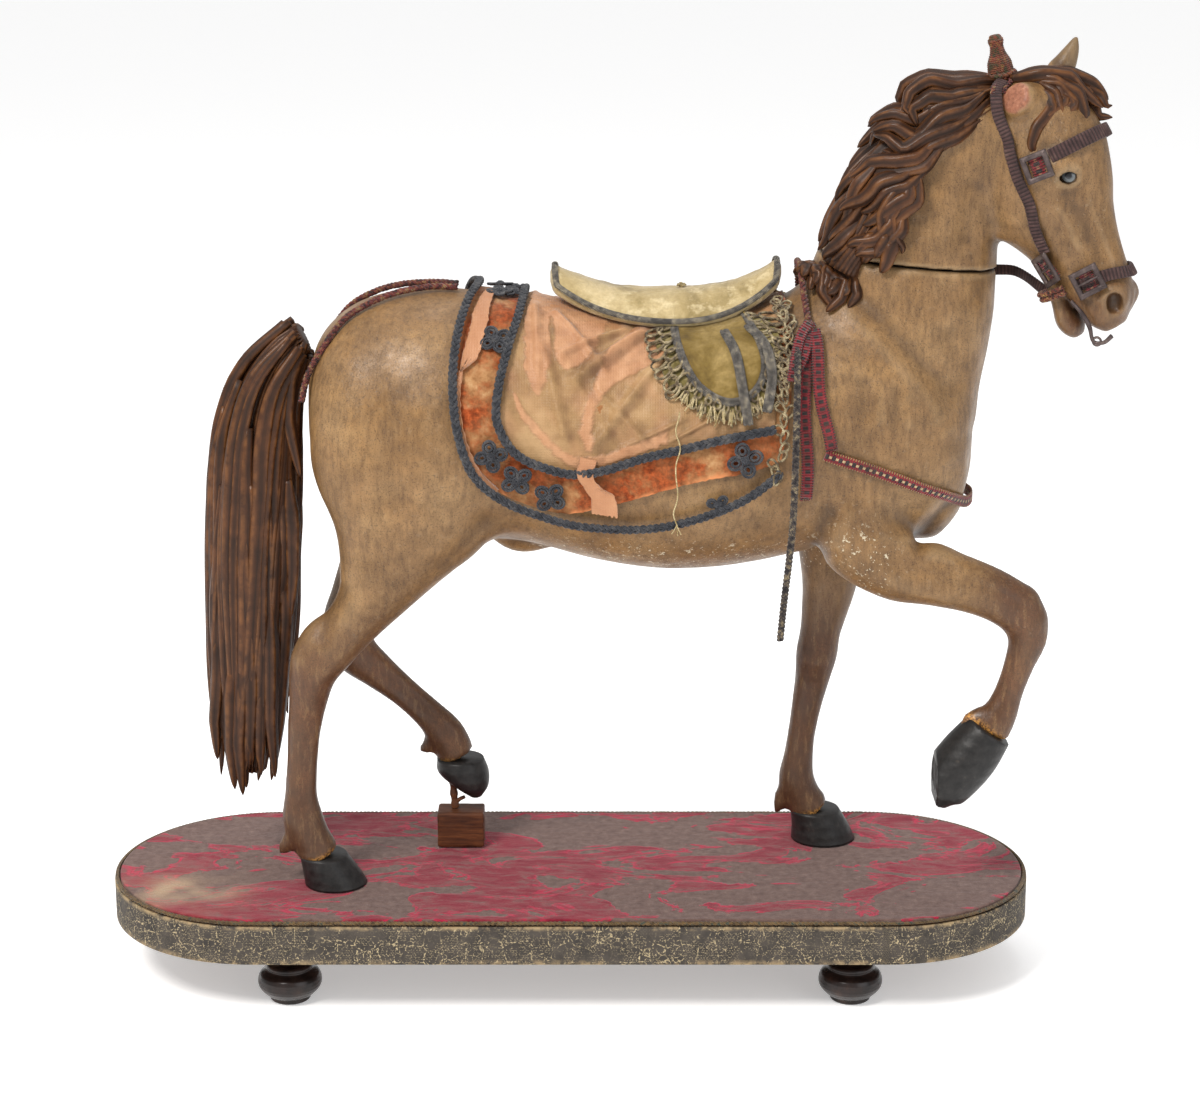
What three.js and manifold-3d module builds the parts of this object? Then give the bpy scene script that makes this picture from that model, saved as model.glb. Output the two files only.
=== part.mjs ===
// Crib figure of a saddled horse on a long rounded plinth, in millimetres.
// X runs to the horse's head, Y away from the side seen in the photo, Z up; the floor is z = 0.
import * as THREE from "three";
import { mergeVertices } from "three/addons/utils/BufferGeometryUtils.js";
import Module from "manifold-3d";

const kernel = await Module();
kernel.setup();
const radians = THREE.MathUtils.degToRad;

// Plinth
const PLINTH_LONG = 454;
const PLINTH_WIDE = 150;
const FOOT_TALL = 28;
const FOOT_WIDE = 31;
const PLINTH_TOP = 50;
const BAND_THICK = 1.6;
const PLINTH_CORD_WIDE = 2.4;
const FOOT_X = 0.3 * PLINTH_LONG;
const FOOT_Y = PLINTH_WIDE / 3;
// What two pieces that rest on each other keep between them
const GAP = 0.35;
// Horse
const HOOF_SOLE = PLINTH_TOP + GAP;
const SEAM_GAP = 0.7;
const HEAD_YAW = radians(25);
const HEAD_PITCH = radians(31);
// Cloth and tack
const CLOTH_LIFT = 1.0;
const CLOTH_THICK = 2.0;
const BRAID_WIDE = 4.6;
const CORD_WIDE = 3.6;
const STRAP_WIDE = 6;
const STRAP_THICK = 1.6;
const RIBBON_WIDE = 6;
const BUCKLE_LONG = 15;
const BUCKLE_BAR = 2.6;
const BUCKLE_THICK = 1.8;

const root = new THREE.Group();
const vec = (x, y, z) => new THREE.Vector3(x, y, z);

// Finishes
const finish = (color, roughness, metalness = 0) => new THREE.MeshStandardMaterial({ color, roughness, metalness });
const paintedCoat = finish(0x967d5a, 0.55);
const paintedHair = finish(0x463223, 0.5);
const stainedWood = finish(0x5a3219, 0.6);
const blackGloss = finish(0x2d201e, 0.25);
const crimsonVelvet = finish(0x9a2038, 0.95);
const greyPaper = finish(0x555350, 0.8);
const thread = finish(0x5c4a30, 0.9);
const creamSilk = finish(0xb99b73, 0.8);
const greyBraid = finish(0x4b4e55, 0.85);
const oliveVelvet = finish(0xa59669, 0.95);
const greenVelvet = finish(0x786932, 0.95);
const redBraid = finish(0x7a2f30, 0.9);
const darkStrap = finish(0x462d2d, 0.6);
const darkMetal = finish(0x4b4141, 0.45, 0.7);

// Solids

// The body that skins a row of rings, each ring a list of points, closed by a fan at both ends.
function bodyOfRings(rings) {
  const sides = rings[0].length;
  const points = rings.flat();
  const middle = (ring) => ring.reduce((sum, p) => sum.add(p), vec(0, 0, 0)).divideScalar(sides);
  points.push(middle(rings[0]), middle(rings[rings.length - 1]));
  const first = points.length - 2;
  const last = points.length - 1;
  const index = [];
  for (let i = 0; i < rings.length - 1; i++) {
    for (let j = 0; j < sides; j++) {
      const a = i * sides + j;
      const b = i * sides + ((j + 1) % sides);
      index.push(a, b, a + sides, b, b + sides, a + sides);
    }
  }
  const top = (rings.length - 1) * sides;
  for (let j = 0; j < sides; j++) {
    const k = (j + 1) % sides;
    index.push(first, k, j, last, top + j, top + k);
  }
  return facingOut(points, index);
}

// The closed slab between two sheets given as functions of two numbers that run from 0 to 1.
function slab(outer, inner, columns, rows) {
  const points = [];
  for (const sheet of [outer, inner]) {
    for (let i = 0; i <= columns; i++) {
      for (let j = 0; j <= rows; j++) {
        points.push(sheet(i / columns, j / rows));
      }
    }
  }
  const under = (columns + 1) * (rows + 1);
  const at = (i, j) => i * (rows + 1) + j;
  const index = [];
  const quad = (a, b, c, d) => index.push(a, b, c, a, c, d);
  for (let i = 0; i < columns; i++) {
    for (let j = 0; j < rows; j++) {
      quad(at(i, j), at(i + 1, j), at(i + 1, j + 1), at(i, j + 1));
      quad(under + at(i, j), under + at(i, j + 1), under + at(i + 1, j + 1), under + at(i + 1, j));
    }
  }
  for (let i = 0; i < columns; i++) {
    quad(at(i, 0), under + at(i, 0), under + at(i + 1, 0), at(i + 1, 0));
    quad(at(i + 1, rows), under + at(i + 1, rows), under + at(i, rows), at(i, rows));
  }
  for (let j = 0; j < rows; j++) {
    quad(at(0, j + 1), under + at(0, j + 1), under + at(0, j), at(0, j));
    quad(at(columns, j), under + at(columns, j), under + at(columns, j + 1), at(columns, j + 1));
  }
  return facingOut(points, index);
}

// A geometry whose faces look outwards, whichever way round they were listed.
function facingOut(points, index) {
  let volume = 0;
  for (let i = 0; i < index.length; i += 3) {
    const [a, b, c] = [points[index[i]], points[index[i + 1]], points[index[i + 2]]];
    volume += a.dot(b.clone().cross(c));
  }
  const faces = volume > 0 ? index : index.slice().reverse();
  return new THREE.BufferGeometry().setFromPoints(points).setIndex(faces);
}

function solidOf(geometry) {
  const bare = new THREE.BufferGeometry();
  const source = geometry.index ? geometry.toNonIndexed() : geometry;
  bare.setAttribute("position", source.getAttribute("position"));
  const merged = mergeVertices(bare, 1e-3);
  return new kernel.Manifold(new kernel.Mesh({
    numProp: 3,
    vertProperties: merged.attributes.position.array,
    triVerts: new Uint32Array(merged.index.array),
  }));
}

function geometryOf(solid) {
  const mesh = solid.getMesh();
  const positions = new Float32Array(mesh.numVert * 3);
  for (let i = 0; i < mesh.numVert; i++) {
    for (let k = 0; k < 3; k++) positions[i * 3 + k] = mesh.vertProperties[i * mesh.numProp + k];
  }
  return new THREE.BufferGeometry()
    .setAttribute("position", new THREE.BufferAttribute(positions, 3))
    .setIndex(new THREE.BufferAttribute(new Uint32Array(mesh.triVerts), 1));
}

const join = (...parts) => geometryOf(parts.map(solidOf).reduce((a, b) => a.add(b)));
const cut = (part, ...tools) => geometryOf(tools.map(solidOf).reduce((a, b) => a.subtract(b), solidOf(part)));

function block(x0, x1, y0, y1, z0, z1) {
  const box = new THREE.BoxGeometry(x1 - x0, y1 - y0, z1 - z0);
  return box.translate((x0 + x1) / 2, (y0 + y1) / 2, (z0 + z1) / 2);
}

function add(name, geometry, material) {
  const mesh = new THREE.Mesh(geometry, material);
  mesh.name = name;
  root.add(mesh);
  return mesh;
}

// Curves and skins

// The row of a table at a key, on a smooth curve through its rows; each row starts with its key.
function rowAt(table, key) {
  const last = table.length - 1;
  const k = Math.min(Math.max(key, table[0][0]), table[last][0]);
  let i = 0;
  while (i < last - 1 && table[i + 1][0] < k) i++;
  const [from, to] = [table[i], table[i + 1]];
  const span = to[0] - from[0];
  const t = (k - from[0]) / span;
  const slope = (n, c) => {
    const [a, b] = [table[Math.max(n - 1, 0)], table[Math.min(n + 1, last)]];
    return (b[c] - a[c]) / (b[0] - a[0]);
  };
  return from.map((value, c) => {
    const [m0, m1] = [slope(i, c) * span, slope(i + 1, c) * span];
    const d = to[c] - value;
    return value + t * (m0 + t * (3 * d - 2 * m0 - m1 + t * (m0 + m1 - 2 * d)));
  });
}

// Rows without keys get the distance along their centres as key.
function keyed(rows) {
  let way = 0;
  return rows.map((row, i) => {
    if (i) way += Math.hypot(row[0] - rows[i - 1][0], row[1] - rows[i - 1][1], row[2] - rows[i - 1][2]);
    return [way, ...row];
  });
}

const bend = (value, power) => Math.sign(value) * Math.abs(value) ** (2 / power);

// A skin is a tube of changing section round a path. A row holds key, centre x, y, z, half depth, half width.
// The width lies along `side`, the depth square to it; `egg` makes the side away from angle 0 the wider.
// Sections stand square to the path, or to `facing` where that is given.
class Skin {
  constructor(table, { side = vec(0, 1, 0), power = 2, egg = 0, facing = null } = {}) {
    Object.assign(this, { table, side, power, egg, facing });
    this.start = table[0][0];
    this.end = table[table.length - 1][0];
  }

  frame(key) {
    const row = rowAt(this.table, key);
    const step = (this.end - this.start) * 0.004;
    const ahead = rowAt(this.table, key + step);
    const behind = rowAt(this.table, key - step);
    const along = this.facing
      ?? vec(ahead[1] - behind[1], ahead[2] - behind[2], ahead[3] - behind[3]).normalize();
    const across = this.side.clone().addScaledVector(along, -this.side.dot(along)).normalize();
    const out = along.clone().cross(across);
    return { centre: vec(row[1], row[2], row[3]), along, across, out, deep: row[4], wide: row[5] };
  }

  at(key, angle, lift = 0) {
    const f = this.frame(key);
    const c = Math.cos(angle);
    const s = Math.sin(angle);
    const face = f.out.clone().multiplyScalar(f.wide * c).addScaledVector(f.across, f.deep * s).normalize();
    return f.centre.clone()
      .addScaledVector(f.out, f.deep * bend(c, this.power))
      .addScaledVector(f.across, f.wide * bend(s, this.power) * (1 - this.egg * c))
      .addScaledVector(face, lift);
  }

  normal(key, angle) {
    return this.at(key, angle, 1).sub(this.at(key, angle, 0)).normalize();
  }

  // The angle, on the side with the negative ones, at which the skin passes a height over the centre.
  angleAt(key, height) {
    const f = this.frame(key);
    const share = Math.min(Math.max(height / f.deep, -1), 1);
    return -Math.acos(Math.sign(share) * Math.abs(share) ** (this.power / 2));
  }

  body(rings, sides) {
    const out = [];
    for (let i = 0; i <= rings; i++) {
      const key = this.start + ((this.end - this.start) * i) / rings;
      out.push(Array.from({ length: sides }, (_, j) => this.at(key, (2 * Math.PI * j) / sides)));
    }
    return bodyOfRings(out);
  }
}

// A tapered lock of carved hair along a path of points, lying flat against `side`.
function lock(points, wide, thick, { side = vec(0, 1, 0), rings = 4, sides = 4, blunt = 0.35 } = {}) {
  const path = keyed(points);
  const end = path[path.length - 1][0];
  const table = path.map(([key, x, y, z]) => {
    const t = key / end;
    const swell = Math.min(1, blunt + 2.2 * t) * Math.sqrt(Math.max(1 - t ** 3, 0.012));
    return [key, x, y, z, (wide / 2) * swell, (thick / 2) * swell];
  });
  return new Skin(table, { side }).body(rings, sides);
}

// A round cord along a smooth curve through the points.
function tube(points, wide, steps, sides = 8) {
  const section = new THREE.Shape(Array.from({ length: sides }, (_, j) => {
    const a = (2 * Math.PI * j) / sides;
    return new THREE.Vector2((Math.cos(a) * wide) / 2, (Math.sin(a) * wide) / 2);
  }));
  const path = new THREE.CatmullRomCurve3(points, false, "centripetal");
  const made = new THREE.ExtrudeGeometry(section, { steps, extrudePath: path, bevelEnabled: false });
  return geometryOf(solidOf(made));
}

// A flat strap along points whose faces look along the normals given.
function strap(points, normals, wide, thick) {
  const rings = points.map((p, i) => {
    const before = points[Math.max(i - 1, 0)];
    const after = points[Math.min(i + 1, points.length - 1)];
    const along = after.clone().sub(before).normalize();
    const across = normals[i].clone().cross(along).normalize().multiplyScalar(wide / 2);
    const up = normals[i].clone().multiplyScalar(thick / 2);
    return [[1, 1], [-1, 1], [-1, -1], [1, -1]].map(([a, b]) =>
      p.clone().addScaledVector(across, a).addScaledVector(up, b));
  });
  return bodyOfRings(rings);
}

// Evenly spaced points on a smooth curve through the points given.
function smooth(points, steps) {
  const table = keyed(points.map((p) => [p.x, p.y, p.z]));
  const end = table[table.length - 1][0];
  return Array.from({ length: steps + 1 }, (_, i) => {
    const row = rowAt(table, (end * i) / steps);
    return vec(row[1], row[2], row[3]);
  });
}

// The same path over a skin, as points and normals: stops are [key, angle], lifted off the skin.
function pathOn(skin, stops, lift, steps) {
  const table = stops.map(([key, angle], i) => [i, key, angle]);
  const places = Array.from({ length: steps + 1 }, (_, i) => rowAt(table, ((stops.length - 1) * i) / steps));
  return {
    points: places.map(([, key, angle]) => skin.at(key, angle, lift)),
    normals: places.map(([, key, angle]) => skin.normal(key, angle)),
  };
}

const strapOn = (skin, stops, lift, steps, wide, thick) => {
  const { points, normals } = pathOn(skin, stops, lift + thick / 2, steps);
  return strap(points, normals, wide, thick);
};

// Plinth

// The outline of the plinth grown by `out`, as a shape with round ends.
function plinthShape(out) {
  const radius = PLINTH_WIDE / 2 + out;
  const straight = (PLINTH_LONG - PLINTH_WIDE) / 2;
  const shape = new THREE.Shape();
  shape.moveTo(straight, -radius);
  shape.absarc(straight, 0, radius, -Math.PI / 2, Math.PI / 2, false);
  shape.lineTo(-straight, radius);
  shape.absarc(-straight, 0, radius, Math.PI / 2, (3 * Math.PI) / 2, false);
  shape.closePath();
  return shape;
}

// A level plate of the plinth's outline grown by `out`, or a ring where `inner` gives the hole's growth.
function plate(out, bottom, top, inner = null) {
  const shape = plinthShape(out);
  if (inner !== null) shape.holes.push(plinthShape(inner));
  const flat = new THREE.ExtrudeGeometry(shape, { depth: top - bottom, bevelEnabled: false, curveSegments: 8 });
  return flat.translate(0, 0, bottom);
}

const boardOut = -BAND_THICK - GAP;
const cordBottom = PLINTH_TOP - PLINTH_CORD_WIDE;
add("plinth_board", plate(boardOut, FOOT_TALL, cordBottom - GAP), stainedWood);
add("plinth_cover", plate(-PLINTH_CORD_WIDE - GAP, cordBottom, PLINTH_TOP), crimsonVelvet);
add("plinth_band", plate(0, FOOT_TALL, cordBottom - GAP, -BAND_THICK), greyPaper);
add("plinth_cord", plate(0, cordBottom, PLINTH_TOP, -PLINTH_CORD_WIDE), thread);

// Turned bun foot: a bun under a short neck
function foot() {
  const r = FOOT_WIDE / 2;
  const top = FOOT_TALL - GAP;
  const profile = [[0, 0], [0.55 * r, 0], [0.9 * r, 4], [r, 9.5], [0.9 * r, 16], [0.52 * r, 20.5],
    [0.56 * r, top], [0, top]];
  return new THREE.LatheGeometry(profile.map(([x, y]) => new THREE.Vector2(x, y)), 10).rotateX(Math.PI / 2);
}
for (const [sideX, nameX] of [[-1, "rear"], [1, "fore"]]) {
  for (const [sideY, nameY] of [[-1, "near"], [1, "far"]]) {
    add(`foot_${nameX}_${nameY}`, foot(), blackGloss).position.set(sideX * FOOT_X, sideY * FOOT_Y, 0);
  }
}

// Horse: trunk and neck

const MIDLINE = 3;
// Key and centre x, top, bottom, half width; the tail end first
const trunkRows = [
  [-123.5, 302, 262, 15], [-119, 315, 250, 32], [-108, 328, 240, 44], [-92, 336, 233, 50.5],
  [-70, 339.5, 227, 54], [-45, 338.5, 222, 54], [-18, 334, 218, 53], [12, 328, 210, 54.5], [42, 325, 205.5, 56],
  [68, 325.5, 206, 56], [90, 331, 209, 54.5], [112, 341, 213.5, 51.5], [132, 344, 216, 49],
  [152, 342, 217, 46.5], [168, 334, 218.5, 42], [180, 320, 224, 35], [188, 303, 235, 26], [191.5, 287, 252, 13],
];
const trunk = new Skin(
  trunkRows.map(([x, top, bottom, half]) => [x, x, MIDLINE, (top + bottom) / 2, (top - bottom) / 2, half]),
  { power: 2.15, egg: 0.1, facing: vec(1, 0, 0) },
);

// The neck from the chest to the poll
const neckRows = [
  [150, MIDLINE, 285, 42, 42], [153, MIDLINE, 312, 45, 38], [157.5, MIDLINE, 340, 44.5, 33.5],
  [162, MIDLINE, 358, 41, 30], [168, 2, 378, 35.5, 26.5], [176, 1, 398, 30, 23.5], [187, -1, 417, 22, 20.5],
  [196, -2, 424, 14, 17],
];
const NECK_ROUND = 2.1;
const neck = new Skin(keyed(neckRows), { power: NECK_ROUND });
const neckBase = new Skin(keyed(neckRows.slice(0, 5)), { power: NECK_ROUND });

// Legs: centre x, y, z, half depth, half width

const nearHindRows = [
  [-70, -20, 286, 46, 25], [-73.5, -24, 258, 47.5, 28], [-78, -27, 236, 41, 25], [-85, -28, 217, 27.5, 20],
  [-93.5, -28, 200, 18.5, 16], [-105, -28, 184, 14, 12.5], [-117.5, -28, 170, 14, 11.5],
  [-123.5, -27, 158, 11.5, 10.5], [-126, -26, 145, 9.5, 8.6], [-128.5, -25.5, 130, 8, 7.2],
  [-130, -25, 112, 7.3, 6.6], [-131, -25, 97, 7.9, 7], [-130.5, -25, 84, 10, 8.6], [-127, -25, 74, 9.6, 9],
  [-121.5, -25, 64, 9.6, 10.6],
];
const farHindRows = [
  [-72, 26, 284, 46, 25], [-78, 30, 250, 40, 25], [-89, 32, 220, 23.5, 18], [-98, 31, 199, 16.5, 14],
  [-106, 30, 181, 13.5, 12], [-112, 29, 166, 12, 11], [-108.5, 28, 153, 11.5, 10.5], [-98, 28, 143, 9.5, 8.5],
  [-84, 28, 131, 7.8, 7], [-72, 28, 119.5, 8, 7], [-63, 28, 109, 9.4, 8.2], [-57, 28, 97, 9, 9],
];
const farForeRows = [
  [128, 27, 246, 24, 20], [130, 32, 220, 20, 17], [129.5, 35, 200, 16, 13.5], [129, 36, 185, 13.7, 11.8],
  [126.7, 36, 170, 11.5, 10.2], [125, 36, 160, 10.2, 9.4], [123.5, 36, 149, 10.5, 9.6], [121.7, 36, 137, 9, 8.4],
  [119, 36, 122, 7.7, 7], [116.6, 36, 106, 7.1, 6.5], [115.2, 36, 93, 7.7, 7.3], [114.5, 36, 82, 9.2, 8.4],
  [118, 36, 72.5, 9.2, 9], [123.5, 36, 65, 9.6, 10.6],
];
const nearForeRows = [
  [128, -24, 252, 25, 20], [137, -30, 228, 21, 18], [154, -34, 214, 16.8, 14.5], [172, -35, 209.5, 14.6, 12.8],
  [190, -36, 204.5, 13, 11.6], [204, -36, 198.5, 12.2, 11], [214, -36, 191, 11.6, 10.6],
  [217.5, -36, 180, 9.8, 9.5], [214, -36, 166, 7.5, 7.4], [209.7, -36, 152, 7, 6.8], [206, -36, 141, 8.4, 7.8],
  [201, -36, 132, 10, 9],
];
const leg = (rows) => new Skin(keyed(rows)).body(11, 7);

// Hooves that stand: level sections from the coronet to the sole
const hoof = (rows) => new Skin(
  rows.map(([x, y, z, deep, wide]) => [-z, x, y, z, deep, wide]),
  { facing: vec(0, 0, -1) },
).body(2, 10);
const nearHindHoof = [[-121, -25, 65, 11.5, 12], [-117.5, -25, 57, 13.6, 13.6], [-115, -25, HOOF_SOLE, 15.2, 15]];
const farForeHoof = [[124, 36, 66, 12.4, 12.4], [127, 36, 57.5, 14.5, 14], [128.5, 36, HOOF_SOLE, 16.2, 15.4]];
const farHindHoof = [[-56, 28, 96, 11.8, 11.8], [-54.5, 28, 89, 12.8, 12.6], [-50.5, 28, 81.5, 8.5, 11],
  [-48.5, 28, 76.5, 3.5, 6]];
// The raised hoof hangs from its coronet and shows its flat sole to the rear
const raisedHoofRows = [[201, -36, 133, 12, 12], [193, -36, 121.5, 14, 14], [186, -36, 112.5, 14, 14.5],
  [178, -36, 104, 13, 13.5], [174.5, -36, 98, 8, 10]];
const RAISED_SOLE_X = 175.5;
const raisedHoof = cut(new Skin(keyed(raisedHoofRows)).body(5, 10), block(120, RAISED_SOLE_X, -80, 0, 60, 160));

// The tuft of hair behind a fetlock
const tuft = (from, to, wide) => lock([from, from.map((v, i) => (v + to[i]) / 2), to], wide, wide * 0.9,
  { rings: 3, blunt: 0.9 });
const tufts = [
  tuft([-134, -25, 76], [-143, -25, 64], 10),
  tuft([-66, 28, 108], [-77, 28, 98], 10),
  tuft([108, 36, 76], [104, 36, 62], 9),
  tuft([198, -36, 142], [186, -36, 132], 10),
];

// Seam between body and neck block: a plane that rises a little to the rear, open by SEAM_GAP
const SEAM_HIGH = 354;
const SEAM_SLOPE = 0.1;
const SEAM_X = 165;
const SEAM_END = 205.5;
function seamBlock(over) {
  const half = SEAM_GAP / 2;
  const box = over ? block(60, 300, -90, 90, -half, 160) : block(60, SEAM_END, -90, 90, -160, half);
  return box.translate(-SEAM_X, 0, 0).rotateY(Math.atan(SEAM_SLOPE)).translate(SEAM_X, 0, SEAM_HIGH);
}

// Locks of the mane that lie on the withers, carved with the body
const witherLocks = [
  [[122, -15, 352], [127, -21, 347], [124, -25, 342], [117, -27, 337]],
  [[116, -12, 354], [119, -18, 349], [114, -23, 341]],
  [[118, -4, 350], [112, 2, 348], [108, 6, 344]],
  [[122, 20, 352], [127, 27, 347], [121, 31, 339]],
].map((path) => lock(path, 8, 12, { rings: 3 }));
const sheath = lock([[-8, MIDLINE, 226], [-26, MIDLINE, 220], [-42, MIDLINE, 226]], 18, 16, { blunt: 0.8 });

const horseBody = cut(
  join(trunk.body(15, 15), neckBase.body(3, 12), ...witherLocks, leg(nearHindRows), leg(farHindRows),
    leg(farForeRows), leg(nearForeRows), ...tufts, sheath, hoof(nearHindHoof), hoof(farForeHoof),
    hoof(farHindHoof), raisedHoof),
  seamBlock(true),
);
add("horse_body", horseBody, paintedCoat);

// Horse: head, neck block and mane

const headFront = vec(Math.cos(HEAD_YAW), -Math.sin(HEAD_YAW), 0);
const headDown = headFront.clone().multiplyScalar(Math.sin(HEAD_PITCH)).add(vec(0, 0, -Math.cos(HEAD_PITCH)));
const headOut = headFront.clone().multiplyScalar(Math.cos(HEAD_PITCH)).add(vec(0, 0, Math.sin(HEAD_PITCH)));
const headFar = vec(Math.sin(HEAD_YAW), Math.cos(HEAD_YAW), 0);
const POLL = vec(203, 0, 430);

// A point of the head: down its length from the poll, out to its front, and to its far side
function headPoint(down, out, far) {
  return POLL.clone().addScaledVector(headDown, down).addScaledVector(headOut, out).addScaledVector(headFar, far);
}

// Down the head, front, back, half width
function headSkin(rows, options) {
  const table = rows.map(([down, front, back, half]) => {
    const c = headPoint(down, (front + back) / 2, 0);
    return [down, c.x, c.y, c.z, (front - back) / 2, half];
  });
  return new Skin(table, { side: headFar, facing: headDown, ...options });
}
const skull = headSkin([
  [-4, 15, -6, 9], [2, 23, -16, 16], [12, 29, -25, 20.5], [24, 32.5, -30, 22.5], [36, 32.8, -32.5, 23],
  [47, 29.8, -33.2, 22], [57, 26, -32, 20], [66, 21.5, -27, 17], [76, 18, -22, 15], [86, 15.5, -19.5, 13.8],
  [96, 13.6, -17.5, 13.4], [105, 11.2, -15.5, 14.2], [112, 6.6, -13.5, 13], [118, 0.5, -9, 8],
], { power: 2.25, egg: 0.12 });
const jaw = headSkin([
  [60, -12, -30, 12], [74, -14, -24.5, 10.5], [86, -15.5, -24.2, 10], [96, -16.3, -26.2, 10],
  [104, -16.6, -28.6, 10], [110, -17.4, -27.4, 8.6], [114, -19.8, -24.5, 5],
]);
const EYE_DOWN = 46;
const EYE_OUT = 13.5;
const eye = (side) => new THREE.IcosahedronGeometry(6.5, 1)
  .translate(...headPoint(EYE_DOWN, EYE_OUT, side * 15.5).toArray());
const nostril = (side) => new THREE.IcosahedronGeometry(6.5, 1).translate(...headPoint(106, 5, side * 9).toArray());

// The far ear stands, the near one is broken off to a stump
const farEar = new Skin(keyed([
  [...headPoint(6, 20, 11).toArray(), 7.5, 7], [...headPoint(-3, 25, 13).toArray(), 7, 6],
  [232.6, 6, 448.5, 4.7, 4.8], [235.8, 6, 459, 0.9, 0.9],
])).body(4, 7);
const nearStump = new Skin(keyed([
  [...headPoint(8, 12, -10).toArray(), 8.5, 9], [...headPoint(5, 10.5, -17).toArray(), 8, 8.5],
  [...headPoint(3, 10, -20.5).toArray(), 7, 7.5],
]), { side: headOut }).body(3, 8);

// Crest of the mane, down the back of the neck
const crest = new Skin(keyed([
  [208, -3, 435.3, 4.6, 8], [200, -3.5, 431, 6.4, 12], [191, -5, 425, 8, 15], [176, -6, 418, 12, 19],
  [161, -6, 408, 12, 21], [150, -5, 394, 11.6, 22], [141, -4, 377, 10.8, 24], [132, -3, 361, 10.4, 26],
  [125, -3, 342, 11, 26],
])).body(7, 8);

// Locks on the near side of the neck, from the poll down
const nearLocks = [
  [[190, -11, 431], [179, -14, 431], [168, -15, 432], [160, -15, 428], [162, -17, 420]],
  [[199, -8, 433], [186, -14, 431], [175, -18, 428], [165, -20, 431], [159, -20, 427], [163, -22, 423]],
  [[192, -16, 432], [182, -20, 425], [172, -22, 421], [160, -22, 412], [149, -19, 415], [139, -14, 413]],
  [[188, -19, 424], [177, -23, 418], [167, -24, 413], [154, -24, 407], [146, -19, 410], [141, -14, 409]],
  [[171, -24, 413], [161, -26, 404], [150, -25, 400], [139, -20, 401], [132, -18, 394]],
  [[162, -26, 402], [154, -27, 394], [143, -26, 392], [136, -24, 384], [127, -20, 377]],
  [[158, -27, 398], [158, -28, 387], [150, -28, 380], [140, -27, 375], [130, -24, 368]],
  [[152, -28, 384], [151, -29, 374], [143, -29, 367], [133, -28, 364], [127, -26, 357]],
  [[150, -29, 371], [144, -30, 363], [141, -30, 354]],
];
const mirrored = (path, middle, ahead = 0) => path.map(([x, y, z]) => [x + ahead, 2 * middle - y, z]);
const farLocks = nearLocks.filter((_, i) => i === 4 || i === 6).map((path) => mirrored(path, -0.5, 12));
const maneLocks = [
  ...nearLocks.map((path) => lock(path, 9, 9, { rings: 3 })),
  ...farLocks.map((path) => lock(path, 16, 9, { rings: 3 })),
  lock([[143, -22, 402], [136, -21, 391], [130, -18, 377], [122, -13, 361]], 10, 10),
];
const forelocks = [
  lock([[204, -9, 438], [216, -14, 440], [229, -14, 439], [236, -15, 431], [241, -16, 425], [247, -15, 421]], 8, 9),
  lock([[216, -7, 440], [230, -7, 440], [240, -7, 435], [248, -8, 429]], 7, 9),
  lock([[212, -12, 437], [224, -16, 436.5], [229, -19.5, 430], [221, -23, 424], [216, -25, 416],
    [214, -26, 407]], 7, 8),
  lock([[209, 4, 436], [219, 6, 436], [231, 4, 434], [239, 2, 429]], 9, 9),
];
add("horse_head_neck", cut(
  join(neck.body(5, 12), crest, ...maneLocks, skull.body(11, 11), jaw.body(5, 7), eye(-1), eye(1), nostril(-1),
    nostril(1), farEar, nearStump, ...forelocks),
  seamBlock(false),
), paintedCoat);

// Tail: carved apart and fixed at the root

const TAIL_JOINT_X = -126;
const TAIL_MIDDLE = 2;
const tailCore = new Skin(keyed([
  [-122, 2, 319, 7, 8], [-133, 2, 312, 10, 12], [-144, 2, 293, 14, 16], [-150, 2, 268, 17, 18],
  [-152, 2, 240, 18, 19], [-154, 2, 210, 18, 19], [-155, 2, 180, 18, 18], [-157, 2, 150, 17, 17],
  [-159, 2, 122, 14, 14], [-160, 2, 100, 10, 10],
])).body(9, 9);
const tailPaths = [
  [[-127, -2, 321], [-142, -6, 310], [-155, -9, 290], [-162, -12, 266], [-164, -12, 240], [-163, -12, 210]],
  [[-126, -5, 318], [-143, -12, 302], [-155, -14, 278], [-158, -17, 248], [-154, -19, 222], [-147, -19, 192],
    [-148, -17, 163]],
  [[-126, -4, 310], [-132, -9, 294], [-133, -10, 276], [-132, -10, 260], [-132, -8, 246]],
  [[-163, -10, 240], [-165, -10, 214], [-168, -10, 190], [-171, -8, 163]],
  [[-154, -17, 216], [-150, -19, 191], [-152, -19, 165], [-157, -17, 133]],
  [[-168, -8, 175], [-170, -9, 148], [-173, -8, 128], [-171, -6, 107]],
  [[-160, -13, 168], [-163, -14, 142], [-165, -12, 116], [-165, -9, 93]],
  [[-151, -13, 165], [-152, -14, 138], [-153, -12, 112], [-154, -9, 92]],
  [[-140, -6, 214], [-140, -7, 181], [-143, -8, 152], [-146, -8, 126], [-151, -6, 96]],
];
const tailLocks = [
  ...tailPaths.map((path) => lock(path, 11, 9, { rings: 4 })),
  ...tailPaths.filter((_, i) => i % 4 === 0).map((path) => lock(mirrored(path, TAIL_MIDDLE), 16, 9, { rings: 4 })),
];
add("tail", cut(join(tailCore, ...tailLocks), block(TAIL_JOINT_X, -60, -40, 40, 200, 400)), paintedHair);

// Rest for the far hind hoof: a block on the plinth and the pin in it

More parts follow.
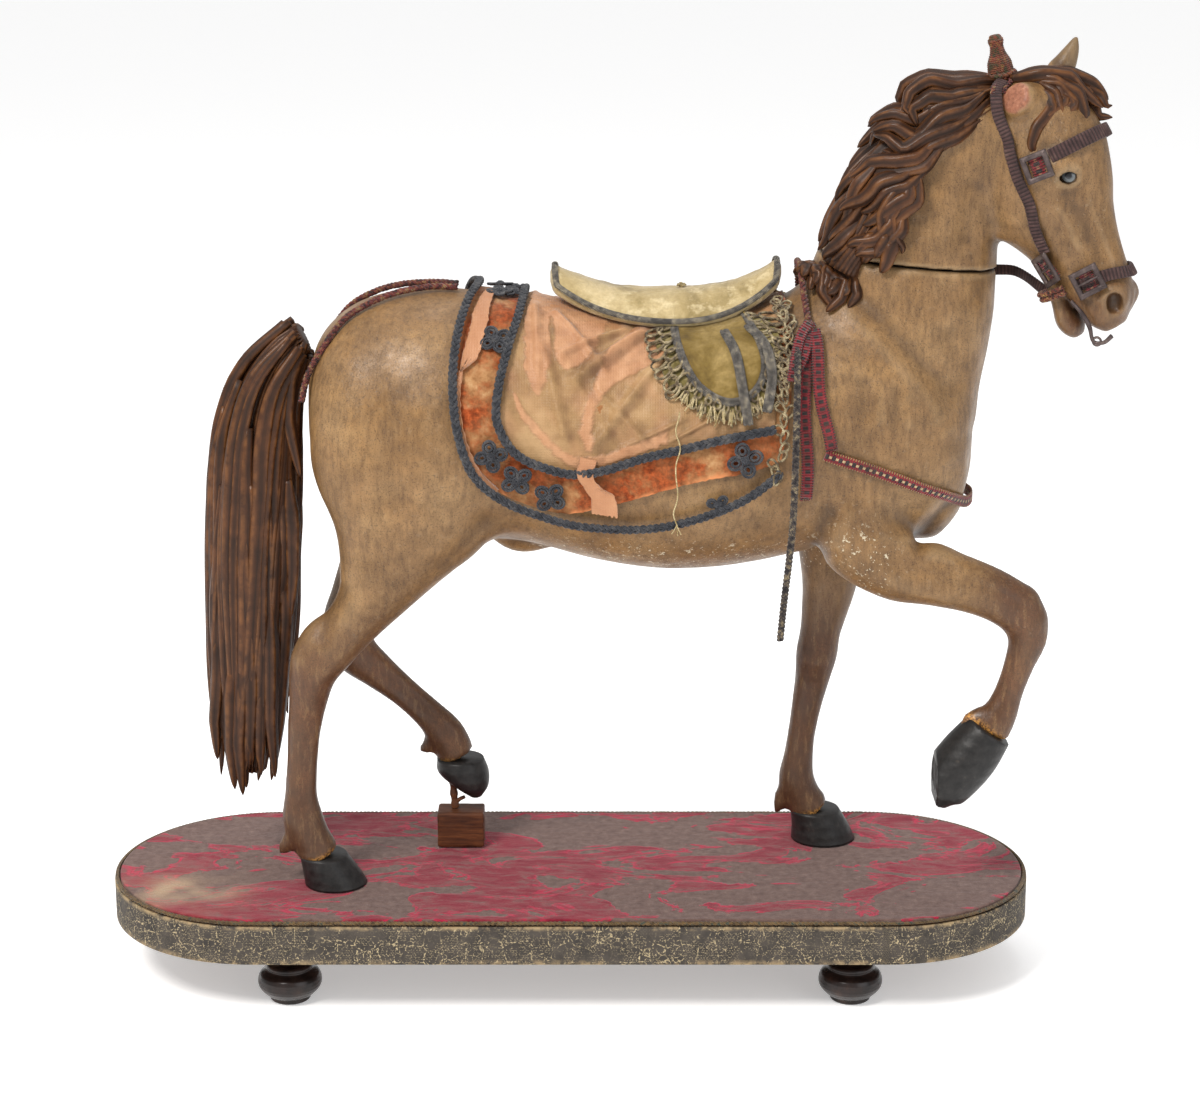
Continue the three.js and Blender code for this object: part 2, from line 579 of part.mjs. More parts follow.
const BLOCK_X = -56;
const BLOCK_Y = 28;
const BLOCK_WIDE = 23.5;
const BLOCK_DEEP = 15;
const BLOCK_TALL = 18.5;
const PIN_WIDE = 4.2;
const PIN_X = -59.5;
const blockBottom = PLINTH_TOP + GAP;
const pinBottom = blockBottom + BLOCK_TALL + GAP;
const restBlock = new THREE.BoxGeometry(BLOCK_WIDE, BLOCK_DEEP, BLOCK_TALL);
add("rest_block", restBlock, stainedWood).position.set(BLOCK_X, BLOCK_Y, blockBottom + BLOCK_TALL / 2);
const pinUp = tube([vec(PIN_X + 0.6, BLOCK_Y, pinBottom), vec(PIN_X, BLOCK_Y, 76), vec(PIN_X - 0.4, BLOCK_Y, 83)],
  PIN_WIDE, 3);
const pinSprig = tube([vec(PIN_X, BLOCK_Y, 71.5), vec(PIN_X + 5.5, BLOCK_Y, 75)], 2.4, 1, 6);
const hoofRoom = hoof(farHindHoof.map(([x, y, z, deep, wide]) => [x, y, z - GAP, deep + GAP, wide + GAP]));
add("rest_pin", cut(join(pinUp, pinSprig), hoofRoom), stainedWood);

// Saddlecloth, laid on the trunk; its edges are stops of key and angle in degrees, near side

const turned = (stops) => stops.map(([key, angle]) => [key, radians(angle)]);
const asTable = (stops) => turned(stops).map((stop, i) => [i, ...stop]);
const rearEdge = asTable([[-42, 0], [-46, -21], [-50, -44], [-52, -64], [-51, -84], [-48, -98]]);
const frontEdge = asTable([[101, 0], [102, -22], [103, -41], [103, -58], [102, -76], [98, -93]]);
const lowEdge = asTable([[-48, -98], [-39, -108], [-24, -116], [-4, -118], [14, -111], [38, -101], [61, -95],
  [82, -94], [98, -93]]);
const along = (edge, t) => rowAt(edge, edge[edge.length - 1][0] * t).slice(1);

// Key and angle inside the edges: s from rear to front, t from the ridge to the lower edge
function clothPlace(s, t) {
  const [rear, front, low] = [along(rearEdge, t), along(frontEdge, t), along(lowEdge, s)];
  const [rearLow, frontLow] = [along(rearEdge, 1), along(frontEdge, 1)];
  const between = (from, to, c) => (1 - s) * from[c] + s * to[c];
  return [0, 1].map((c) => between(rear, front, c) + t * (low[c] - between(rearLow, frontLow, c)));
}
// Both sides in one run: t from 0 at the near lower edge over the ridge to 1 at the far lower edge
const clothSheet = (lift) => (s, t) => {
  const [key, angle] = clothPlace(s, Math.abs(1 - 2 * t));
  return trunk.at(key, t < 0.5 ? angle : -angle, lift);
};
add("saddlecloth", slab(clothSheet(CLOTH_LIFT + CLOTH_THICK), clothSheet(CLOTH_LIFT), 9, 14), creamSilk);

// Near side stops carried on over the back to the far side
const overBack = (stops) => [...stops, ...stops.slice(0, -1).reverse().map(([key, angle]) => [key, -angle])];
const overCloth = CLOTH_LIFT + CLOTH_THICK + GAP;
const braidLift = overCloth + BRAID_WIDE / 2 + 0.3;
const braidOn = (stops, steps) => tube(pathOn(trunk, overBack(turned(stops)), braidLift, 2 * steps).points,
  BRAID_WIDE, steps, 5);
add("cloth_outer_braid", braidOn([
  [98, -96], [84, -102], [70, -106], [51, -111], [33, -115], [14, -118], [-4, -120], [-22, -118], [-35, -112],
  [-44, -104], [-49, -94], [-52, -83], [-53, -65], [-51, -45], [-47, -24], [-42.5, 0],
], 28), greyBraid);
add("cloth_inner_braid", braidOn([
  [95, -80], [84, -79], [70, -79], [56, -81], [37, -85], [19, -91], [1, -96], [-13, -96], [-22, -94], [-29, -89],
  [-33, -81], [-32, -68], [-28, -50], [-23, -27], [-21, 0],
], 25), greyBraid);

// Saddle: a padded seat with raised ends

const SEAT_REAR = -9;
const SEAT_FRONT = 100;
const SEAT_HALF_ANGLE = radians(24);
const SEAT_RIM = 3;
const SEAT_ENDS_LIFT = 5;
// Rise over the rim on the midline, from cantle to pommel
const seatRise = [[0, 7], [0.12, 8.5], [0.3, 8], [0.5, 9], [0.7, 9.5], [0.88, 8.5], [1, 7]];
const seatHalf = (s) => SEAT_HALF_ANGLE * Math.sin(Math.PI * (0.07 + 0.86 * s)) ** 0.6;
const seatCurl = (s) => SEAT_ENDS_LIFT * Math.abs(2 * s - 1) ** 4;
const seatSheet = (over) => (s, t) => {
  const side = 2 * t - 1;
  const dome = 1 - Math.abs(side) ** 2.4;
  const rise = over ? SEAT_RIM + rowAt(seatRise, s)[1] * dome : 0;
  const key = SEAT_REAR + (SEAT_FRONT - SEAT_REAR) * s;
  return trunk.at(key, seatHalf(s) * side, overCloth + 0.4 + rise + seatCurl(s) * (over ? 1.3 : 1));
};
add("saddle_seat", slab(seatSheet(true), seatSheet(false), 10, 6), oliveVelvet);

// Flaps with their fringe, under the seat on either side, and two flat braids that hang over each

const FLAP_THICK = 2.2;
const FLAP_LIFT = overCloth + 0.3;
const flapTop = asTable([[34, -27], [68, -27.5], [101, -27]]);
const flapLow = asTable([[34, -27], [38, -47], [44, -60], [54, -67], [65, -71.5], [77, -74], [88, -74], [97, -69],
  [101, -60], [103, -45], [101, -27]]);
// s runs along the flap, t from its top edge to its hanging edge
function flapPlace(s, t) {
  const [top, low] = [along(flapTop, s), along(flapLow, s)];
  return [0, 1].map((c) => top[c] + (low[c] - top[c]) * (0.04 + 0.96 * t));
}
const flapSheet = (lift, side) => (s, t) => {
  const [key, angle] = flapPlace(0.02 + 0.96 * s, t);
  return trunk.at(key, side * angle, lift);
};
const stirrupLift = FLAP_LIFT + FLAP_THICK + 2 * GAP;
const stirrupBraids = {
  rear: [[72, -29], [77, -43], [80, -60], [81.5, -69], [82.5, -75]],
  fore: [[83, -29], [91, -44], [93.5, -57], [92.5, -66], [91, -72]],
};
for (const [side, name] of [[1, "near"], [-1, "far"]]) {
  const flap = slab(flapSheet(FLAP_LIFT + FLAP_THICK, side), flapSheet(FLAP_LIFT, side), 10, 4);
  add(`saddle_flap_${name}`, flap, greenVelvet);
  for (const [place, stops] of Object.entries(stirrupBraids)) {
    const path = turned(stops).map(([key, angle]) => [key, side * angle]);
    add(`stirrup_braid_${place}_${name}`, strapOn(trunk, path, stirrupLift, 5, 4.6, 1.8), greyBraid);
  }
}

// Cords and ribbons at the withers and round the breast

const mirror = (p) => vec(p.x, 2 * MIDLINE - p.y, p.z);
const onNear = (key, angle, lift) => trunk.at(key, radians(angle), lift);
const witherCord = [onNear(111, -38, 3.4), onNear(110, -26, 4), vec(108.5, -8, 350.5), vec(108, MIDLINE, 352.5)];
add("wither_cord", tube([...witherCord, ...witherCord.slice(0, -1).reverse().map(mirror)], 3.6, 12, 6), redBraid);

// Hanging ribbons, as stops and the lift of their under side
const ribbons = {
  ribbon_rear: { stops: [[110, -47], [109, -60], [109, -75], [110, -91], [110, -112]], lift: 0.8 },
  ribbon_fore: { stops: [[113.5, -44], [115, -62], [117, -80], [121, -93]], lift: 3.2 },
};
for (const [name, { stops, lift }] of Object.entries(ribbons)) {
  add(name, strapOn(trunk, turned(stops), lift, 7, RIBBON_WIDE, STRAP_THICK), redBraid);
}

const breastStops = turned([[118.5, -95.5], [130, -100], [142, -104], [154, -108], [166, -112], [177, -117]]);
const BREAST_FRONT = 193.5;
const BREAST_HIGH = 240;
function breastBand() {
  const lift = 1.2 + STRAP_THICK / 2;
  const nearSide = breastStops.map(([key, angle]) => [trunk.at(key, angle, lift), trunk.normal(key, angle)]);
  const front = [
    [vec(BREAST_FRONT - 5.5, -17, BREAST_HIGH + 1), vec(0.6, -0.8, 0)],
    [vec(BREAST_FRONT - 1.5, -7, BREAST_HIGH), vec(0.9, -0.4, 0)],
    [vec(BREAST_FRONT, MIDLINE, BREAST_HIGH), vec(1, 0, 0)],
  ];
  const half = [...nearSide, ...front].map(([p, n]) => [p, n.normalize()]);
  const farHalf = half.slice(0, -1).reverse().map(([p, n]) => [mirror(p), vec(n.x, -n.y, n.z)]);
  const whole = [...half, ...farHalf];
  return strap(whole.map(([p]) => p), whole.map(([, n]) => n), RIBBON_WIDE, STRAP_THICK);
}
add("breast_ribbon", breastBand(), redBraid);

// The dark braid that hangs free from the withers over the front of the cloth
const danglingRoute = [onNear(105.5, -52, 6.5), onNear(105, -66, 8), onNear(104.5, -84, 9), vec(103.5, -62, 246),
  vec(102, -62.5, 226), vec(100, -61.5, 205), vec(98.5, -60, 185)];
add("dangling_braid", tube(danglingRoute, CORD_WIDE, 15, 6), darkStrap);

// Crupper cords, from the cloth over the croup and under the tail

const crupper = [onNear(-53, -5, 2.4), onNear(-64, -6, 2.6), onNear(-79, -11, 2.6), onNear(-92, -17, 2.6),
  onNear(-105, -24, 2.6), onNear(-114, -36, 2.8), vec(-122.5, -20, 303), vec(-126, -19, 290)];
add("crupper_cord_near", tube(crupper, CORD_WIDE, 13, 6), redBraid);
add("crupper_cord_far", tube(crupper.map(mirror), CORD_WIDE, 13, 6), redBraid);

// Bridle

// The angle on the skull at a height out from the head's long axis, for a key down it
function onSkull(down, out, side = -1) {
  const row = rowAt(skull.table, down);
  const middle = vec(row[1], row[2], row[3]).sub(POLL).dot(headOut);
  return [down, -side * skull.angleAt(down, out - middle)];
}
const STRAP_LIFT = 0.9;
const headStrap = (stops, wide, steps) => strapOn(skull, stops, STRAP_LIFT, steps, wide, STRAP_THICK);
// The upper end of each cheek strap, over the hair behind the ears: places and the way they face
const crownNear = [
  [199.6, -9.8, 437.8, 0, -0.5, 0.87], [196.2, -15.4, 435.2, 0, -0.7, 0.7], [195.4, -21.4, 430.4, 0, -0.9, 0.4],
  [196.3, -22.6, 424.5, -0.1, -0.97, 0.1], [198.6, -23.4, 419, -0.4, -0.9, 0.1],
  [200.9, -25.2, 413.2, -0.54, -0.84, 0.06],
];
const crownFar = [
  [203, 5, 437, 0, 0.5, 0.87], [206.5, 11.2, 434.2, 0, 0.8, 0.6], [210.4, 15.2, 429.2, 0.1, 0.9, 0.4],
  [213.8, 17.6, 424.6, 0.19, 0.96, 0.2], [216, 18.4, 419, 0.24, 0.96, 0.1],
  [218.4, 18.8, 413.2, 0.29, 0.96, 0.06],
];
for (const [side, name, crown] of [[-1, "near", crownNear], [1, "far", crownFar]]) {
  const cheek = pathOn(skull, [onSkull(24, -2.6, side), onSkull(36, -4.9, side), onSkull(53, -7.2, side),
    onSkull(70, -11.5, side)], STRAP_LIFT + STRAP_THICK / 2, 5);
  const points = [...crown.map(([x, y, z]) => vec(x, y, z)), ...cheek.points];
  const normals = [...crown.map(([, , , x, y, z]) => vec(x, y, z).normalize()), ...cheek.normals];
  add(`cheek_strap_${name}`, strap(points, normals, STRAP_WIDE, STRAP_THICK), darkStrap);
}
const BROW_BUCKLE = onSkull(36, 5.5);
const CHEEK_BUCKLE = onSkull(79.5, -14.5);
const NOSE_BUCKLE = onSkull(93, -1);
const browStops = [[34.6, -1.25], [34.8, -0.9], [35, -0.45], [35.2, 0]];
const noseStops = [[92.5, -1.8], [93.5, -1.4], [95, -0.95], [97, -0.45], [98, 0]];
add("brow_band", headStrap(overBack(browStops), 7, 10), darkStrap);
add("nose_band", headStrap(overBack(noseStops), STRAP_WIDE, 12), darkStrap);

// A square buckle: a frame that lies over its strap, level with the skull there
function buckle([key, angle], long, wide) {
  const frame = new THREE.Shape();
  const hole = new THREE.Path();
  const corner = (path, x, y) => {
    path.moveTo(-x, -y);
    path.lineTo(x, -y);
    path.lineTo(x, y);
    path.lineTo(-x, y);
    path.closePath();
  };
  corner(frame, long / 2, wide / 2);
  corner(hole, long / 2 - BUCKLE_BAR, wide / 2 - BUCKLE_BAR);
  frame.holes.push(hole);
  const made = new THREE.ExtrudeGeometry(frame, { depth: BUCKLE_THICK, bevelEnabled: false });
  const up = skull.normal(key, angle);
  const down = skull.at(key + 1, angle).sub(skull.at(key - 1, angle)).normalize();
  const across = up.clone().cross(down).normalize();
  const place = new THREE.Matrix4().makeBasis(across.clone().cross(up), across, up);
  place.setPosition(skull.at(key, angle, STRAP_LIFT + STRAP_THICK + GAP));
  return made.applyMatrix4(place);
}
const buckles = { brow: [BROW_BUCKLE, 13, 13], cheek: [CHEEK_BUCKLE, BUCKLE_LONG, 11], nose: [NOSE_BUCKLE, 13, 14] };
for (const [place, [[key, angle], long, wide]] of Object.entries(buckles)) {
  add(`buckle_${place}_near`, buckle([key, angle], long, wide), darkMetal);
  add(`buckle_${place}_far`, buckle([key, -angle], long, wide), darkMetal);
}

// Cord under the chin, the far rein and the hook of the bit
const chin = [headPoint(91.5, -13, -17), headPoint(91, -19, -15), headPoint(90, -26, -9.5), headPoint(89.5, -29, 0)];
const acrossHead = (p) => p.clone().addScaledVector(headFar, -2 * p.clone().sub(POLL).dot(headFar));
add("chin_cord", tube([...chin, ...chin.slice(0, -1).reverse().map(acrossHead)], 4.6, 12, 6), redBraid);
const reinRoute = [headPoint(88, -31, 13), vec(214, 21, 345), vec(203, 27, 345), vec(190, 34.5, 345),
  vec(172, 38.5, 344.5)];
const reinPoints = smooth(reinRoute, 8);
const reinFace = vec(0.3, 0.95, 0).normalize();
add("rein_far", strap(reinPoints, reinPoints.map(() => reinFace), STRAP_WIDE, STRAP_THICK), darkStrap);
const bit = [headPoint(97.5, -12.5, -16), headPoint(105, -10.5, -16.5), headPoint(112, -10.5, -16),
  headPoint(119, -13, -13), headPoint(121.5, -9, -13), headPoint(120.5, -4, -13)];
add("bit_hook", tube(bit, 2, 10, 6), darkMetal);

// Holder of the plume, a small wrapped peg on the poll
const PLUME_BASE = vec(200.4, -3.4, 438.3);
const PLUME_LEAN = radians(-12);
const PLUME_TALL = 21;
const plume = [[0, 0], [3.2, 0], [3.2, 2.5], [6.1, 4], [5.6, 8.5], [3.4, 13], [2.9, 16], [3.6, 18.4],
  [2.6, PLUME_TALL], [0, PLUME_TALL]];
const holder = new THREE.LatheGeometry(plume.map(([x, y]) => new THREE.Vector2(x, y)), 9).rotateX(Math.PI / 2);
const plumeMesh = add("plume_holder", holder, redBraid);
plumeMesh.position.copy(PLUME_BASE);
plumeMesh.rotation.y = PLUME_LEAN;

// The origin lies under the middle of the whole, on the floor
const whole = new THREE.Box3().setFromObject(root);
const middle = whole.getCenter(vec(0, 0, 0));
root.position.set(-middle.x, -middle.y, -whole.min.z);

export default root;
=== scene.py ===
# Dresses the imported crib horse: sculpted coat, carved hair, cloth, saddle, braids, bridle and plinth.
# Places are written in millimetres from the middle of the plinth, floor at 0, as in the part's source.
import math

import bpy
import numpy as np
import openvdb as vdb
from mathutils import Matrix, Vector


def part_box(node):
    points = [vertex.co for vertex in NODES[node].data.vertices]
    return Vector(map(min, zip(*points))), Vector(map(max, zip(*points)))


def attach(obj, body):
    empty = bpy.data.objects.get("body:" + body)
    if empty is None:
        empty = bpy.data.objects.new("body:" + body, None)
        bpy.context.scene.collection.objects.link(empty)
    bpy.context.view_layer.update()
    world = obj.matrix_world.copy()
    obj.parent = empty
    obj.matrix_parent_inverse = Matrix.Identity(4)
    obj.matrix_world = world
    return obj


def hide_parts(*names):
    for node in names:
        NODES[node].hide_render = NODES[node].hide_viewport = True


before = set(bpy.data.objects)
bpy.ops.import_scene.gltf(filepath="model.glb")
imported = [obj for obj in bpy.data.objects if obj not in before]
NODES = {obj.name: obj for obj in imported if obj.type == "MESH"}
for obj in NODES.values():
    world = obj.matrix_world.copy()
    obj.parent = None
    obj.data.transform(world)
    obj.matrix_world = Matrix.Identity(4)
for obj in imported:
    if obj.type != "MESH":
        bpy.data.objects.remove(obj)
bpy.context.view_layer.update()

# Driving sizes
MM = 0.001
PLINTH_TOP = 50.0
PLINTH_LONG = 454.0
PLINTH_WIDE = 150.0
MIDLINE = 3.0
board_low, board_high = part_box("plinth_board")
MIDDLE_X = (board_low.x + board_high.x) / 2

# Camera of the photograph: place, tilt down and lens
CAMERA_PLACE = (14.5, -1300.0, 567.4)
CAMERA_TILT = 15.216
CAMERA_LENS = 83.43
SENSOR = 36.0


def metres(points):
    """Points in millimetres from the plinth's middle, as metres in the frame of the part."""
    out = np.array(points, float) * MM
    out[..., 0] += MIDDLE_X
    return out


def radians(value):
    return np.asarray(value, float) * math.pi / 180


def unit(vectors):
    vectors = np.asarray(vectors, float)
    return vectors / np.maximum(np.linalg.norm(vectors, axis=-1, keepdims=True), 1e-9)


camera_data = bpy.data.cameras.new("camera")
camera = bpy.data.objects.new("camera", camera_data)
camera_data.sensor_width = SENSOR
camera_data.lens = CAMERA_LENS
camera_data.clip_start = 0.05
camera_data.clip_end = 20
camera.location = metres(CAMERA_PLACE)
camera.rotation_euler = (math.radians(90 - CAMERA_TILT), 0, 0)
bpy.context.scene.collection.objects.link(camera)
bpy.context.scene.camera = camera


# Curves and skins, as in the part's source


def round_angles(count):
    """Angles evenly spread over one turn."""
    return np.linspace(0, 2 * math.pi, count, endpoint=False)


def ways(path):
    """How far each point of a path is along it."""
    return np.concatenate([[0], np.cumsum(np.linalg.norm(np.diff(path, axis=0), axis=1))])


def row_at(table, keys):
    """Rows of a table at some keys, on a smooth curve through its rows; the first column is the key."""
    table = np.asarray(table, float)
    k = np.clip(np.asarray(keys, float), table[0, 0], table[-1, 0])
    i = np.minimum(np.searchsorted(table[1:, 0], k, side="left"), len(table) - 2)
    last = len(table) - 1
    before = np.maximum(np.arange(len(table)) - 1, 0)
    after = np.minimum(np.arange(len(table)) + 1, last)
    slopes = (table[after] - table[before]) / (table[after, 0] - table[before, 0])[:, None]
    start, end = table[i], table[i + 1]
    span = (end[..., 0] - start[..., 0])[..., None]
    t = (k[..., None] - start[..., :1]) / span
    m0, m1 = slopes[i] * span, slopes[i + 1] * span
    d = end - start
    return start + t * (m0 + t * (3 * d - 2 * m0 - m1 + t * (m0 + m1 - 2 * d)))


def keyed(rows):
    """Rows that start with x, y, z get the way along them as key."""
    rows = np.asarray(rows, float)
    return np.column_stack([ways(rows[:, :3]), rows])


def smooth_path(points, count):
    """Evenly spaced points on a smooth curve through the points given."""
    table = keyed(points)
    return row_at(table, np.linspace(0, table[-1, 0], count))[:, 1:]


def smooth_stops(stops, count):
    """A smooth line through stops of two numbers; the third column stays 0."""
    return smooth_path([(a, b, 0) for a, b in stops], count)


def headings(path):
    """The direction of a path at each of its points."""
    return unit(np.gradient(path, axis=0))


def bend(value, power):
    return np.sign(value) * np.abs(value) ** (2 / power)


class Skin:
    """A tube of changing section round a path; a row holds key, centre x, y, z, half depth, half width."""

    def __init__(self, table, side=(0, 1, 0), power=2.0, egg=0.0, facing=None):
        self.table = np.asarray(table, float)
        self.side = np.asarray(side, float)
        self.power = power
        self.egg = egg
        self.facing = None if facing is None else np.asarray(facing, float)
        self.start, self.end = self.table[0, 0], self.table[-1, 0]

    def at(self, keys, angles, lift=0.0):
        keys, angles = np.broadcast_arrays(np.asarray(keys, float), np.asarray(angles, float))
        row = row_at(self.table, keys)
        if self.facing is None:
            step = (self.end - self.start) * 0.004
            ahead, behind = row_at(self.table, keys + step), row_at(self.table, keys - step)
            along = unit(ahead[..., 1:4] - behind[..., 1:4])
        else:
            along = np.broadcast_to(self.facing, row[..., 1:4].shape)
        across = unit(self.side - along * (along @ self.side)[..., None])
        out = np.cross(along, across)
        c, s = np.cos(angles)[..., None], np.sin(angles)[..., None]
        deep, wide = row[..., 4:5], row[..., 5:6]
        face = unit(out * wide * c + across * deep * s)
        lift = np.asarray(lift, float)
        lift = lift[..., None] if lift.ndim else lift
        return (row[..., 1:4] + out * deep * bend(c, self.power)
                + across * wide * bend(s, self.power) * (1 - self.egg * c) + face * lift)

    def normal(self, keys, angles):
        return unit(self.at(keys, angles, 1.0) - self.at(keys, angles, 0.0))

    def mesh(self, rings, sides):
        keys = np.linspace(self.start, self.end, rings + 1)
        angles = round_angles(sides)
        points = self.at(keys[:, None], angles[None, :])
        return tube_mesh(points)


def tube_mesh(rings):
    """Points and faces of the closed body that skins a row of rings, (rings, sides, 3)."""
    count, sides = rings.shape[:2]
    points = np.concatenate([rings.reshape(-1, 3), rings[0].mean(0)[None], rings[-1].mean(0)[None]])
    i, j = np.meshgrid(np.arange(count - 1), np.arange(sides), indexing="ij")
    a = (i * sides + j).ravel()
    b = (i * sides + (j + 1) % sides).ravel()
    quads = np.column_stack([a, b, b + sides, a + sides])
    n = np.arange(sides)
    k = (n + 1) % sides
    first, last = len(points) - 2, len(points) - 1
    top = (count - 1) * sides
    low_cap = np.column_stack([np.full(sides, first), k, n])
    high_cap = np.column_stack([np.full(sides, last), top + n, top + k])
    return points, quads, np.concatenate([low_cap, high_cap])


# Clay: a solid kept as distances on a grid, which can be joined, raised, cut and smoothed


class Clay:
    """Distances to a surface on a grid, in millimetres, negative inside."""

    def __init__(self, low, high, voxel, band):
        self.voxel, self.band = voxel, band
        self.low = np.floor(np.asarray(low) / voxel).astype(int)
        self.shape = tuple(np.ceil(np.asarray(high) / voxel).astype(int) - self.low + 1)
        self.values = np.full(self.shape, band, np.float32)

    def distances(self, mesh):
        """Distances to a mesh, on this grid, positive outside."""
        points, quads, tris = mesh
        transform = vdb.createLinearTransform(voxelSize=self.voxel)
        grid = vdb.FloatGrid.createLevelSetFromPolygons(
            np.ascontiguousarray(points, np.float32), triangles=np.ascontiguousarray(tris, np.uint32),
            quads=np.ascontiguousarray(quads, np.uint32), transform=transform,
            halfWidth=self.band / self.voxel)
        out = np.full(self.shape, self.band, np.float32)
        grid.copyToArray(out, ijk=tuple(int(v) for v in self.low))
        return out

    def join(self, mesh, blend=0.0):
        other = self.distances(mesh)
        if blend <= 0:
            self.values = np.minimum(self.values, other)
            return other
        h = np.clip(0.5 + 0.5 * (self.values - other) / blend, 0, 1)
        self.values = self.values * (1 - h) + other * h - blend * h * (1 - h)
        return other

    def cut(self, mesh, blend=0.0):
        other = -self.distances(mesh)
        if blend <= 0:
            self.values = np.maximum(self.values, other)
            return
        h = np.clip(0.5 + 0.5 * (other - self.values) / blend, 0, 1)
        self.values = self.values * (1 - h) + other * h + blend * h * (1 - h)

    def window(self, low, high):
        low = np.maximum(np.floor(np.asarray(low) / self.voxel).astype(int) - self.low, 0)
        high = np.minimum(np.ceil(np.asarray(high) / self.voxel).astype(int) - self.low + 1, self.shape)
        places = tuple(slice(a, max(b, a)) for a, b in zip(low, high))
        axes = [(np.arange(s.start, s.stop) + o) * self.voxel for s, o in zip(places, self.low)]
        return places, axes

    def stroke(self, points, rise, radius, flat=None, side=0):
        """Raises (or sinks, where rise is negative) the surface along a line of points.

        With flat = 1 the line is drawn through along Y, on the side of the midline that `side` names."""
        points = np.asarray(points, float)
        if len(points) > 2:
            points = smooth_path(points, 4 * len(points))
        reach = 2.6 * radius
        low, high = points.min(0) - reach, points.max(0) + reach
        if flat is not None:
            low[1], high[1] = (-90, MIDLINE - 4) if side < 0 else (MIDLINE + 4, 90)
            if side == 0:
                low[1], high[1] = -90, 90
        places, (x, y, z) = self.window(low, high)
        if 0 in self.values[places].shape:
            return
        if flat is not None:
            grid = np.stack(np.meshgrid(x, z, indexing="ij"), -1)
            line = points[:, [0, 2]]
        else:
            grid = np.stack(np.meshgrid(x, y, z, indexing="ij"), -1)
            line = points
        best = np.full(grid.shape[:-1], 1e9)
        share = np.zeros(grid.shape[:-1])
        for n, (a, b) in enumerate(zip(line[:-1], line[1:])):
            d = b - a
            t = np.clip(((grid - a) @ d) / max(d @ d, 1e-9), 0, 1)
            way = ((grid - a - t[..., None] * d) ** 2).sum(-1)
            nearer = way < best
            best = np.where(nearer, way, best)
            share = np.where(nearer, (n + t) / (len(line) - 1), share)
        fade = np.clip(np.sin(np.pi * np.clip(share, 0.0, 1.0)) * 2.2 + 0.15, 0, 1)
        effect = rise * np.exp(-best / radius ** 2) * fade
        if flat is not None:
            effect = effect[:, None, :]
        self.values[places] -= effect.astype(np.float32)

    def soften(self, sigma):
        """Blurs the distances, which rounds every edge off."""
        reach = max(int(math.ceil(2.5 * sigma / self.voxel)), 1)
        weights = np.exp(-0.5 * ((np.arange(-reach, reach + 1) * self.voxel) / sigma) ** 2)
        weights /= weights.sum()
        for axis in range(3):
            padding = [(reach, reach) if n == axis else (0, 0) for n in range(3)]
            padded = np.pad(self.values, padding, mode="edge")
            size = self.values.shape[axis]
            self.values = sum(w * np.take(padded, range(n, n + size), axis=axis)
                              for n, w in enumerate(weights)).astype(np.float32)

    def sample(self, values, points):
        """Values of another array on this grid at some points."""
        places = np.asarray(points) / self.voxel - self.low
        corner = np.clip(np.floor(places).astype(int), 0, np.array(self.shape) - 2)
        t = np.clip(places - corner, 0, 1)
        out = np.zeros(len(points))
        for dx in (0, 1):
            for dy in (0, 1):
                for dz in (0, 1):
                    weight = (np.where(dx, t[:, 0], 1 - t[:, 0]) * np.where(dy, t[:, 1], 1 - t[:, 1])
                              * np.where(dz, t[:, 2], 1 - t[:, 2]))
                    out += weight * values[corner[:, 0] + dx, corner[:, 1] + dy, corner[:, 2] + dz]
        return out

    def mesh(self):
        grid = vdb.FloatGrid(self.band)
        grid.copyFromArray(np.ascontiguousarray(self.values), ijk=tuple(int(v) for v in self.low))
        grid.transform = vdb.createLinearTransform(voxelSize=self.voxel)
        points, quads = grid.convertToQuads(isovalue=0.0)
        return np.asarray(points, float), np.asarray(quads)[:, ::-1]


# Objects


def make_object(name, points, faces, material):
    """A mesh object from points in millimetres and lists of faces; several lists give several face sizes."""
    mesh = bpy.data.meshes.new(name)
    lists = faces if isinstance(faces, (list, tuple)) else [faces]
    lists = [np.asarray(f, np.int64) for f in lists if len(f)]
    loops = np.concatenate([f.ravel() for f in lists])
    sizes = np.concatenate([np.full(len(f), f.shape[1]) for f in lists])
    starts = np.concatenate([[0], np.cumsum(sizes)[:-1]])
    mesh.vertices.add(len(points))
    mesh.vertices.foreach_set("co", metres(points).astype(np.float32).ravel())
    mesh.loops.add(len(loops))
    mesh.loops.foreach_set("vertex_index", loops.astype(np.int32))
    mesh.polygons.add(len(sizes))
    mesh.polygons.foreach_set("loop_start", starts.astype(np.int32))
    mesh.update(calc_edges=True)
    mesh.validate()
    mesh.shade_smooth()
    obj = bpy.data.objects.new(name, mesh)
    bpy.context.scene.collection.objects.link(obj)
    for m in material if isinstance(material, (list, tuple)) else [material]:
        mesh.materials.append(m)
    return obj


def attribute(obj, name, values):
    layer = obj.data.attributes.new(name, "FLOAT", "POINT")
    layer.data.foreach_set("value", np.asarray(values, np.float32).ravel())


def finish_piece(obj, slot, *nodes):
    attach(obj, "root")
    if nodes:
        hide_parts(*nodes)
    return obj


def gather(meshes):
    """Several (points, quads, tris) as one, with the number of the mesh that each point is from."""
    points, quads, tris, source = [], [], [], []
    shift = 0
    for n, (p, q, t) in enumerate(meshes):
        points.append(p)
        quads.append(np.asarray(q, int).reshape(-1, 4) + shift)
        tris.append(np.asarray(t, int).reshape(-1, 3) + shift)
        source.append(np.full(len(p), n))
        shift += len(p)
    return np.concatenate(points), np.concatenate(quads), np.concatenate(tris), np.concatenate(source)


# Materials


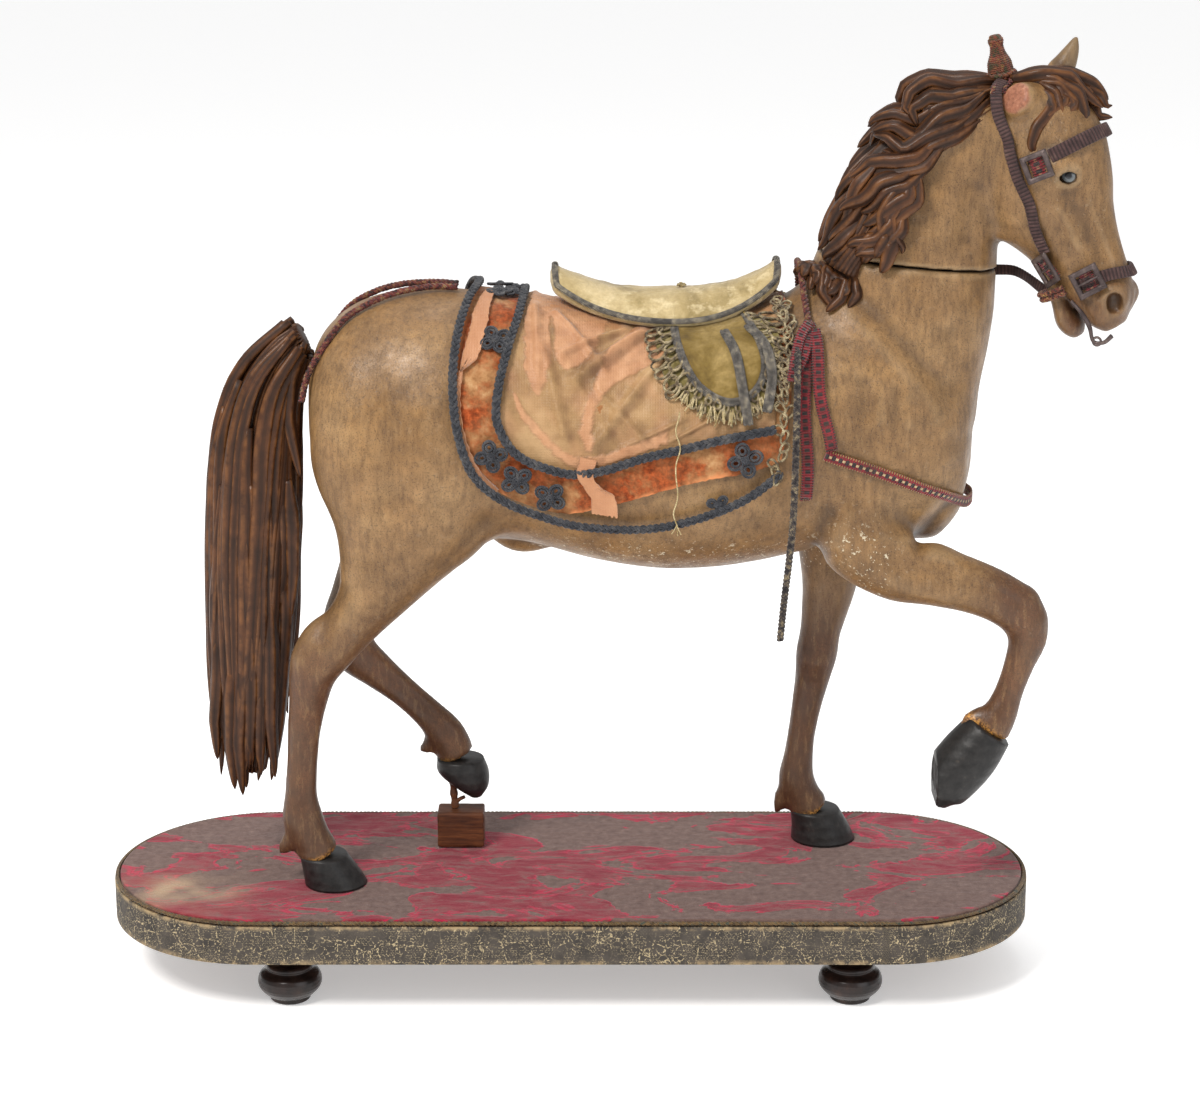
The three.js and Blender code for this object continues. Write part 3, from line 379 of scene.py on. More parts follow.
def rgb(red, green, blue):
    """A colour given as it looks, 0 to 255 a channel, as linear light."""
    out = []
    for v in (red, green, blue):
        v = v / 255
        out.append(v / 12.92 if v <= 0.04045 else ((v + 0.055) / 1.055) ** 2.4)
    return (*out, 1.0)


class Paint:
    """A procedural material: each call adds a node and returns its output."""

    def __init__(self, name, roughness=0.6, metallic=0.0, sheen=0.0, coat=0.0, specular=0.3):
        self.material = bpy.data.materials.new(name)
        self.material.use_nodes = True
        self.tree = self.material.node_tree
        self.shader = self.tree.nodes["Principled BSDF"]
        settings = {"Roughness": roughness, "Metallic": metallic, "Sheen Weight": sheen,
                    "Sheen Roughness": 0.4,
                    "Coat Weight": coat, "Coat Roughness": 0.3, "Specular IOR Level": specular}
        for key, value in settings.items():
            self.shader.inputs[key].default_value = value
        self.height = None
        self.where = self.node("ShaderNodeTexCoord").outputs["Object"]

    def node(self, kind, **settings):
        made = self.tree.nodes.new(kind)
        for key, value in settings.items():
            setattr(made, key, value)
        return made

    def put(self, socket, value):
        if isinstance(value, bpy.types.NodeSocket):
            self.tree.links.new(value, socket)
        else:
            socket.default_value = value

    def stretch(self, x, y, z):
        made = self.node("ShaderNodeMapping")
        self.put(made.inputs["Vector"], self.where)
        made.inputs["Scale"].default_value = (x, y, z)
        return made.outputs["Vector"]

    def noise(self, scale, detail=3.0, rough=0.55, warp=0.0, where=None):
        made = self.node("ShaderNodeTexNoise")
        self.put(made.inputs["Vector"], where or self.where)
        for key, value in (("Scale", scale), ("Detail", detail), ("Roughness", rough), ("Distortion", warp)):
            made.inputs[key].default_value = value
        return made.outputs["Fac"]

    def cells(self, scale, where=None, random=1.0):
        """How far a place is from the border between cells."""
        made = self.node("ShaderNodeTexVoronoi", feature="DISTANCE_TO_EDGE")
        self.put(made.inputs["Vector"], where or self.where)
        made.inputs["Scale"].default_value = scale
        made.inputs["Randomness"].default_value = random
        return made.outputs["Distance"]

    def wave(self, scale, warp=0.0, axis="X"):
        made = self.node("ShaderNodeTexWave", bands_direction=axis, wave_profile="SIN")
        self.put(made.inputs["Vector"], self.where)
        made.inputs["Scale"].default_value = scale
        made.inputs["Distortion"].default_value = warp
        made.inputs["Detail Scale"].default_value = 2.0
        return made.outputs["Fac"]

    def layer(self, name):
        return self.node("ShaderNodeAttribute", attribute_name=name).outputs["Fac"]

    def math(self, what, a, b=0.0, clamp=False):
        made = self.node("ShaderNodeMath", operation=what, use_clamp=clamp)
        self.put(made.inputs[0], a)
        self.put(made.inputs[1], b)
        return made.outputs[0]

    def times(self, a, b, clamp=False):
        return self.math("MULTIPLY", a, b, clamp)

    def most(self, a, b):
        return self.math("MAXIMUM", a, b)

    def rest(self, value):
        """What is left of 1."""
        return self.math("SUBTRACT", 1.0, value)

    def span(self, value, low, high, to_low=0.0, to_high=1.0):
        """The value's range from low to high, spread over another range and clamped."""
        made = self.node("ShaderNodeMapRange")
        self.put(made.inputs["Value"], value)
        for key, number in (("From Min", low), ("From Max", high), ("To Min", to_low), ("To Max", to_high)):
            made.inputs[key].default_value = number
        return made.outputs["Result"]

    def ramp(self, value, *stops):
        made = self.node("ShaderNodeValToRGB")
        self.put(made.inputs["Fac"], value)
        ramp = made.color_ramp
        while len(ramp.elements) < len(stops):
            ramp.elements.new(0.5)
        for element, (place, colour) in zip(ramp.elements, stops):
            element.position = place
            element.color = rgb(*colour)
        return made.outputs["Color"]

    def mix(self, share, a, b):
        made = self.node("ShaderNodeMix", data_type="RGBA")
        self.put(made.inputs[0], share)
        for place, colour in ((6, a), (7, b)):
            self.put(made.inputs[place], rgb(*colour) if isinstance(colour, tuple) else colour)
        return made.outputs[2]

    def colour(self, value):
        self.put(self.shader.inputs["Base Color"], value)
        return self

    def rough(self, value):
        self.put(self.shader.inputs["Roughness"], value)
        return self

    def bump(self, height, depth):
        """Adds a relief of some depth in millimetres."""
        made = self.node("ShaderNodeBump")
        made.inputs["Distance"].default_value = depth * MM
        made.inputs["Strength"].default_value = 1.0
        self.put(made.inputs["Height"], height)
        if self.height is not None:
            self.tree.links.new(self.height, made.inputs["Normal"])
        self.height = made.outputs["Normal"]
        self.put(self.shader.inputs["Normal"], self.height)
        return self


def coat_paint():
    """Olive tan paint with fine speckles and cracks, darker legs, worn white specks, an ochre coronet, and
    painted shade and highlight.
    """
    p = Paint("painted coat", roughness=0.42, coat=0.04, specular=0.35)
    broad = p.noise(22, 4, 0.6)
    cloudy = p.noise(90, 5, 0.65)
    base = p.ramp(broad, (0.25, (106, 77, 46)), (0.5, (138, 104, 65)), (0.75, (164, 130, 88)))
    base = p.mix(p.span(cloudy, 0.35, 0.75, 0.0, 0.55), base, (94, 70, 44))
    leg = p.layer("leg")
    brown = p.ramp(cloudy, (0.3, (58, 32, 20)), (0.6, (92, 57, 36)), (0.8, (116, 78, 50)))
    base = p.mix(leg, base, brown)
    # The 'dark' layer: painted shade on the body's far side, in the nostrils and in the eye sockets; also
    # dark lids, a darker back to the far ear and darker low legs
    base = p.mix(p.times(p.layer("dark"), 0.9), base, (48, 31, 21))
    brushed = p.noise(1.0, 5, 0.65, where=p.stretch(420, 420, 90))
    base = p.mix(p.span(brushed, 0.5, 0.7, 0.0, 0.5), base, (66, 45, 28))
    base = p.mix(p.span(brushed, 0.48, 0.3, 0.0, 0.3), base, (158, 126, 84))
    speckle = p.noise(1500, 2, 0.5)
    base = p.mix(p.span(speckle, 0.56, 0.68, 0.0, 0.6), base, (58, 42, 28))
    crack = p.cells(620, where=p.stretch(1.0, 1.0, 0.45))
    fine = p.cells(1500)
    lines = p.most(p.span(crack, 0.05, 0.0, 0.0, 1.0), p.span(fine, 0.07, 0.0, 0.0, 0.5))
    lines = p.times(lines, p.span(cloudy, 0.35, 0.6, 0.1, 0.7))
    base = p.mix(p.times(lines, 0.6), base, (52, 36, 24))
    flakes = p.most(p.span(p.noise(260, 4, 0.7), 0.62, 0.65), p.span(p.noise(620, 3, 0.6), 0.63, 0.67))
    worn = p.times(p.layer("worn"), flakes, clamp=True)
    base = p.mix(worn, base, (205, 192, 165))
    # Painted shade: darker in the hollows of the carving
    hollow_shade = p.span(p.layer("cavity"), 0.0, 1.0, 0.0, 0.6)
    base = p.mix(hollow_shade, base, (52, 36, 24))
    # Paler on the ridges, away from the legs: rubbed paint and a painted highlight
    edge = p.times(p.span(p.layer("cavity"), -0.25, -1.1, 0.0, 0.3), p.rest(leg))
    base = p.mix(edge, base, (182, 154, 114))
    coronet = p.times(p.layer("coronet"), p.span(p.noise(900, 2, 0.6), 0.42, 0.58), clamp=True)
    base = p.mix(coronet, base, (196, 140, 70))
    wood = p.ramp(p.noise(420, 5, 0.75), (0.3, (104, 60, 42)), (0.55, (150, 98, 74)), (0.8, (186, 140, 112)))
    base = p.mix(p.layer("bare"), base, wood)
    base = p.mix(p.layer("seam"), base, (30, 20, 14))
    p.colour(base)
    p.rough(p.span(cloudy, 0.3, 0.7, 0.3, 0.5))
    p.bump(p.math("SUBTRACT", p.noise(700, 4, 0.6), p.times(lines, 0.8)), 0.10)
    p.bump(worn, -0.12)
    p.bump(p.noise(60, 3, 0.5), 0.5)
    return p.material


def hoof_paint():
    """Black paint with faint growth rings."""
    p = Paint("painted hooves", roughness=0.42)
    rings = p.wave(60, 2.0, axis="Z")
    tone = p.ramp(p.noise(240, 4, 0.6), (0.3, (20, 19, 19)), (0.65, (40, 38, 37)), (0.85, (72, 66, 58)))
    p.colour(tone).bump(rings, 0.12).bump(p.noise(500, 3, 0.6), 0.12)
    return p.material


def hair_paint():
    """Dark brown carved hair, with gold-brown paint worn through on the ridges and painted shade in the
    grooves.
    """
    p = Paint("painted hair", roughness=0.36, specular=0.26)
    cloudy = p.noise(70, 4, 0.6)
    base = p.ramp(cloudy, (0.3, (40, 22, 11)), (0.55, (64, 37, 20)), (0.8, (90, 54, 29)))
    ridge = p.layer("ridge")
    rub = p.times(p.span(ridge, 0.45, 1.0), p.span(p.noise(160, 3, 0.6), 0.35, 0.65), clamp=True)
    base = p.mix(p.times(rub, 0.5), base, (136, 88, 46))
    # Painted shade: darker in the grooves between the ridges
    base = p.mix(p.span(ridge, 0.35, 0.0, 0.0, 0.75), base, (26, 17, 12))
    p.colour(base)
    p.rough(p.span(ridge, 0.0, 1.0, 0.6, 0.34))
    p.bump(p.noise(600, 3, 0.6), 0.10)
    return p.material


def wood_paint(name, dark, mid, light):
    """Wood with its grain along X."""
    p = Paint(name, roughness=0.55)
    grain = p.noise(1.0, 5, 0.6, 0.4, where=p.stretch(60, 700, 700))
    p.colour(p.mix(p.span(p.noise(60, 3), 0.4, 0.7, 0.0, 0.5),
                   p.ramp(grain, (0.3, dark), (0.5, mid), (0.75, light)), dark))
    p.bump(grain, 0.12)
    return p.material


def velvet_cover_paint():
    """Crimson velvet rubbed down to a grey-brown ground, paler at the left end."""
    p = Paint("crimson velvet", roughness=0.95, sheen=0.25, specular=0.2)
    patch = p.noise(1.0, 7, 0.6, 1.2, where=p.stretch(15, 32, 15))
    streak = p.noise(1.0, 6, 0.72, 0.6, where=p.stretch(60, 170, 60))
    torn = p.span(patch, 0.492, 0.508)
    thin = p.span(streak, 0.42, 0.62, 0.0, 0.85)
    wear = p.most(torn, p.times(thin, p.span(patch, 0.34, 0.46, 0.35, 0.9)))
    red = p.ramp(streak, (0.25, (112, 20, 38)), (0.5, (150, 38, 58)), (0.8, (182, 84, 96)))
    ground = p.ramp(p.noise(240, 5, 0.7), (0.3, (92, 72, 66)), (0.6, (124, 102, 94)), (0.8, (150, 128, 116)))
    base = p.mix(wear, red, ground)
    rim = p.times(p.span(patch, 0.468, 0.49), p.span(patch, 0.5, 0.492), clamp=True)
    base = p.mix(rim, base, (196, 42, 76))
    base = p.mix(p.layer("beige"), base, (186, 158, 128))
    weave = p.noise(2600, 2, 0.6)
    base = p.mix(p.span(weave, 0.35, 0.7, 0.35, 0.0), base, (60, 20, 28))
    p.colour(base)
    p.bump(weave, 0.15).bump(streak, 0.35).bump(p.rest(wear), 0.3)
    return p.material


def paper_band_paint():
    """Grey paper printed with cream hatching: rows of small angular figures in fine lines."""
    p = Paint("patterned paper", roughness=0.75)
    ground = p.ramp(p.noise(120, 5, 0.65), (0.3, (48, 44, 41)), (0.7, (78, 71, 64)))
    where = p.node("ShaderNodeCombineXYZ")
    p.put(where.inputs[0], p.layer("along"))
    p.put(where.inputs[1], p.layer("up"))
    plane = where.outputs[0]
    big = p.cells(0.1, where=plane, random=0.6)
    small = p.cells(0.3, where=plane, random=0.95)
    squares = p.node("ShaderNodeTexBrick")
    p.put(squares.inputs["Vector"], plane)
    for key, value in (("Scale", 0.62), ("Mortar Size", 0.045), ("Brick Width", 0.85), ("Row Height", 0.55)):
        squares.inputs[key].default_value = value
    ring = p.math("LESS_THAN", big, 0.022)
    net = p.math("LESS_THAN", small, 0.04)
    inside = p.span(p.noise(0.12, 2, 0.5, where=plane), 0.5, 0.52)
    pattern = p.most(ring, p.times(net, inside))
    hatch = p.times(squares.outputs["Fac"], p.rest(inside))
    pattern = p.most(pattern, hatch)
    pattern = p.times(pattern, p.span(p.noise(0.9, 3, 0.75, where=plane), 0.5, 0.54), clamp=True)
    plain = p.span(p.noise(0.08, 2, 0.5, where=plane), 0.56, 0.6)
    pattern = p.times(pattern, p.rest(p.times(plain, 0.85)))
    base = p.mix(pattern, ground, (188, 170, 134))
    rub = p.times(p.layer("edge"), p.span(p.noise(140, 4, 0.7), 0.45, 0.6), clamp=True)
    base = p.mix(rub, base, (160, 138, 104))
    p.colour(base)
    p.bump(pattern, 0.12).bump(p.noise(300, 3, 0.6), 0.15)
    return p.material


def thread_paint(name, first, second, third=None, scale=420):
    """Twisted or plaited thread of two or three colours, with painted shade in the grooves of its twist."""
    p = Paint(name, roughness=0.7, sheen=0.15)
    tone = p.noise(scale, 3, 0.6)
    stops = [(0.38, first), (0.52, second)]
    if third:
        stops.append((0.66, third))
    base = p.ramp(tone, *stops)
    base = p.mix(p.span(p.noise(70, 3), 0.4, 0.7, 0.0, 0.45), base, first)
    # Painted shade: darker in the grooves of the twist
    twist = p.wave(520, 1.0, axis="DIAGONAL")
    p.colour(p.mix(p.span(twist, 0.5, 0.0, 0.0, 0.45), base, (20, 15, 12)))
    p.bump(twist, 0.25).bump(p.noise(1800, 2, 0.6), 0.12)
    return p.material


# Plinth

BAND_THICK = 1.6
BAND_LOW, BAND_HIGH, BAND_ROUND = 28.0, 47.2, 0.3
COVER_RINGS = 20
CORD_RIM = 2.4
FOOT_X, FOOT_Y = 0.3 * PLINTH_LONG, PLINTH_WIDE / 3
END_RADIUS = PLINTH_WIDE / 2
END_X = (PLINTH_LONG - PLINTH_WIDE) / 2


def stadium(out, arc=72, straight=96):
    """The plinth's outline grown by `out`, as x and y, with the way round it in millimetres."""
    a = np.linspace(-math.pi / 2, math.pi / 2, arc, endpoint=False)
    s = np.linspace(0, 1, straight, endpoint=False)
    r = max(END_RADIUS + out, 0.002)
    right = np.column_stack([END_X + r * np.cos(a), r * np.sin(a)])
    back = np.column_stack([END_X - 2 * END_X * s, np.full(straight, r)])
    left = np.column_stack([-END_X - r * np.cos(a), -r * np.sin(a)])
    front = np.column_stack([-END_X + 2 * END_X * s, np.full(straight, -r)])
    ring = np.concatenate([right, back, left, front])
    full = END_RADIUS
    ways = np.concatenate([full * (a + math.pi / 2), full * math.pi + 2 * END_X * s,
                           full * math.pi + 2 * END_X + full * (a + math.pi / 2),
                           2 * full * math.pi + 2 * END_X + 2 * END_X * s])
    return ring, ways


def ripple(x, y, seed, size):
    """Smooth noise made of a few random waves, between about -1 and 1."""
    rng = np.random.default_rng(seed)
    out = np.zeros(np.broadcast(x, y).shape)
    for n in range(3):
        for _ in range(5):
            turn = rng.uniform(0, 2 * math.pi)
            k = 2 * math.pi / (size / 2 ** n) * rng.uniform(0.6, 1.4)
            out += np.sin(k * (x * math.cos(turn) + y * math.sin(turn)) + rng.uniform(0, 6.3)) / 2 ** n
    return out / 6


def sheet_faces(rows, columns, closed=False):
    i, j = np.meshgrid(np.arange(rows - 1), np.arange(columns if closed else columns - 1), indexing="ij")
    k = (j + 1) % columns
    return np.column_stack([(i * columns + j).ravel(), (i * columns + k).ravel(),
                            ((i + 1) * columns + k).ravel(), ((i + 1) * columns + j).ravel()])


def plinth_cover():
    """The velvet: rings of the plinth's outline, from a turned edge in to the middle, with low bumps."""
    rim = -CORD_RIM - 0.35
    offsets = np.concatenate([[rim, rim, rim - 0.25, rim - 0.8],
                              np.linspace(rim - 2, -END_RADIUS, COVER_RINGS)])
    heights = np.concatenate([[47.7, 49.3, 49.8, PLINTH_TOP], np.full(COVER_RINGS, PLINTH_TOP)])
    rings = []
    for out, high in zip(offsets, heights):
        ring, _ = stadium(out)
        inward = min(1.0, max(0.0, (rim - out - 0.8) / 6))
        lift = inward * (0.28 * ripple(ring[:, 0], ring[:, 1], 5, 46) - 0.2)
        rings.append(np.column_stack([ring, high + lift]))
    rings = np.array(rings)
    count, sides = rings.shape[:2]
    obj = make_object("plinth_cover_cloth", rings.reshape(-1, 3), sheet_faces(count, sides, True),
                      velvet_cover_paint())
    x, y = rings[..., 0].ravel(), rings[..., 1].ravel()
    spot = np.exp(-((x + 192) / 26) ** 2 - ((y + 38) / 20) ** 2) * (0.5 + 0.8 * ripple(x, y, 8, 30))
    attribute(obj, "beige", np.clip(spot * 1.3, 0, 1))
    return finish_piece(obj, "crimson_velvet", "plinth_cover")


def plinth_band():
    """The paper round the plinth's side, with places along and up for its print."""
    levels = [(BAND_LOW, -BAND_THICK), (BAND_LOW, -BAND_ROUND), (BAND_LOW + BAND_ROUND, 0.0), (31, 0.0),
              (38, 0.0),
              (45, 0.0), (BAND_HIGH - BAND_ROUND, 0.0), (BAND_HIGH, -BAND_ROUND), (BAND_HIGH, -BAND_THICK),
              (BAND_LOW, -BAND_THICK)]
    rings, along, up, edge = [], [], [], []
    for high, out in levels:
        ring, ways = stadium(out)
        swell = 0.12 * ripple(ways, np.full_like(ways, high * 3), 21, 60) if out == 0 else 0.0
        centre = np.column_stack([np.clip(ring[:, 0], -END_X, END_X), np.zeros(len(ring))])
        ring = ring + unit(ring - centre) * np.reshape(swell, (-1, 1)) * 0.5
        rings.append(np.column_stack([ring, np.full(len(ring), high)]))
        along.append(ways)
        up.append(np.full(len(ring), high))
        edge.append(np.full(len(ring), 1.0 if high < 28.5 or high > 46 else 0.0))
    rings = np.array(rings)
    obj = make_object("plinth_paper_band", rings.reshape(-1, 3),
                      sheet_faces(len(levels), rings.shape[1], True),
                      paper_band_paint())
    attribute(obj, "along", np.array(along))
    attribute(obj, "up", np.array(up))
    attribute(obj, "edge", np.array(edge))
    return finish_piece(obj, "grey_paper", "plinth_band")


def frames_along(path, closed=False):
    """Directions along a path, and two more square to it that turn no more than they must."""
    path = np.asarray(path, float)
    if closed:
        along = unit(np.roll(path, -1, 0) - np.roll(path, 1, 0))
    else:
        along = headings(path)
    across = np.zeros_like(path)
    start = np.cross(along[0], (0.0, 0.0, 1.0))
    if np.linalg.norm(start) < 0.2:
        start = np.cross(along[0], (0.0, 1.0, 0.0))
    current = unit(start)
    for n, t in enumerate(along):
        current = unit(current - t * (current @ t))
        across[n] = current
    return along, across, np.cross(along, across)


def tube_rings(path, radius, sides=8, closed=False):
    _, across, out = frames_along(path, closed)
    a = round_angles(sides)
    radius = np.broadcast_to(np.asarray(radius, float), (len(path),))[:, None, None]
    return (np.asarray(path)[:, None, :] + radius * (across[:, None, :] * np.cos(a)[None, :, None]
                                                     + out[:, None, :] * np.sin(a)[None, :, None]))


def ring_mesh(rings):
    """Points and faces of a body that goes round in a ring, from its sections."""
    count, sides = rings.shape[:2]
    i, j = np.meshgrid(np.arange(count), np.arange(sides), indexing="ij")
    k, m = (j + 1) % sides, (i + 1) % count
    quads = np.column_stack([(i * sides + j).ravel(), (i * sides + k).ravel(),
                             (m * sides + k).ravel(), (m * sides + j).ravel()])
    return rings.reshape(-1, 3), quads, np.zeros((0, 3), int)


def open_tube(path, radius, sides=8):
    return tube_mesh(tube_rings(path, radius, sides))


def closed_tube(path, radius, sides=8):
    return ring_mesh(tube_rings(path, radius, sides, True))


def strands(path, radius, count, pitch, thread, sides=6, closed=False):
    """Threads that wind round a path; a pitch is one whole turn."""
    path = np.asarray(path, float)
    steps = np.linalg.norm(np.diff(path, axis=0, append=path[:1] if closed else path[-1:]), axis=1)
    way = np.concatenate([[0], np.cumsum(steps)[:-1]])
    turns = way / pitch
    if closed:
        turns = way / steps.sum() * round(steps.sum() / pitch)
    _, across, out = frames_along(path, closed)
    made = []
    for n in range(count):
        a = 2 * math.pi * (turns + n / count)
        line = path + radius * (np.cos(a)[:, None] * across + np.sin(a)[:, None] * out)
        made.append((closed_tube if closed else open_tube)(line, thread, sides))
    return made


def plinth_cord():
    ring, _ = stadium(-1.25, 110, 260)
    path = np.column_stack([ring, np.full(len(ring), 48.75)])
    points, quads, tris, _ = gather(strands(path, 0.52, 2, 4.2, 0.68, 5, True))
    made = thread_paint("plinth cord thread", (74, 56, 34), (128, 100, 62), (60, 70, 60))
    return finish_piece(make_object("plinth_edge_cord", points, [quads, tris], made), "thread", "plinth_cord")


LATHE_SIDES, LATHE_ROWS = 44, 40


def lathe(profile, centre):
    """Turns a smooth profile of radius and height round an upright axis."""
    rows = row_at(np.column_stack([np.arange(len(profile)), profile]),
                  np.linspace(0, len(profile) - 1, LATHE_ROWS))
    a = round_angles(LATHE_SIDES)
    r, z = np.maximum(rows[:, 1], 0.01), rows[:, 2]
    rings = np.stack([centre[0] + r[:, None] * np.cos(a), centre[1] + r[:, None] * np.sin(a),
                      np.broadcast_to(centre[2] + z[:, None], (len(r), LATHE_SIDES))], -1)
    return tube_mesh(rings)


def plinth_feet():
    paint = Paint("black brown gloss", roughness=0.24, coat=0.15)
    tone = paint.ramp(paint.noise(120, 4, 0.6), (0.35, (22, 16, 15)), (0.6, (44, 31, 27)),
                      (0.8, (74, 50, 38)))
    paint.colour(tone).bump(paint.wave(170, 0.4, axis="Z"), 0.06).bump(paint.noise(300, 3), 0.1)
    profile = [(8.8, 0.0), (9.8, 0.8), (9.6, 2.4), (11.6, 3.4), (14.8, 7.0), (15.5, 10.2), (14.4, 13.8),
               (11.2, 16.0),
               (11.3, 17.4), (10.6, 18.8), (8.0, 19.6), (7.0, 21.0), (6.8, 24.0), (7.4, 27.6)]
    for side_x, name_x in ((-1, "rear"), (1, "fore")):
        for side_y, name_y in ((-1, "near"), (1, "far")):
            points, quads, tris = lathe(profile, (side_x * FOOT_X, side_y * FOOT_Y, 0))
            obj = make_object(f"bun_foot_{name_x}_{name_y}", points, [quads, tris], paint.material)
            finish_piece(obj, "black_gloss", f"foot_{name_x}_{name_y}")


plinth_cover()
plinth_band()
plinth_cord()
plinth_feet()
NODES["plinth_board"].data.materials.clear()
NODES["plinth_board"].data.materials.append(
    wood_paint("board wood", (52, 34, 24), (82, 56, 38), (112, 80, 54)))


# Horse: body

# Voxels of the carved pieces, and how far their distances are kept
BODY_VOXEL, BODY_BAND = 2.0, 12.0
HEAD_VOXEL, HEAD_BAND = 1.15, 8.1
HOOF_VOXEL, HOOF_BAND = 1.1, 4.4
COAT = coat_paint()
HOOF = hoof_paint()
HAIR = hair_paint()
HOOF_SOLE = PLINTH_TOP + 0.35
SEAM_HIGH, SEAM_SLOPE, SEAM_X, SEAM_END, SEAM_GAP = 354.0, 0.1, 165.0, 205.5, 0.7
TAIL_JOINT_X = -126.0

# About how many millimetres of the trunk's or the skull's skin one radian spans
ROUND, SKULL_ROUND = 50, 20
# Key x, top, low, half width
TRUNK_ROWS = [
    (-123.5, 302, 262, 15), (-119, 315, 250, 32), (-108, 328, 240, 44), (-92, 336, 233, 50.5),
    (-70, 339.5, 227, 54), (-45, 338.5, 222, 54), (-18, 334, 218, 53), (12, 328, 210, 54.5),
    (42, 325, 205.5, 56),
    (68, 325.5, 206, 56), (90, 331, 209, 54.5), (112, 341, 213.5, 51.5), (132, 344, 216, 49),
    (152, 342, 217, 46.5), (168, 334, 218.5, 42), (180, 320, 224, 35), (188, 303, 235, 26),
    (191.5, 287, 252, 13),
]
trunk = Skin([(x, x, MIDLINE, (top + low) / 2, (top - low) / 2, half) for x, top, low, half in TRUNK_ROWS],
             power=2.15, egg=0.1, facing=(1, 0, 0))
# Neck and legs: centre x, y, z, half depth, half width
NECK_ROWS = [
    (150, MIDLINE, 285, 42, 42), (153, MIDLINE, 312, 45, 38), (157.5, MIDLINE, 340, 44.5, 33.5),
    (162, MIDLINE, 358, 41, 30), (168, 2, 378, 35.5, 26.5), (176, 1, 398, 30, 23.5), (187, -1, 417, 22, 20.5),
    (196, -2, 424, 14, 17),
]
neck = Skin(keyed(NECK_ROWS), power=2.1)
neck_base = Skin(keyed(NECK_ROWS[:5]), power=2.1)
LEGS = {
    "near_hind": [
        (-70, -20, 286, 46, 25), (-73.5, -24, 258, 47.5, 28), (-78, -27, 236, 41, 25),
        (-85, -28, 217, 27.5, 20),
        (-93.5, -28, 200, 18.5, 16), (-105, -28, 184, 14, 12.5), (-117.5, -28, 170, 14, 11.5),
        (-123.5, -27, 158, 11.5, 10.5), (-126, -26, 145, 9.5, 8.6), (-128.5, -25.5, 130, 8, 7.2),
        (-130, -25, 112, 7.3, 6.6), (-131, -25, 97, 7.9, 7), (-130.5, -25, 84, 10, 8.6),
        (-127, -25, 74, 9.6, 9),
        (-121.5, -25, 64, 9.6, 10.6),
    ],
    "far_hind": [
        (-72, 26, 284, 46, 25), (-78, 30, 250, 40, 25), (-89, 32, 220, 23.5, 18), (-98, 31, 199, 16.5, 14),
        (-106, 30, 181, 13.5, 12), (-112, 29, 166, 12, 11), (-108.5, 28, 153, 11.5, 10.5),
        (-98, 28, 143, 9.5, 8.5),
        (-84, 28, 131, 7.8, 7), (-72, 28, 119.5, 8, 7), (-63, 28, 109, 9.4, 8.2), (-57, 28, 97, 9, 9),
    ],
    "far_fore": [
        (128, 27, 246, 24, 20), (130, 32, 220, 20, 17), (129.5, 35, 200, 16, 13.5),
        (129, 36, 185, 13.7, 11.8),
        (126.7, 36, 170, 11.5, 10.2), (125, 36, 160, 10.2, 9.4), (123.5, 36, 149, 10.5, 9.6),
        (121.7, 36, 137, 9, 8.4),
        (119, 36, 122, 7.7, 7), (116.6, 36, 106, 7.1, 6.5), (115.2, 36, 93, 7.7, 7.3),
        (114.5, 36, 82, 9.2, 8.4),
        (118, 36, 72.5, 9.2, 9), (123.5, 36, 65, 9.6, 10.6),
    ],
    "near_fore": [
        (128, -24, 252, 25, 20), (137, -30, 228, 21, 18), (154, -34, 214, 16.8, 14.5),
        (172, -35, 209.5, 14.6, 12.8),
        (190, -36, 204.5, 13, 11.6), (204, -36, 198.5, 12.2, 11), (214, -36, 191, 11.6, 10.6),
        (217.5, -36, 180, 9.8, 9.5), (214, -36, 166, 7.5, 7.4), (209.7, -36, 152, 7, 6.8),
        (206, -36, 141, 8.4, 7.8),
        (201, -36, 132, 10, 9),
    ],
}
# Hooves: coronet to sole, centre x, y, z, half depth, half width
HOOVES = {
    "near_hind": [(-121, -25, 65, 11.5, 12), (-117.5, -25, 57, 13.6, 13.6), (-115, -25, HOOF_SOLE, 15.2, 15)],
    "far_fore": [(124, 36, 66, 12.4, 12.4), (127, 36, 57.5, 14.5, 14), (128.5, 36, HOOF_SOLE, 16.2, 15.4)],
    "far_hind": [(-56, 28, 96, 11.8, 11.8), (-54.5, 28, 89, 12.8, 12.6), (-50.5, 28, 81.5, 8.5, 11),
                 (-48.5, 28, 76.5, 3.5, 6)],
}
RAISED_HOOF = [(201, -36, 133, 12, 12), (193, -36, 121.5, 14, 14), (186, -36, 112.5, 14, 14.5),
               (178, -36, 104, 13, 13.5), (174.5, -36, 98, 8, 10)]
RAISED_SOLE_X = 175.5
# The tufts of hair behind the fetlocks: from, to, width
TUFTS = [((-134, -25, 76), (-143, -25, 64), 10), ((-66, 28, 108), (-77, 28, 98), 10),
         ((108, 36, 76), (104, 36, 62), 9), ((198, -36, 142), (186, -36, 132), 10)]

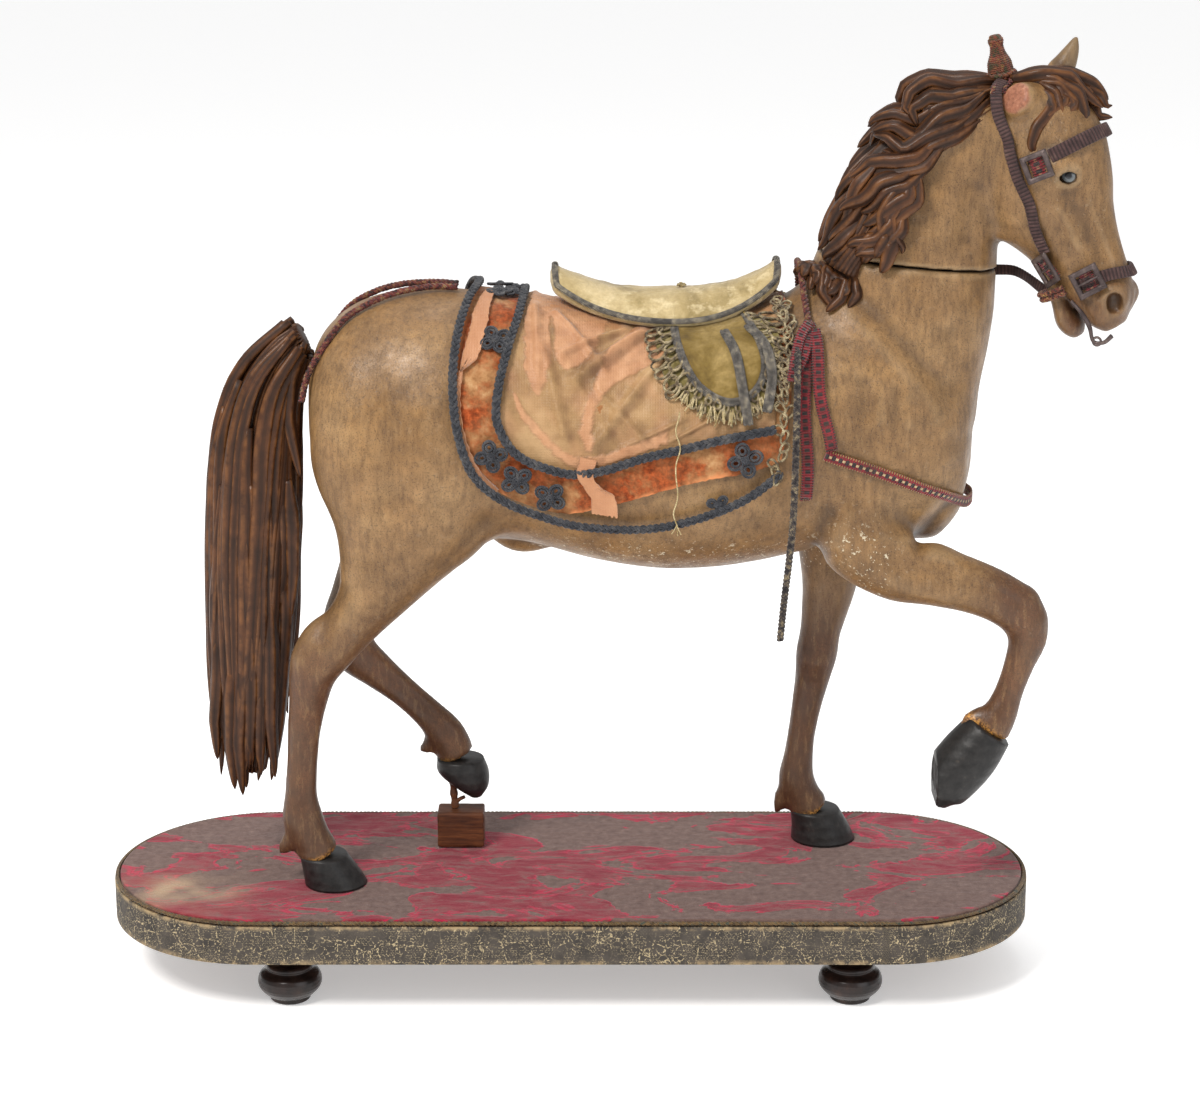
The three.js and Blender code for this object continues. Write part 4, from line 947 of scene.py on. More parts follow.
# Muscles and hollows drawn on both sides of the trunk and neck: points of x and z, rise, radius
BOTH_SIDES = [
    ([(-101, 322), (-106, 302), (-104, 277), (-98, 252)], 1.5, 14),
    ([(-72, 322), (-81, 295), (-85, 266), (-81, 240)], -1.1, 10),
    ([(-60, 300), (-62, 275), (-66, 250)], 0.9, 13),
    ([(-35, 242), (-48, 229), (-62, 212)], -1.6, 5.5),
    ([(-28, 236), (-38, 224)], 0.9, 6),
    ([(128, 348), (142, 334), (156, 320), (169, 307), (182, 293)], -2.4, 5.5),
    ([(121, 341), (139, 324), (154, 307), (168, 291), (178, 277)], 1.7, 6),
    ([(145, 307), (144, 283)], 1.0, 4), ([(150.5, 304), (151, 281)], -1.0, 3),
    ([(156, 299), (159, 280)], 1.0, 4),
    ([(136, 308), (134, 286)], -0.8, 4), ([(127, 318), (124, 292), (122, 268)], 1.1, 8),
    ([(124, 247), (119, 236), (118, 224), (123, 216)], -2.4, 4.5),
    ([(134, 246), (128, 234), (127, 222)], 1.4, 6),
    ([(172, 280), (180, 262)], 1.6, 9),
    ([(150, 350), (166, 343), (181, 329)], 0.9, 7),
    ([(176, 330), (180, 312), (184, 297)], -1.0, 4),
]
NEAR_ONLY = [
    ([(184, 246), (174, 237), (168, 228), (160, 222)], -3.0, 4.2),
    ([(141, 223), (160, 218), (182, 212)], -1.0, 3.5),
    ([(140, 233), (160, 228), (184, 219)], 1.2, 4.5),
    ([(146, 212), (165, 204), (182, 199)], 0.8, 4),
    ([(187, 221), (187, 209), (185, 197)], -0.55, 0.9),
    ([(213, 186), (210, 166), (204, 146)], -1.3, 2.4),
    ([(217, 190), (214, 170), (208, 150)], 0.8, 2.4),
    ([(203, 184), (203, 166), (200, 150)], 0.7, 2.2),
    ([(217, 205), (223, 199)], 1.0, 4), ([(222, 192), (224, 186)], 0.8, 3.5),
    ([(-103, 208), (-113, 192), (-119, 175)], -2.2, 4.2),
    ([(-92, 217), (-97, 201), (-107, 183)], 0.9, 6),
    ([(-133, 168), (-128, 166)], 1.5, 4.5), ([(-117, 164), (-122, 154), (-125, 146)], 1.0, 4),
    ([(-120, 172), (-124, 160)], -0.8, 3),
    ([(-124, 140), (-126, 124), (-129, 103), (-131, 88)], -1.2, 2.2),
    ([(-133, 138), (-134, 118), (-136, 98)], 0.6, 2.2), ([(-121, 138), (-123, 118), (-125, 98)], 0.6, 2.4),
]
FAR_ONLY = [
    ([(121, 140), (118, 118), (115, 92)], -1.2, 2.2), ([(129, 198), (128, 176), (126, 158)], -0.9, 3),
    ([(124, 150), (122, 143)], 1.2, 4), ([(-100, 200), (-108, 184)], -1.6, 4),
    ([(-112, 168), (-117, 164)], 1.2, 4),
    ([(-98, 146), (-84, 134), (-72, 122)], -1.1, 2.4),
]


def seam_height(points):
    """How far points lie over the seam plane between body and neck block."""
    slope = math.atan(SEAM_SLOPE)
    x, z = points[..., 0] - SEAM_X, points[..., 2] - SEAM_HIGH
    return x * math.sin(slope) + z * math.cos(slope)


def lock_rings(points, wide, thick, side=(0, 1, 0), rings=30, sides=11, ridges=6, twist=0.0, phase=0.0,
               blunt=0.35,
               groove=0.16):
    """A carved lock, a tapered flat body with ridges along it: its mesh and each point's ridge share."""
    table = keyed(points)
    keys = np.linspace(0, table[-1, 0], rings)
    row = row_at(table, keys)[:, 1:4]
    t = keys / keys[-1]
    swell = np.minimum(1, blunt + 2.2 * t) * np.sqrt(np.maximum(1 - t ** 3, 0.006))
    along = headings(row)
    side = np.asarray(side, float)
    across = unit(side - along * (along @ side)[:, None])
    out = np.cross(along, across)
    a = round_angles(sides * 2)
    crest = 0.5 + 0.5 * np.cos(ridges * a[None, :] + phase + twist * t[:, None] * 2 * math.pi)
    factor = (1 - groove + groove * crest ** 0.7) * swell[:, None]
    rings_out = (row[:, None, :] + (factor * np.cos(a) * wide / 2)[..., None] * out[:, None, :]
                 + (factor * np.sin(a) * thick / 2)[..., None] * across[:, None, :])
    mesh = tube_mesh(rings_out)
    ridge = np.concatenate([crest.ravel(), [0.5, 0.5]])
    return mesh, ridge


def hair_object(name, locks, *nodes):
    points, quads, tris, _ = gather([mesh for mesh, _ in locks])
    obj = make_object(name, points, [quads, tris], HAIR)
    attribute(obj, "ridge", np.concatenate([ridge for _, ridge in locks]))
    return finish_piece(obj, "painted_hair", *nodes)


def bend_of(points, clay, reach=1.6):
    """How much the surface bends at each point: positive in hollows, negative on ridges."""
    blurred = Clay.__new__(Clay)
    blurred.voxel, blurred.low, blurred.shape = clay.voxel, clay.low, clay.shape
    blurred.values = clay.values.copy()
    blurred.soften(reach)
    return -clay.sample(blurred.values, points) / (0.16 * reach)


def build_body():
    """Trunk, neck base, legs and tufts as one clay with its muscles, then the four hooves."""
    clay = Clay((-150, -64, 46), (238, 68, 366), BODY_VOXEL, BODY_BAND)
    clay.join(trunk.mesh(70, 64))
    clay.join(neck_base.mesh(30, 56), 9)
    for name, rows in LEGS.items():
        clay.join(Skin(keyed(rows)).mesh(70, 36), 7 if "hind" in name else 6)
    sheath = [(-6, MIDLINE, 224), (-24, MIDLINE, 219), (-42, MIDLINE, 226)]
    clay.join(lock_rings(sheath, 18, 16, ridges=0, groove=0, blunt=0.8)[0], 4)
    for start, end, wide in TUFTS:
        mid = [(a + b) / 2 for a, b in zip(start, end)]
        clay.join(lock_rings([start, mid, end], wide, wide * 0.8, rings=24, ridges=5, blunt=0.9)[0], 2.5)
    for line, rise, radius in BOTH_SIDES:
        path = [(x, 0, z) for x, z in line]
        clay.stroke(path, rise, radius, flat=1, side=-1)
        clay.stroke(path, rise, radius, flat=1, side=1)
    for side, lines in ((-1, NEAR_ONLY), (1, FAR_ONLY)):
        for line, rise, radius in lines:
            clay.stroke([(x, 0, z) for x, z in line], rise, radius, flat=1, side=side)
    clay.soften(1.5)
    # Coronet: a low roll round the top of each hoof
    for name, rows in {**HOOVES, "raised": RAISED_HOOF}.items():
        x, y, z, deep, wide = rows[0]
        a = np.linspace(0, 2 * math.pi, 25)
        if name == "raised":
            along = unit(np.array(rows[1][:3]) - rows[0][:3])
            other = np.cross(along, (0, 1, 0))
            ring = (np.array([x, y, z]) + along * 1.0 + np.cos(a)[:, None] * deep * other
                    + np.sin(a)[:, None] * wide * np.array([0, 1, 0]))
        else:
            ring = np.column_stack([x + deep * np.cos(a), y + wide * np.sin(a), np.full(25, z + 0.5)])
        clay.stroke(ring, 0.9, 1.8)
    over = seam_height(np.stack(np.meshgrid(
        *[(np.arange(n) + o) * clay.voxel for n, o in zip(clay.shape, clay.low)], indexing="ij"), -1))
    clay.values = np.maximum(clay.values, (over + SEAM_GAP / 2).astype(np.float32))
    points, quads = clay.mesh()
    hollow = bend_of(points, clay)
    x, y, z = points.T
    skin = make_object("horse_coat_body", points, quads, [COAT])
    rough = ripple(x * 1.0, z * 1.0 + y, 31, 40)
    leg = np.clip((196 + 8 * rough - z) / 40, 0, 1)
    raised = np.clip((x - 188 + 4 * rough) / 18, 0, 1) * (z < 262)
    attribute(skin, "leg", np.clip(np.maximum(leg, raised * 0.95), 0, 1) * 0.9)
    # Darker towards the bottom of the legs, and painted shade on the lower far side of the horse
    low_fade = np.clip((115 - z) / 40, 0, 1) * 0.35
    far_side_shade = np.clip((320 - z) / 90, 0, 1) * np.clip((y - 12) / 20, 0, 1) * 0.15
    attribute(skin, "dark", np.clip(low_fade + far_side_shade, 0, 1))
    belly = np.clip((232 - z) / 10, 0, 1) * (x > -20) * (x < 150) * (z > 196)
    elbow = np.exp(-((x - 133) / 16) ** 2 - ((z - 222) / 14) ** 2)
    flank = 0.05 * (z > 180)
    attribute(skin, "worn", np.clip(belly + elbow + flank, 0, 1))
    attribute(skin, "cavity", np.clip(hollow, -1, 1))
    coronet = np.zeros(len(points))
    for rows in list(HOOVES.values()) + [RAISED_HOOF]:
        d = np.linalg.norm(points - np.array(rows[0][:3]), axis=1)
        along = unit(np.array(rows[1][:3]) - rows[0][:3])
        high = np.abs((points - np.array(rows[0][:3])) @ along)
        coronet = np.maximum(coronet, (d < 19) * np.clip(1.6 - high / 1.8, 0, 1))
    attribute(skin, "coronet", np.clip(coronet, 0, 1))
    attribute(skin, "bare", np.clip((TAIL_JOINT_X + 3.5 - x) / 2, 0, 1) * (z > 250))
    top = -seam_height(points) - SEAM_GAP / 2
    attribute(skin, "seam", np.clip(1 - top / 0.9, 0, 1) * (x > 110) * 0.85)
    finish_piece(skin, "painted_coat", "horse_body")

    hooves = []
    for rows in HOOVES.values():
        table = [(-z, x, y, z, deep, wide) for x, y, z, deep, wide in rows]
        hooves.append(Skin(table, facing=(0, 0, -1)).mesh(16, 56))
    raised_hoof = Skin(keyed(RAISED_HOOF)).mesh(30, 56)
    block = Clay((165, -56, 90), (215, -14, 145), HOOF_VOXEL, HOOF_BAND)
    block.join(raised_hoof)
    grid_x = (np.arange(block.shape[0]) + block.low[0]) * block.voxel
    block.values = np.maximum(block.values, (RAISED_SOLE_X - grid_x)[:, None, None].astype(np.float32))
    for drop in (-9, -3.2, 3.2, 9):
        block.stroke([(RAISED_SOLE_X, -36 + drop, 103), (RAISED_SOLE_X + 0.5, -36 + drop * 0.8, 118)], -1.6,
                     1.3)
    block_points, block_quads = block.mesh()
    hooves.append((block_points, block_quads, np.zeros((0, 3), int)))
    points, quads, tris, _ = gather(hooves)
    hoof_object = make_object("hooves", points, [quads, tris], HOOF)
    finish_piece(hoof_object, "painted_coat", "horse_body")


build_body()


# Horse: head and neck

HEAD_YAW, HEAD_PITCH = math.radians(25), math.radians(31)
head_front = np.array([math.cos(HEAD_YAW), -math.sin(HEAD_YAW), 0])
head_down = head_front * math.sin(HEAD_PITCH) + np.array([0, 0, -math.cos(HEAD_PITCH)])
head_out = head_front * math.cos(HEAD_PITCH) + np.array([0, 0, math.sin(HEAD_PITCH)])
head_far = np.array([math.sin(HEAD_YAW), math.cos(HEAD_YAW), 0])
POLL = np.array([203.0, 0.0, 430.0])


def head_point(down, out, far):
    """A point of the head: down its length from the poll, out to its front, and to its far side."""
    return POLL + head_down * down + head_out * out + head_far * far


def head_places(points):
    """Points as down, out and far."""
    away = np.asarray(points) - POLL
    return np.stack([away @ head_down, away @ head_out, away @ head_far], -1)


def head_skin(rows, **options):
    table = [(down, *head_point(down, (front + back) / 2, 0), (front - back) / 2, half)
             for down, front, back, half in rows]
    return Skin(table, side=head_far, facing=head_down, **options)


# The ridge under the mane, from the poll down to the withers, without its last row
CREST_ROWS = [
    (208, -3, 435.3, 4.6, 8), (200, -3.5, 431, 6.4, 12), (191, -5, 425, 8, 15), (176, -6, 418, 12, 19),
    (161, -6, 408, 12, 21), (150, -5, 394, 11.6, 22), (141, -4, 377, 10.8, 24), (132, -3, 361, 10.4, 26),
]
# Skull and jaw: way down from the poll, front, back, half width
SKULL_ROWS = [
    (-4, 15, -6, 9), (2, 23, -16, 16), (12, 29, -25, 20.5), (24, 32.5, -30, 22.5), (36, 32.8, -32.5, 23),
    (47, 29.8, -33.2, 22), (57, 26, -32, 20), (66, 21.5, -27, 17), (76, 18, -22, 15), (86, 15.5, -19.5, 13.8),
    (96, 13.6, -17.5, 13.4), (105, 11.2, -15.5, 14.2), (112, 6.6, -13.5, 13), (118, 0.5, -9, 8),
]
JAW_ROWS = [
    (60, -12, -30, 12), (74, -14, -24.5, 10.5), (86, -15.5, -24.2, 10), (96, -16.3, -26.2, 10),
    (104, -16.6, -28.6, 10), (110, -17.4, -27.4, 8.6), (114, -19.8, -24.5, 5),
]
skull = head_skin(SKULL_ROWS, power=2.25, egg=0.12)
jaw = head_skin(JAW_ROWS)


def skull_angle(down, out):
    """The angle on the skull, counted to the far side, at a height out from the head's long axis."""
    row = row_at(skull.table, down)
    share = np.clip((out - (row[..., 1:4] - POLL) @ head_out) / row[..., 4], -1, 1)
    return np.arccos(np.sign(share) * np.abs(share) ** (skull.power / 2))


def face_point(down, out, side):
    return skull.at(down, side * skull_angle(down, out))


def face_line(stops, side):
    return np.array([face_point(down, out, side) for down, out in stops])


def ball(centre, radius, sides=28, rings=20, stretch=(1, 1, 1)):
    a = np.linspace(0.02, math.pi - 0.02, rings)
    profile = np.column_stack([np.sin(a), np.cos(a)])
    b = round_angles(sides)
    rings = np.stack([profile[:, :1] * np.cos(b), profile[:, :1] * np.sin(b),
                      np.broadcast_to(profile[:, 1:], (len(a), sides))], -1)
    points, quads, tris = tube_mesh(rings)
    return np.asarray(centre) + points * radius * np.asarray(stretch), quads, tris


EYE_DOWN, EYE_OUT, EYE_SIDE, EYE_RADIUS = 46.3, 13.8, 15.0, 4.3
FAR_EAR = [
    (*head_point(6, 20, 11), 7.5, 7), (228.6, 5, 441.7, 6.9, 6), (230.7, 5.4, 445.6, 5.5, 5),
    (233.5, 6, 451.3, 3.8, 3.6), (236, 6, 459.2, 0.8, 0.8),
]
NEAR_STUMP = [
    (*head_point(8, 12, -10), 8.5, 9), (*head_point(5, 10.5, -17), 8, 8.5),
    (*head_point(3, 10, -20.5), 7, 7.5),
]
# Strokes on both sides of the skull: stops of down and out, rise, radius
FACE_STROKES = [
    ([(18, -11), (23, -19), (30, -25), (38, -28.5), (47.5, -30), (55, -28), (62, -24)], 1.3, 4),
    ([(39, 8), (40.5, 13), (42.5, 17.5), (47, 20.5)], 1.3, 2.6),
    ([(43.8, 9.5), (43.9, 13), (45, 16.5), (48, 18.7)], 0.9, 1.2),
    ([(44.8, 9.5), (48.6, 11.4), (50.4, 14.8), (49.6, 18.4)], 0.7, 1.1),
    ([(51, 8), (53.5, 12), (53, 17)], -0.6, 1.8),
    ([(52, 3), (62, 3.5), (72, 2.5), (80, 1.5)], 1.1, 3),
    ([(56, 10), (68, 9), (80, 7.5), (92, 6)], -0.9, 3.4),
    ([(55.6, 17.5), (70.5, 14), (85.5, 11.6), (95.8, 10)], 0.7, 2.2),
    ([(71, -9), (69, -2), (74, 2), (86, 1.5)], 0.5, 1.0),
    ([(60, -8), (70, -12), (80, -14)], -0.7, 3),
    ([(28, 10), (34, 14)], -1.3, 4.5),
    ([(20, -2), (32, -5), (44, -8)], -0.5, 4),
    ([(103, 0.5), (101.5, 4), (103.5, 8.6), (108, 9.6), (112, 6.5), (112.3, 3)], 1.1, 1.7),
    ([(98, -9), (103, -6), (108, -3)], -0.8, 2.2),
    ([(97, -13.5), (103, -10.5), (110, -10), (116, -7.5)], 0.8, 1.8),
    ([(112, -4), (117, -1.5), (118, -4)], 0.6, 2),
]


def build_head():
    """Neck block, crest, skull, jaw and ears as one clay, with the face's forms drawn on it."""
    clay = Clay((108, -48, 312), (272, 42, 462), HEAD_VOXEL, HEAD_BAND)
    clay.join(neck.mesh(60, 72))
    crest_rows = [(x, y, z, deep * 0.86, wide * 0.86)
                  for x, y, z, deep, wide in CREST_ROWS + [(125, -3, 342, 11, 26)]]
    clay.join(Skin(keyed(crest_rows)).mesh(50, 40), 5)
    clay.join(skull.mesh(70, 72), 6)
    jaw_part = jaw.mesh(50, 40)
    clay.join(jaw_part, 1.6)
    for side in (-1, 1):
        clay.join(ball(head_point(106, 4.5, side * 9.2), 6.0, stretch=(1.05, 1, 1)), 4)
        clay.join(ball(head_point(40, 8, side * 12), 11), 7)
    ear = Skin(keyed(FAR_EAR))
    clay.join(ear.mesh(40, 32), 2)
    clay.join(Skin(keyed(NEAR_STUMP), side=head_out).mesh(24, 32), 2.5)
    # Neck: the hollow behind the cheek, the windpipe and soft folds
    for line, rise, radius in [
        ([(190, 395), (184, 378), (184, 362)], -1.5, 6), ([(177, 392), (172, 372), (170, 356)], 0.9, 7),
        ([(196, 374), (193, 362), (194, 350)], 0.8, 5), ([(160, 380), (158, 366), (160, 352)], -0.7, 6),
    ]:
        for side in (-1, 1):
            clay.stroke([(x, 0, z) for x, z in line], rise, radius, flat=1, side=side)
    for stops, rise, radius in FACE_STROKES:
        for side in (-1, 1):
            clay.stroke(face_line(stops, side), rise, radius)
    clay.soften(1.0)
    for side in (-1, 1):
        # Eye socket, then nostril
        clay.cut(ball(head_point(EYE_DOWN + 0.3, EYE_OUT, side * (EYE_SIDE + 3.2)), 3.6,
                      stretch=(1.2, 1, 0.8)), 1.2)
        clay.cut(ball(head_point(107, 5.0, side * 13.6), 4.3, stretch=(0.9, 1.1, 0.95)), 1.6)
        clay.cut(ball(head_point(109, 3.0, side * 11.0), 3.2), 2.0)
    # Mouth, from corner to corner
    for far in np.linspace(-12, 12, 9):
        clay.stroke([head_point(95, -16.6, far), head_point(104, -16.2, far), head_point(116, -14.5, far)],
                    -1.6, 1.1)
    # Ear's hollow, towards the front
    clay.stroke([head_point(0, 28, 6.5), (238, 0.6, 444), (238.6, 3.6, 452)], -1.3, 1.9)
    clay.soften(0.45)
    places = np.stack(np.meshgrid(*[(np.arange(n) + o) * clay.voxel for n, o in zip(clay.shape, clay.low)],
                                  indexing="ij"), -1)
    under = np.maximum(seam_height(places) - SEAM_GAP / 2, places[..., 0] - SEAM_END)
    clay.values = np.maximum(clay.values, -under.astype(np.float32))
    points, quads = clay.mesh()
    hollow = bend_of(points, clay, 1.2)
    skin = make_object("horse_coat_head", points, quads, [COAT])
    down, out, far = head_places(points).T
    x, y, z = points.T
    head = (down > 60) & (points[:, 0] > 205)
    muzzle = np.where(head, np.clip((down - 86) / 22, 0, 1), 0)
    lips = np.where(head, np.exp(-((out + 16) / 5) ** 2) * np.clip((down - 93) / 6, 0, 1), 0)
    attribute(skin, "leg", np.clip(muzzle * 0.6 + lips * 0.8, 0, 0.9))
    # Painted shade in the nostrils; round the eyes, dark lids and painted shade in their sockets
    holes = np.zeros(len(points))
    for side in (-1, 1):
        for centre, size in ((head_point(107.5, 4.5, side * 12.5), 3.9),
                             (head_point(EYE_DOWN, EYE_OUT, side * 18), 4.6)):
            holes = np.maximum(holes, np.clip(1.5 - np.linalg.norm(points - centre, axis=1) / size, 0, 1))
    # The far ear darker towards its back
    ear_dark = (np.clip((z - 440) / 4, 0, 1) * (y > 0) * (x > 224)
                * np.clip((236.5 + (z - 446) * 0.25 - x) / 2, 0.15, 1) * 0.8)
    attribute(skin, "dark", np.clip(np.maximum(holes * 1.1, ear_dark), 0, 1))
    attribute(skin, "worn", np.clip(0.02 + 0.2 * ripple(x, z, 3, 50), 0, 0.16))
    attribute(skin, "cavity", np.clip(hollow, -1, 1))
    attribute(skin, "coronet", np.zeros(len(points)))
    stump = np.linalg.norm(points - head_point(2.5, 10, -21.5), axis=1) + 1.2 * ripple(
        points[:, 0], points[:, 2], 4, 9)
    attribute(skin, "bare", np.clip((8.2 - stump) / 1.2, 0, 1))
    attribute(skin, "seam",
              np.clip(1 - (seam_height(points) - SEAM_GAP / 2) / 0.9, 0, 1) * (points[:, 0] < 206) * 0.85)
    finish_piece(skin, "painted_coat", "horse_head_neck")


def build_eyes():
    """Painted glassy eyes: grey-blue iris, dark pupil and rim."""
    p = Paint("painted eye", roughness=0.12, coat=0.6)
    iris = p.ramp(p.layer("gaze"), (0.0, (12, 12, 14)), (0.17, (20, 20, 24)), (0.22, (70, 76, 80)),
                  (0.36, (98, 102, 102)), (0.42, (36, 30, 26)), (0.52, (104, 86, 66)))
    iris.node.color_ramp.elements[0].position = 0.0
    p.colour(iris).bump(p.noise(900, 2), 0.02)
    parts, gazes = [], []
    for side in (-1, 1):
        centre = head_point(EYE_DOWN, EYE_OUT, side * EYE_SIDE)
        points, quads, tris = ball(centre, EYE_RADIUS, 40, 30)
        gaze = unit(head_far * side + head_out * 0.25 - head_down * 0.05)
        aim = unit(points - centre) @ gaze
        parts.append((points, quads, tris))
        gazes.append(np.arccos(np.clip(aim, -1, 1)) / math.pi * 1.6)
    points, quads, tris, _ = gather(parts)
    obj = make_object("eyes", points, [quads, tris], p.material)
    attribute(obj, "gaze", np.concatenate(gazes))
    finish_piece(obj, "painted_coat", "horse_head_neck")


build_head()
build_eyes()


# Carved hair: mane, forelock, locks on the withers and tail

NEAR_LOCKS = [
    [(199, -8, 433), (186, -14, 431), (175, -18, 428), (165, -20, 431), (159, -20, 427), (163, -22, 423)],
    [(192, -16, 432), (182, -20, 425), (172, -22, 421), (160, -22, 412), (149, -19, 415), (139, -14, 413)],
    [(188, -19, 424), (177, -23, 418), (167, -24, 413), (154, -24, 407), (146, -19, 410), (141, -14, 409)],
    [(171, -24, 413), (161, -26, 404), (150, -25, 400), (139, -20, 401), (132, -18, 394)],
    [(162, -26, 402), (154, -27, 394), (143, -26, 392), (136, -24, 384), (127, -20, 377)],
    [(158, -27, 398), (158, -28, 387), (150, -28, 380), (140, -27, 375), (130, -24, 368)],
    [(152, -28, 384), (151, -29, 374), (143, -29, 367), (133, -28, 364), (127, -26, 357)],
    [(150, -29, 371), (144, -30, 363), (141, -30, 354)],
]
UPPER_LOCKS = [
    [(201, -4, 436), (189, -9, 436), (177, -12, 435), (166, -15, 436), (158, -18, 432), (156, -20, 427),
     (161, -21, 424)],
    [(196, -12, 433), (184, -17, 429), (172, -19, 425), (161, -18, 420), (150, -15, 421), (141, -11, 417),
     (137, -8, 412)],
    [(176, -12, 430), (163, -15, 424), (152, -14, 417), (143, -9, 411), (135, -5, 404)],
    [(166, -10, 419), (153, -12, 409), (142, -12, 401), (133, -10, 392), (127, -8, 381)],
    [(150, -14, 402), (140, -16, 393), (131, -15, 383), (124, -13, 371), (119, -10, 360)],
    [(142, -20, 388), (133, -20, 377), (126, -18, 367), (120, -15, 357)],
    [(136, -22, 374), (128, -22, 366), (122, -20, 358), (121, -17, 353)],
    [(143, -22, 402), (136, -21, 391), (130, -18, 377), (122, -13, 361)],
    [(160, -26, 392), (152, -27, 388), (145, -28, 379), (146, -29, 370), (152, -30, 364), (149, -30, 358)],
    [(144, -27, 370), (136, -27, 363), (130, -25, 357)],
]
FORELOCKS = [
    [(204, -9, 438), (216, -14, 440), (229, -14, 439), (236, -15, 431), (241, -16, 425), (247, -15, 421)],
    [(216, -7, 440), (230, -7, 440), (240, -7, 435), (248, -8, 429)],
    [(212, -12, 437), (224, -16, 436.5), (229, -19.5, 430), (221, -23, 424), (216, -25, 416),
     (214, -26, 407)],
    [(207, 4, 436), (219, 6, 436), (231, 4, 434), (239, 2, 429)],
    [(206, -2, 437), (220, -2, 439), (234, -5, 437), (243, -9, 430), (246, -12, 424), (251, -12, 425)],
    [(210, -10, 438), (222, -15, 438), (231, -19, 433), (233, -21, 425), (229, -22, 418)],
    [(206, -6, 438), (216, -12, 438), (224, -17.5, 434), (227, -21, 427), (223, -24, 419), (219, -26, 413)],
    [(213, -12, 438), (221, -18, 433), (222, -22, 426), (217, -25.5, 418), (215, -27, 411),
     (217, -27.5, 405)],
]
WITHER_LOCKS = [
    [(122, -15, 352), (127, -21, 347), (124, -25, 342), (117, -27, 337)],
    [(116, -12, 354), (119, -18, 349), (114, -23, 341)],
    [(118, -4, 350), (112, 2, 348), (108, 6, 344)],
    [(122, 20, 352), (127, 27, 347), (121, 31, 339)],
    [(124, -8, 353), (121, -16, 350), (120, -22, 344), (124, -26, 338)],
    [(126, -12, 352), (131, -20, 348), (131, -26, 342), (127, -28, 337)],
    [(112, -4, 352), (113, -12, 350), (109, -18, 344)],
]


def mirrored(path, middle, ahead=0.0):
    return [(x + ahead, 2 * middle - y, z) for x, y, z in path]


def bundle(path, wide, thick, rng, count=3, curl=0.0, **options):
    """Strands side by side along one path, which part a little at the end."""
    path = np.asarray(path, float)
    along = headings(path)
    side = np.array([0.0, 1.0, 0.0])
    out = np.cross(along, unit(side - along * (along @ side)[:, None]))
    t = np.linspace(0, 1, len(path))[:, None]
    way = ways(path)
    fine = np.linspace(0, len(path) - 1, 4 * len(path))
    spread_row = np.arange(len(path))
    path, out, t = (np.stack([np.interp(fine, spread_row, c) for c in rows.T], -1) for rows in (path, out, t))
    way = np.interp(fine, spread_row, way)
    sway = curl * np.sin(way / 4.6 + rng.uniform(0, 6)) * (0.25 + 0.75 * t[:, 0])
    path = path + out * sway[:, None]
    made = []
    for n in range(count):
        place = (n - (count - 1) / 2) / max(count, 1) * wide
        wander = rng.uniform(-1.0, 1.0, 3) * t ** 2
        line = path + out * place * (0.75 + 0.5 * t) + wander
        if count > 1 and rng.random() < 0.4:
            line = line[:-3]
        made.append(lock_rings(line, wide / count * 1.7, thick * rng.uniform(0.85, 1.1),
                               phase=rng.uniform(0, 6), twist=rng.uniform(-0.25, 0.25),
                               ridges=int(rng.integers(4, 6)), groove=0.2, **options))
    return made


def build_mane():
    """A ridged crest with locks over it on both sides, the forelock, and the locks on the withers."""
    rng = np.random.default_rng(4)
    crest = Skin(keyed(CREST_ROWS + [(127, -3, 350, 11, 26)]))
    keys = np.linspace(crest.start, crest.end - 2, 50)
    angles = round_angles(100)
    waves = 0.5 + 0.5 * np.cos(26 * angles[None, :] + 3 * np.sin(keys[:, None] / 9) + keys[:, None] * 0.08)
    rings = crest.at(keys[:, None], angles[None, :], -1.4 + 1.4 * waves)
    locks = [(tube_mesh(rings), np.concatenate([waves.ravel(), [0.5, 0.5]]))]
    for path in NEAR_LOCKS:
        locks += bundle(path, 10.5, 10, rng, 2, 1.5)
    for path in UPPER_LOCKS:
        locks += bundle(path, 9.5, 9.5, rng, 2, 1.5)
    for path in NEAR_LOCKS + UPPER_LOCKS[:7]:
        locks += bundle(mirrored(path, -0.5, 2), 10, 8, rng, 2, rings=22, sides=9)
    for path in FORELOCKS:
        locks += bundle(path, 9.5, 9, rng, 2, 1.0, blunt=0.6)
    hair_object("mane", locks, "horse_head_neck")
    withers = []
    for path in WITHER_LOCKS:
        withers += bundle(path, 9, 9, rng, 2, rings=24)
    hair_object("wither_locks", withers, "horse_body")


TAIL_STRANDS = 46
# How far down the tail its strands begin
TAIL_JOINT = 5.0
TAIL_ROWS = [
    (-122, 2, 319, 7, 8), (-133, 2, 312, 10, 12), (-144, 2, 293, 14, 16), (-150, 2, 268, 17, 18),
    (-152, 2, 240, 18, 19), (-154, 2, 210, 18, 19), (-155, 2, 180, 18, 18), (-157, 2, 150, 17, 17),
    (-159, 2, 122, 14, 14), (-160, 2, 100, 10, 10),
]


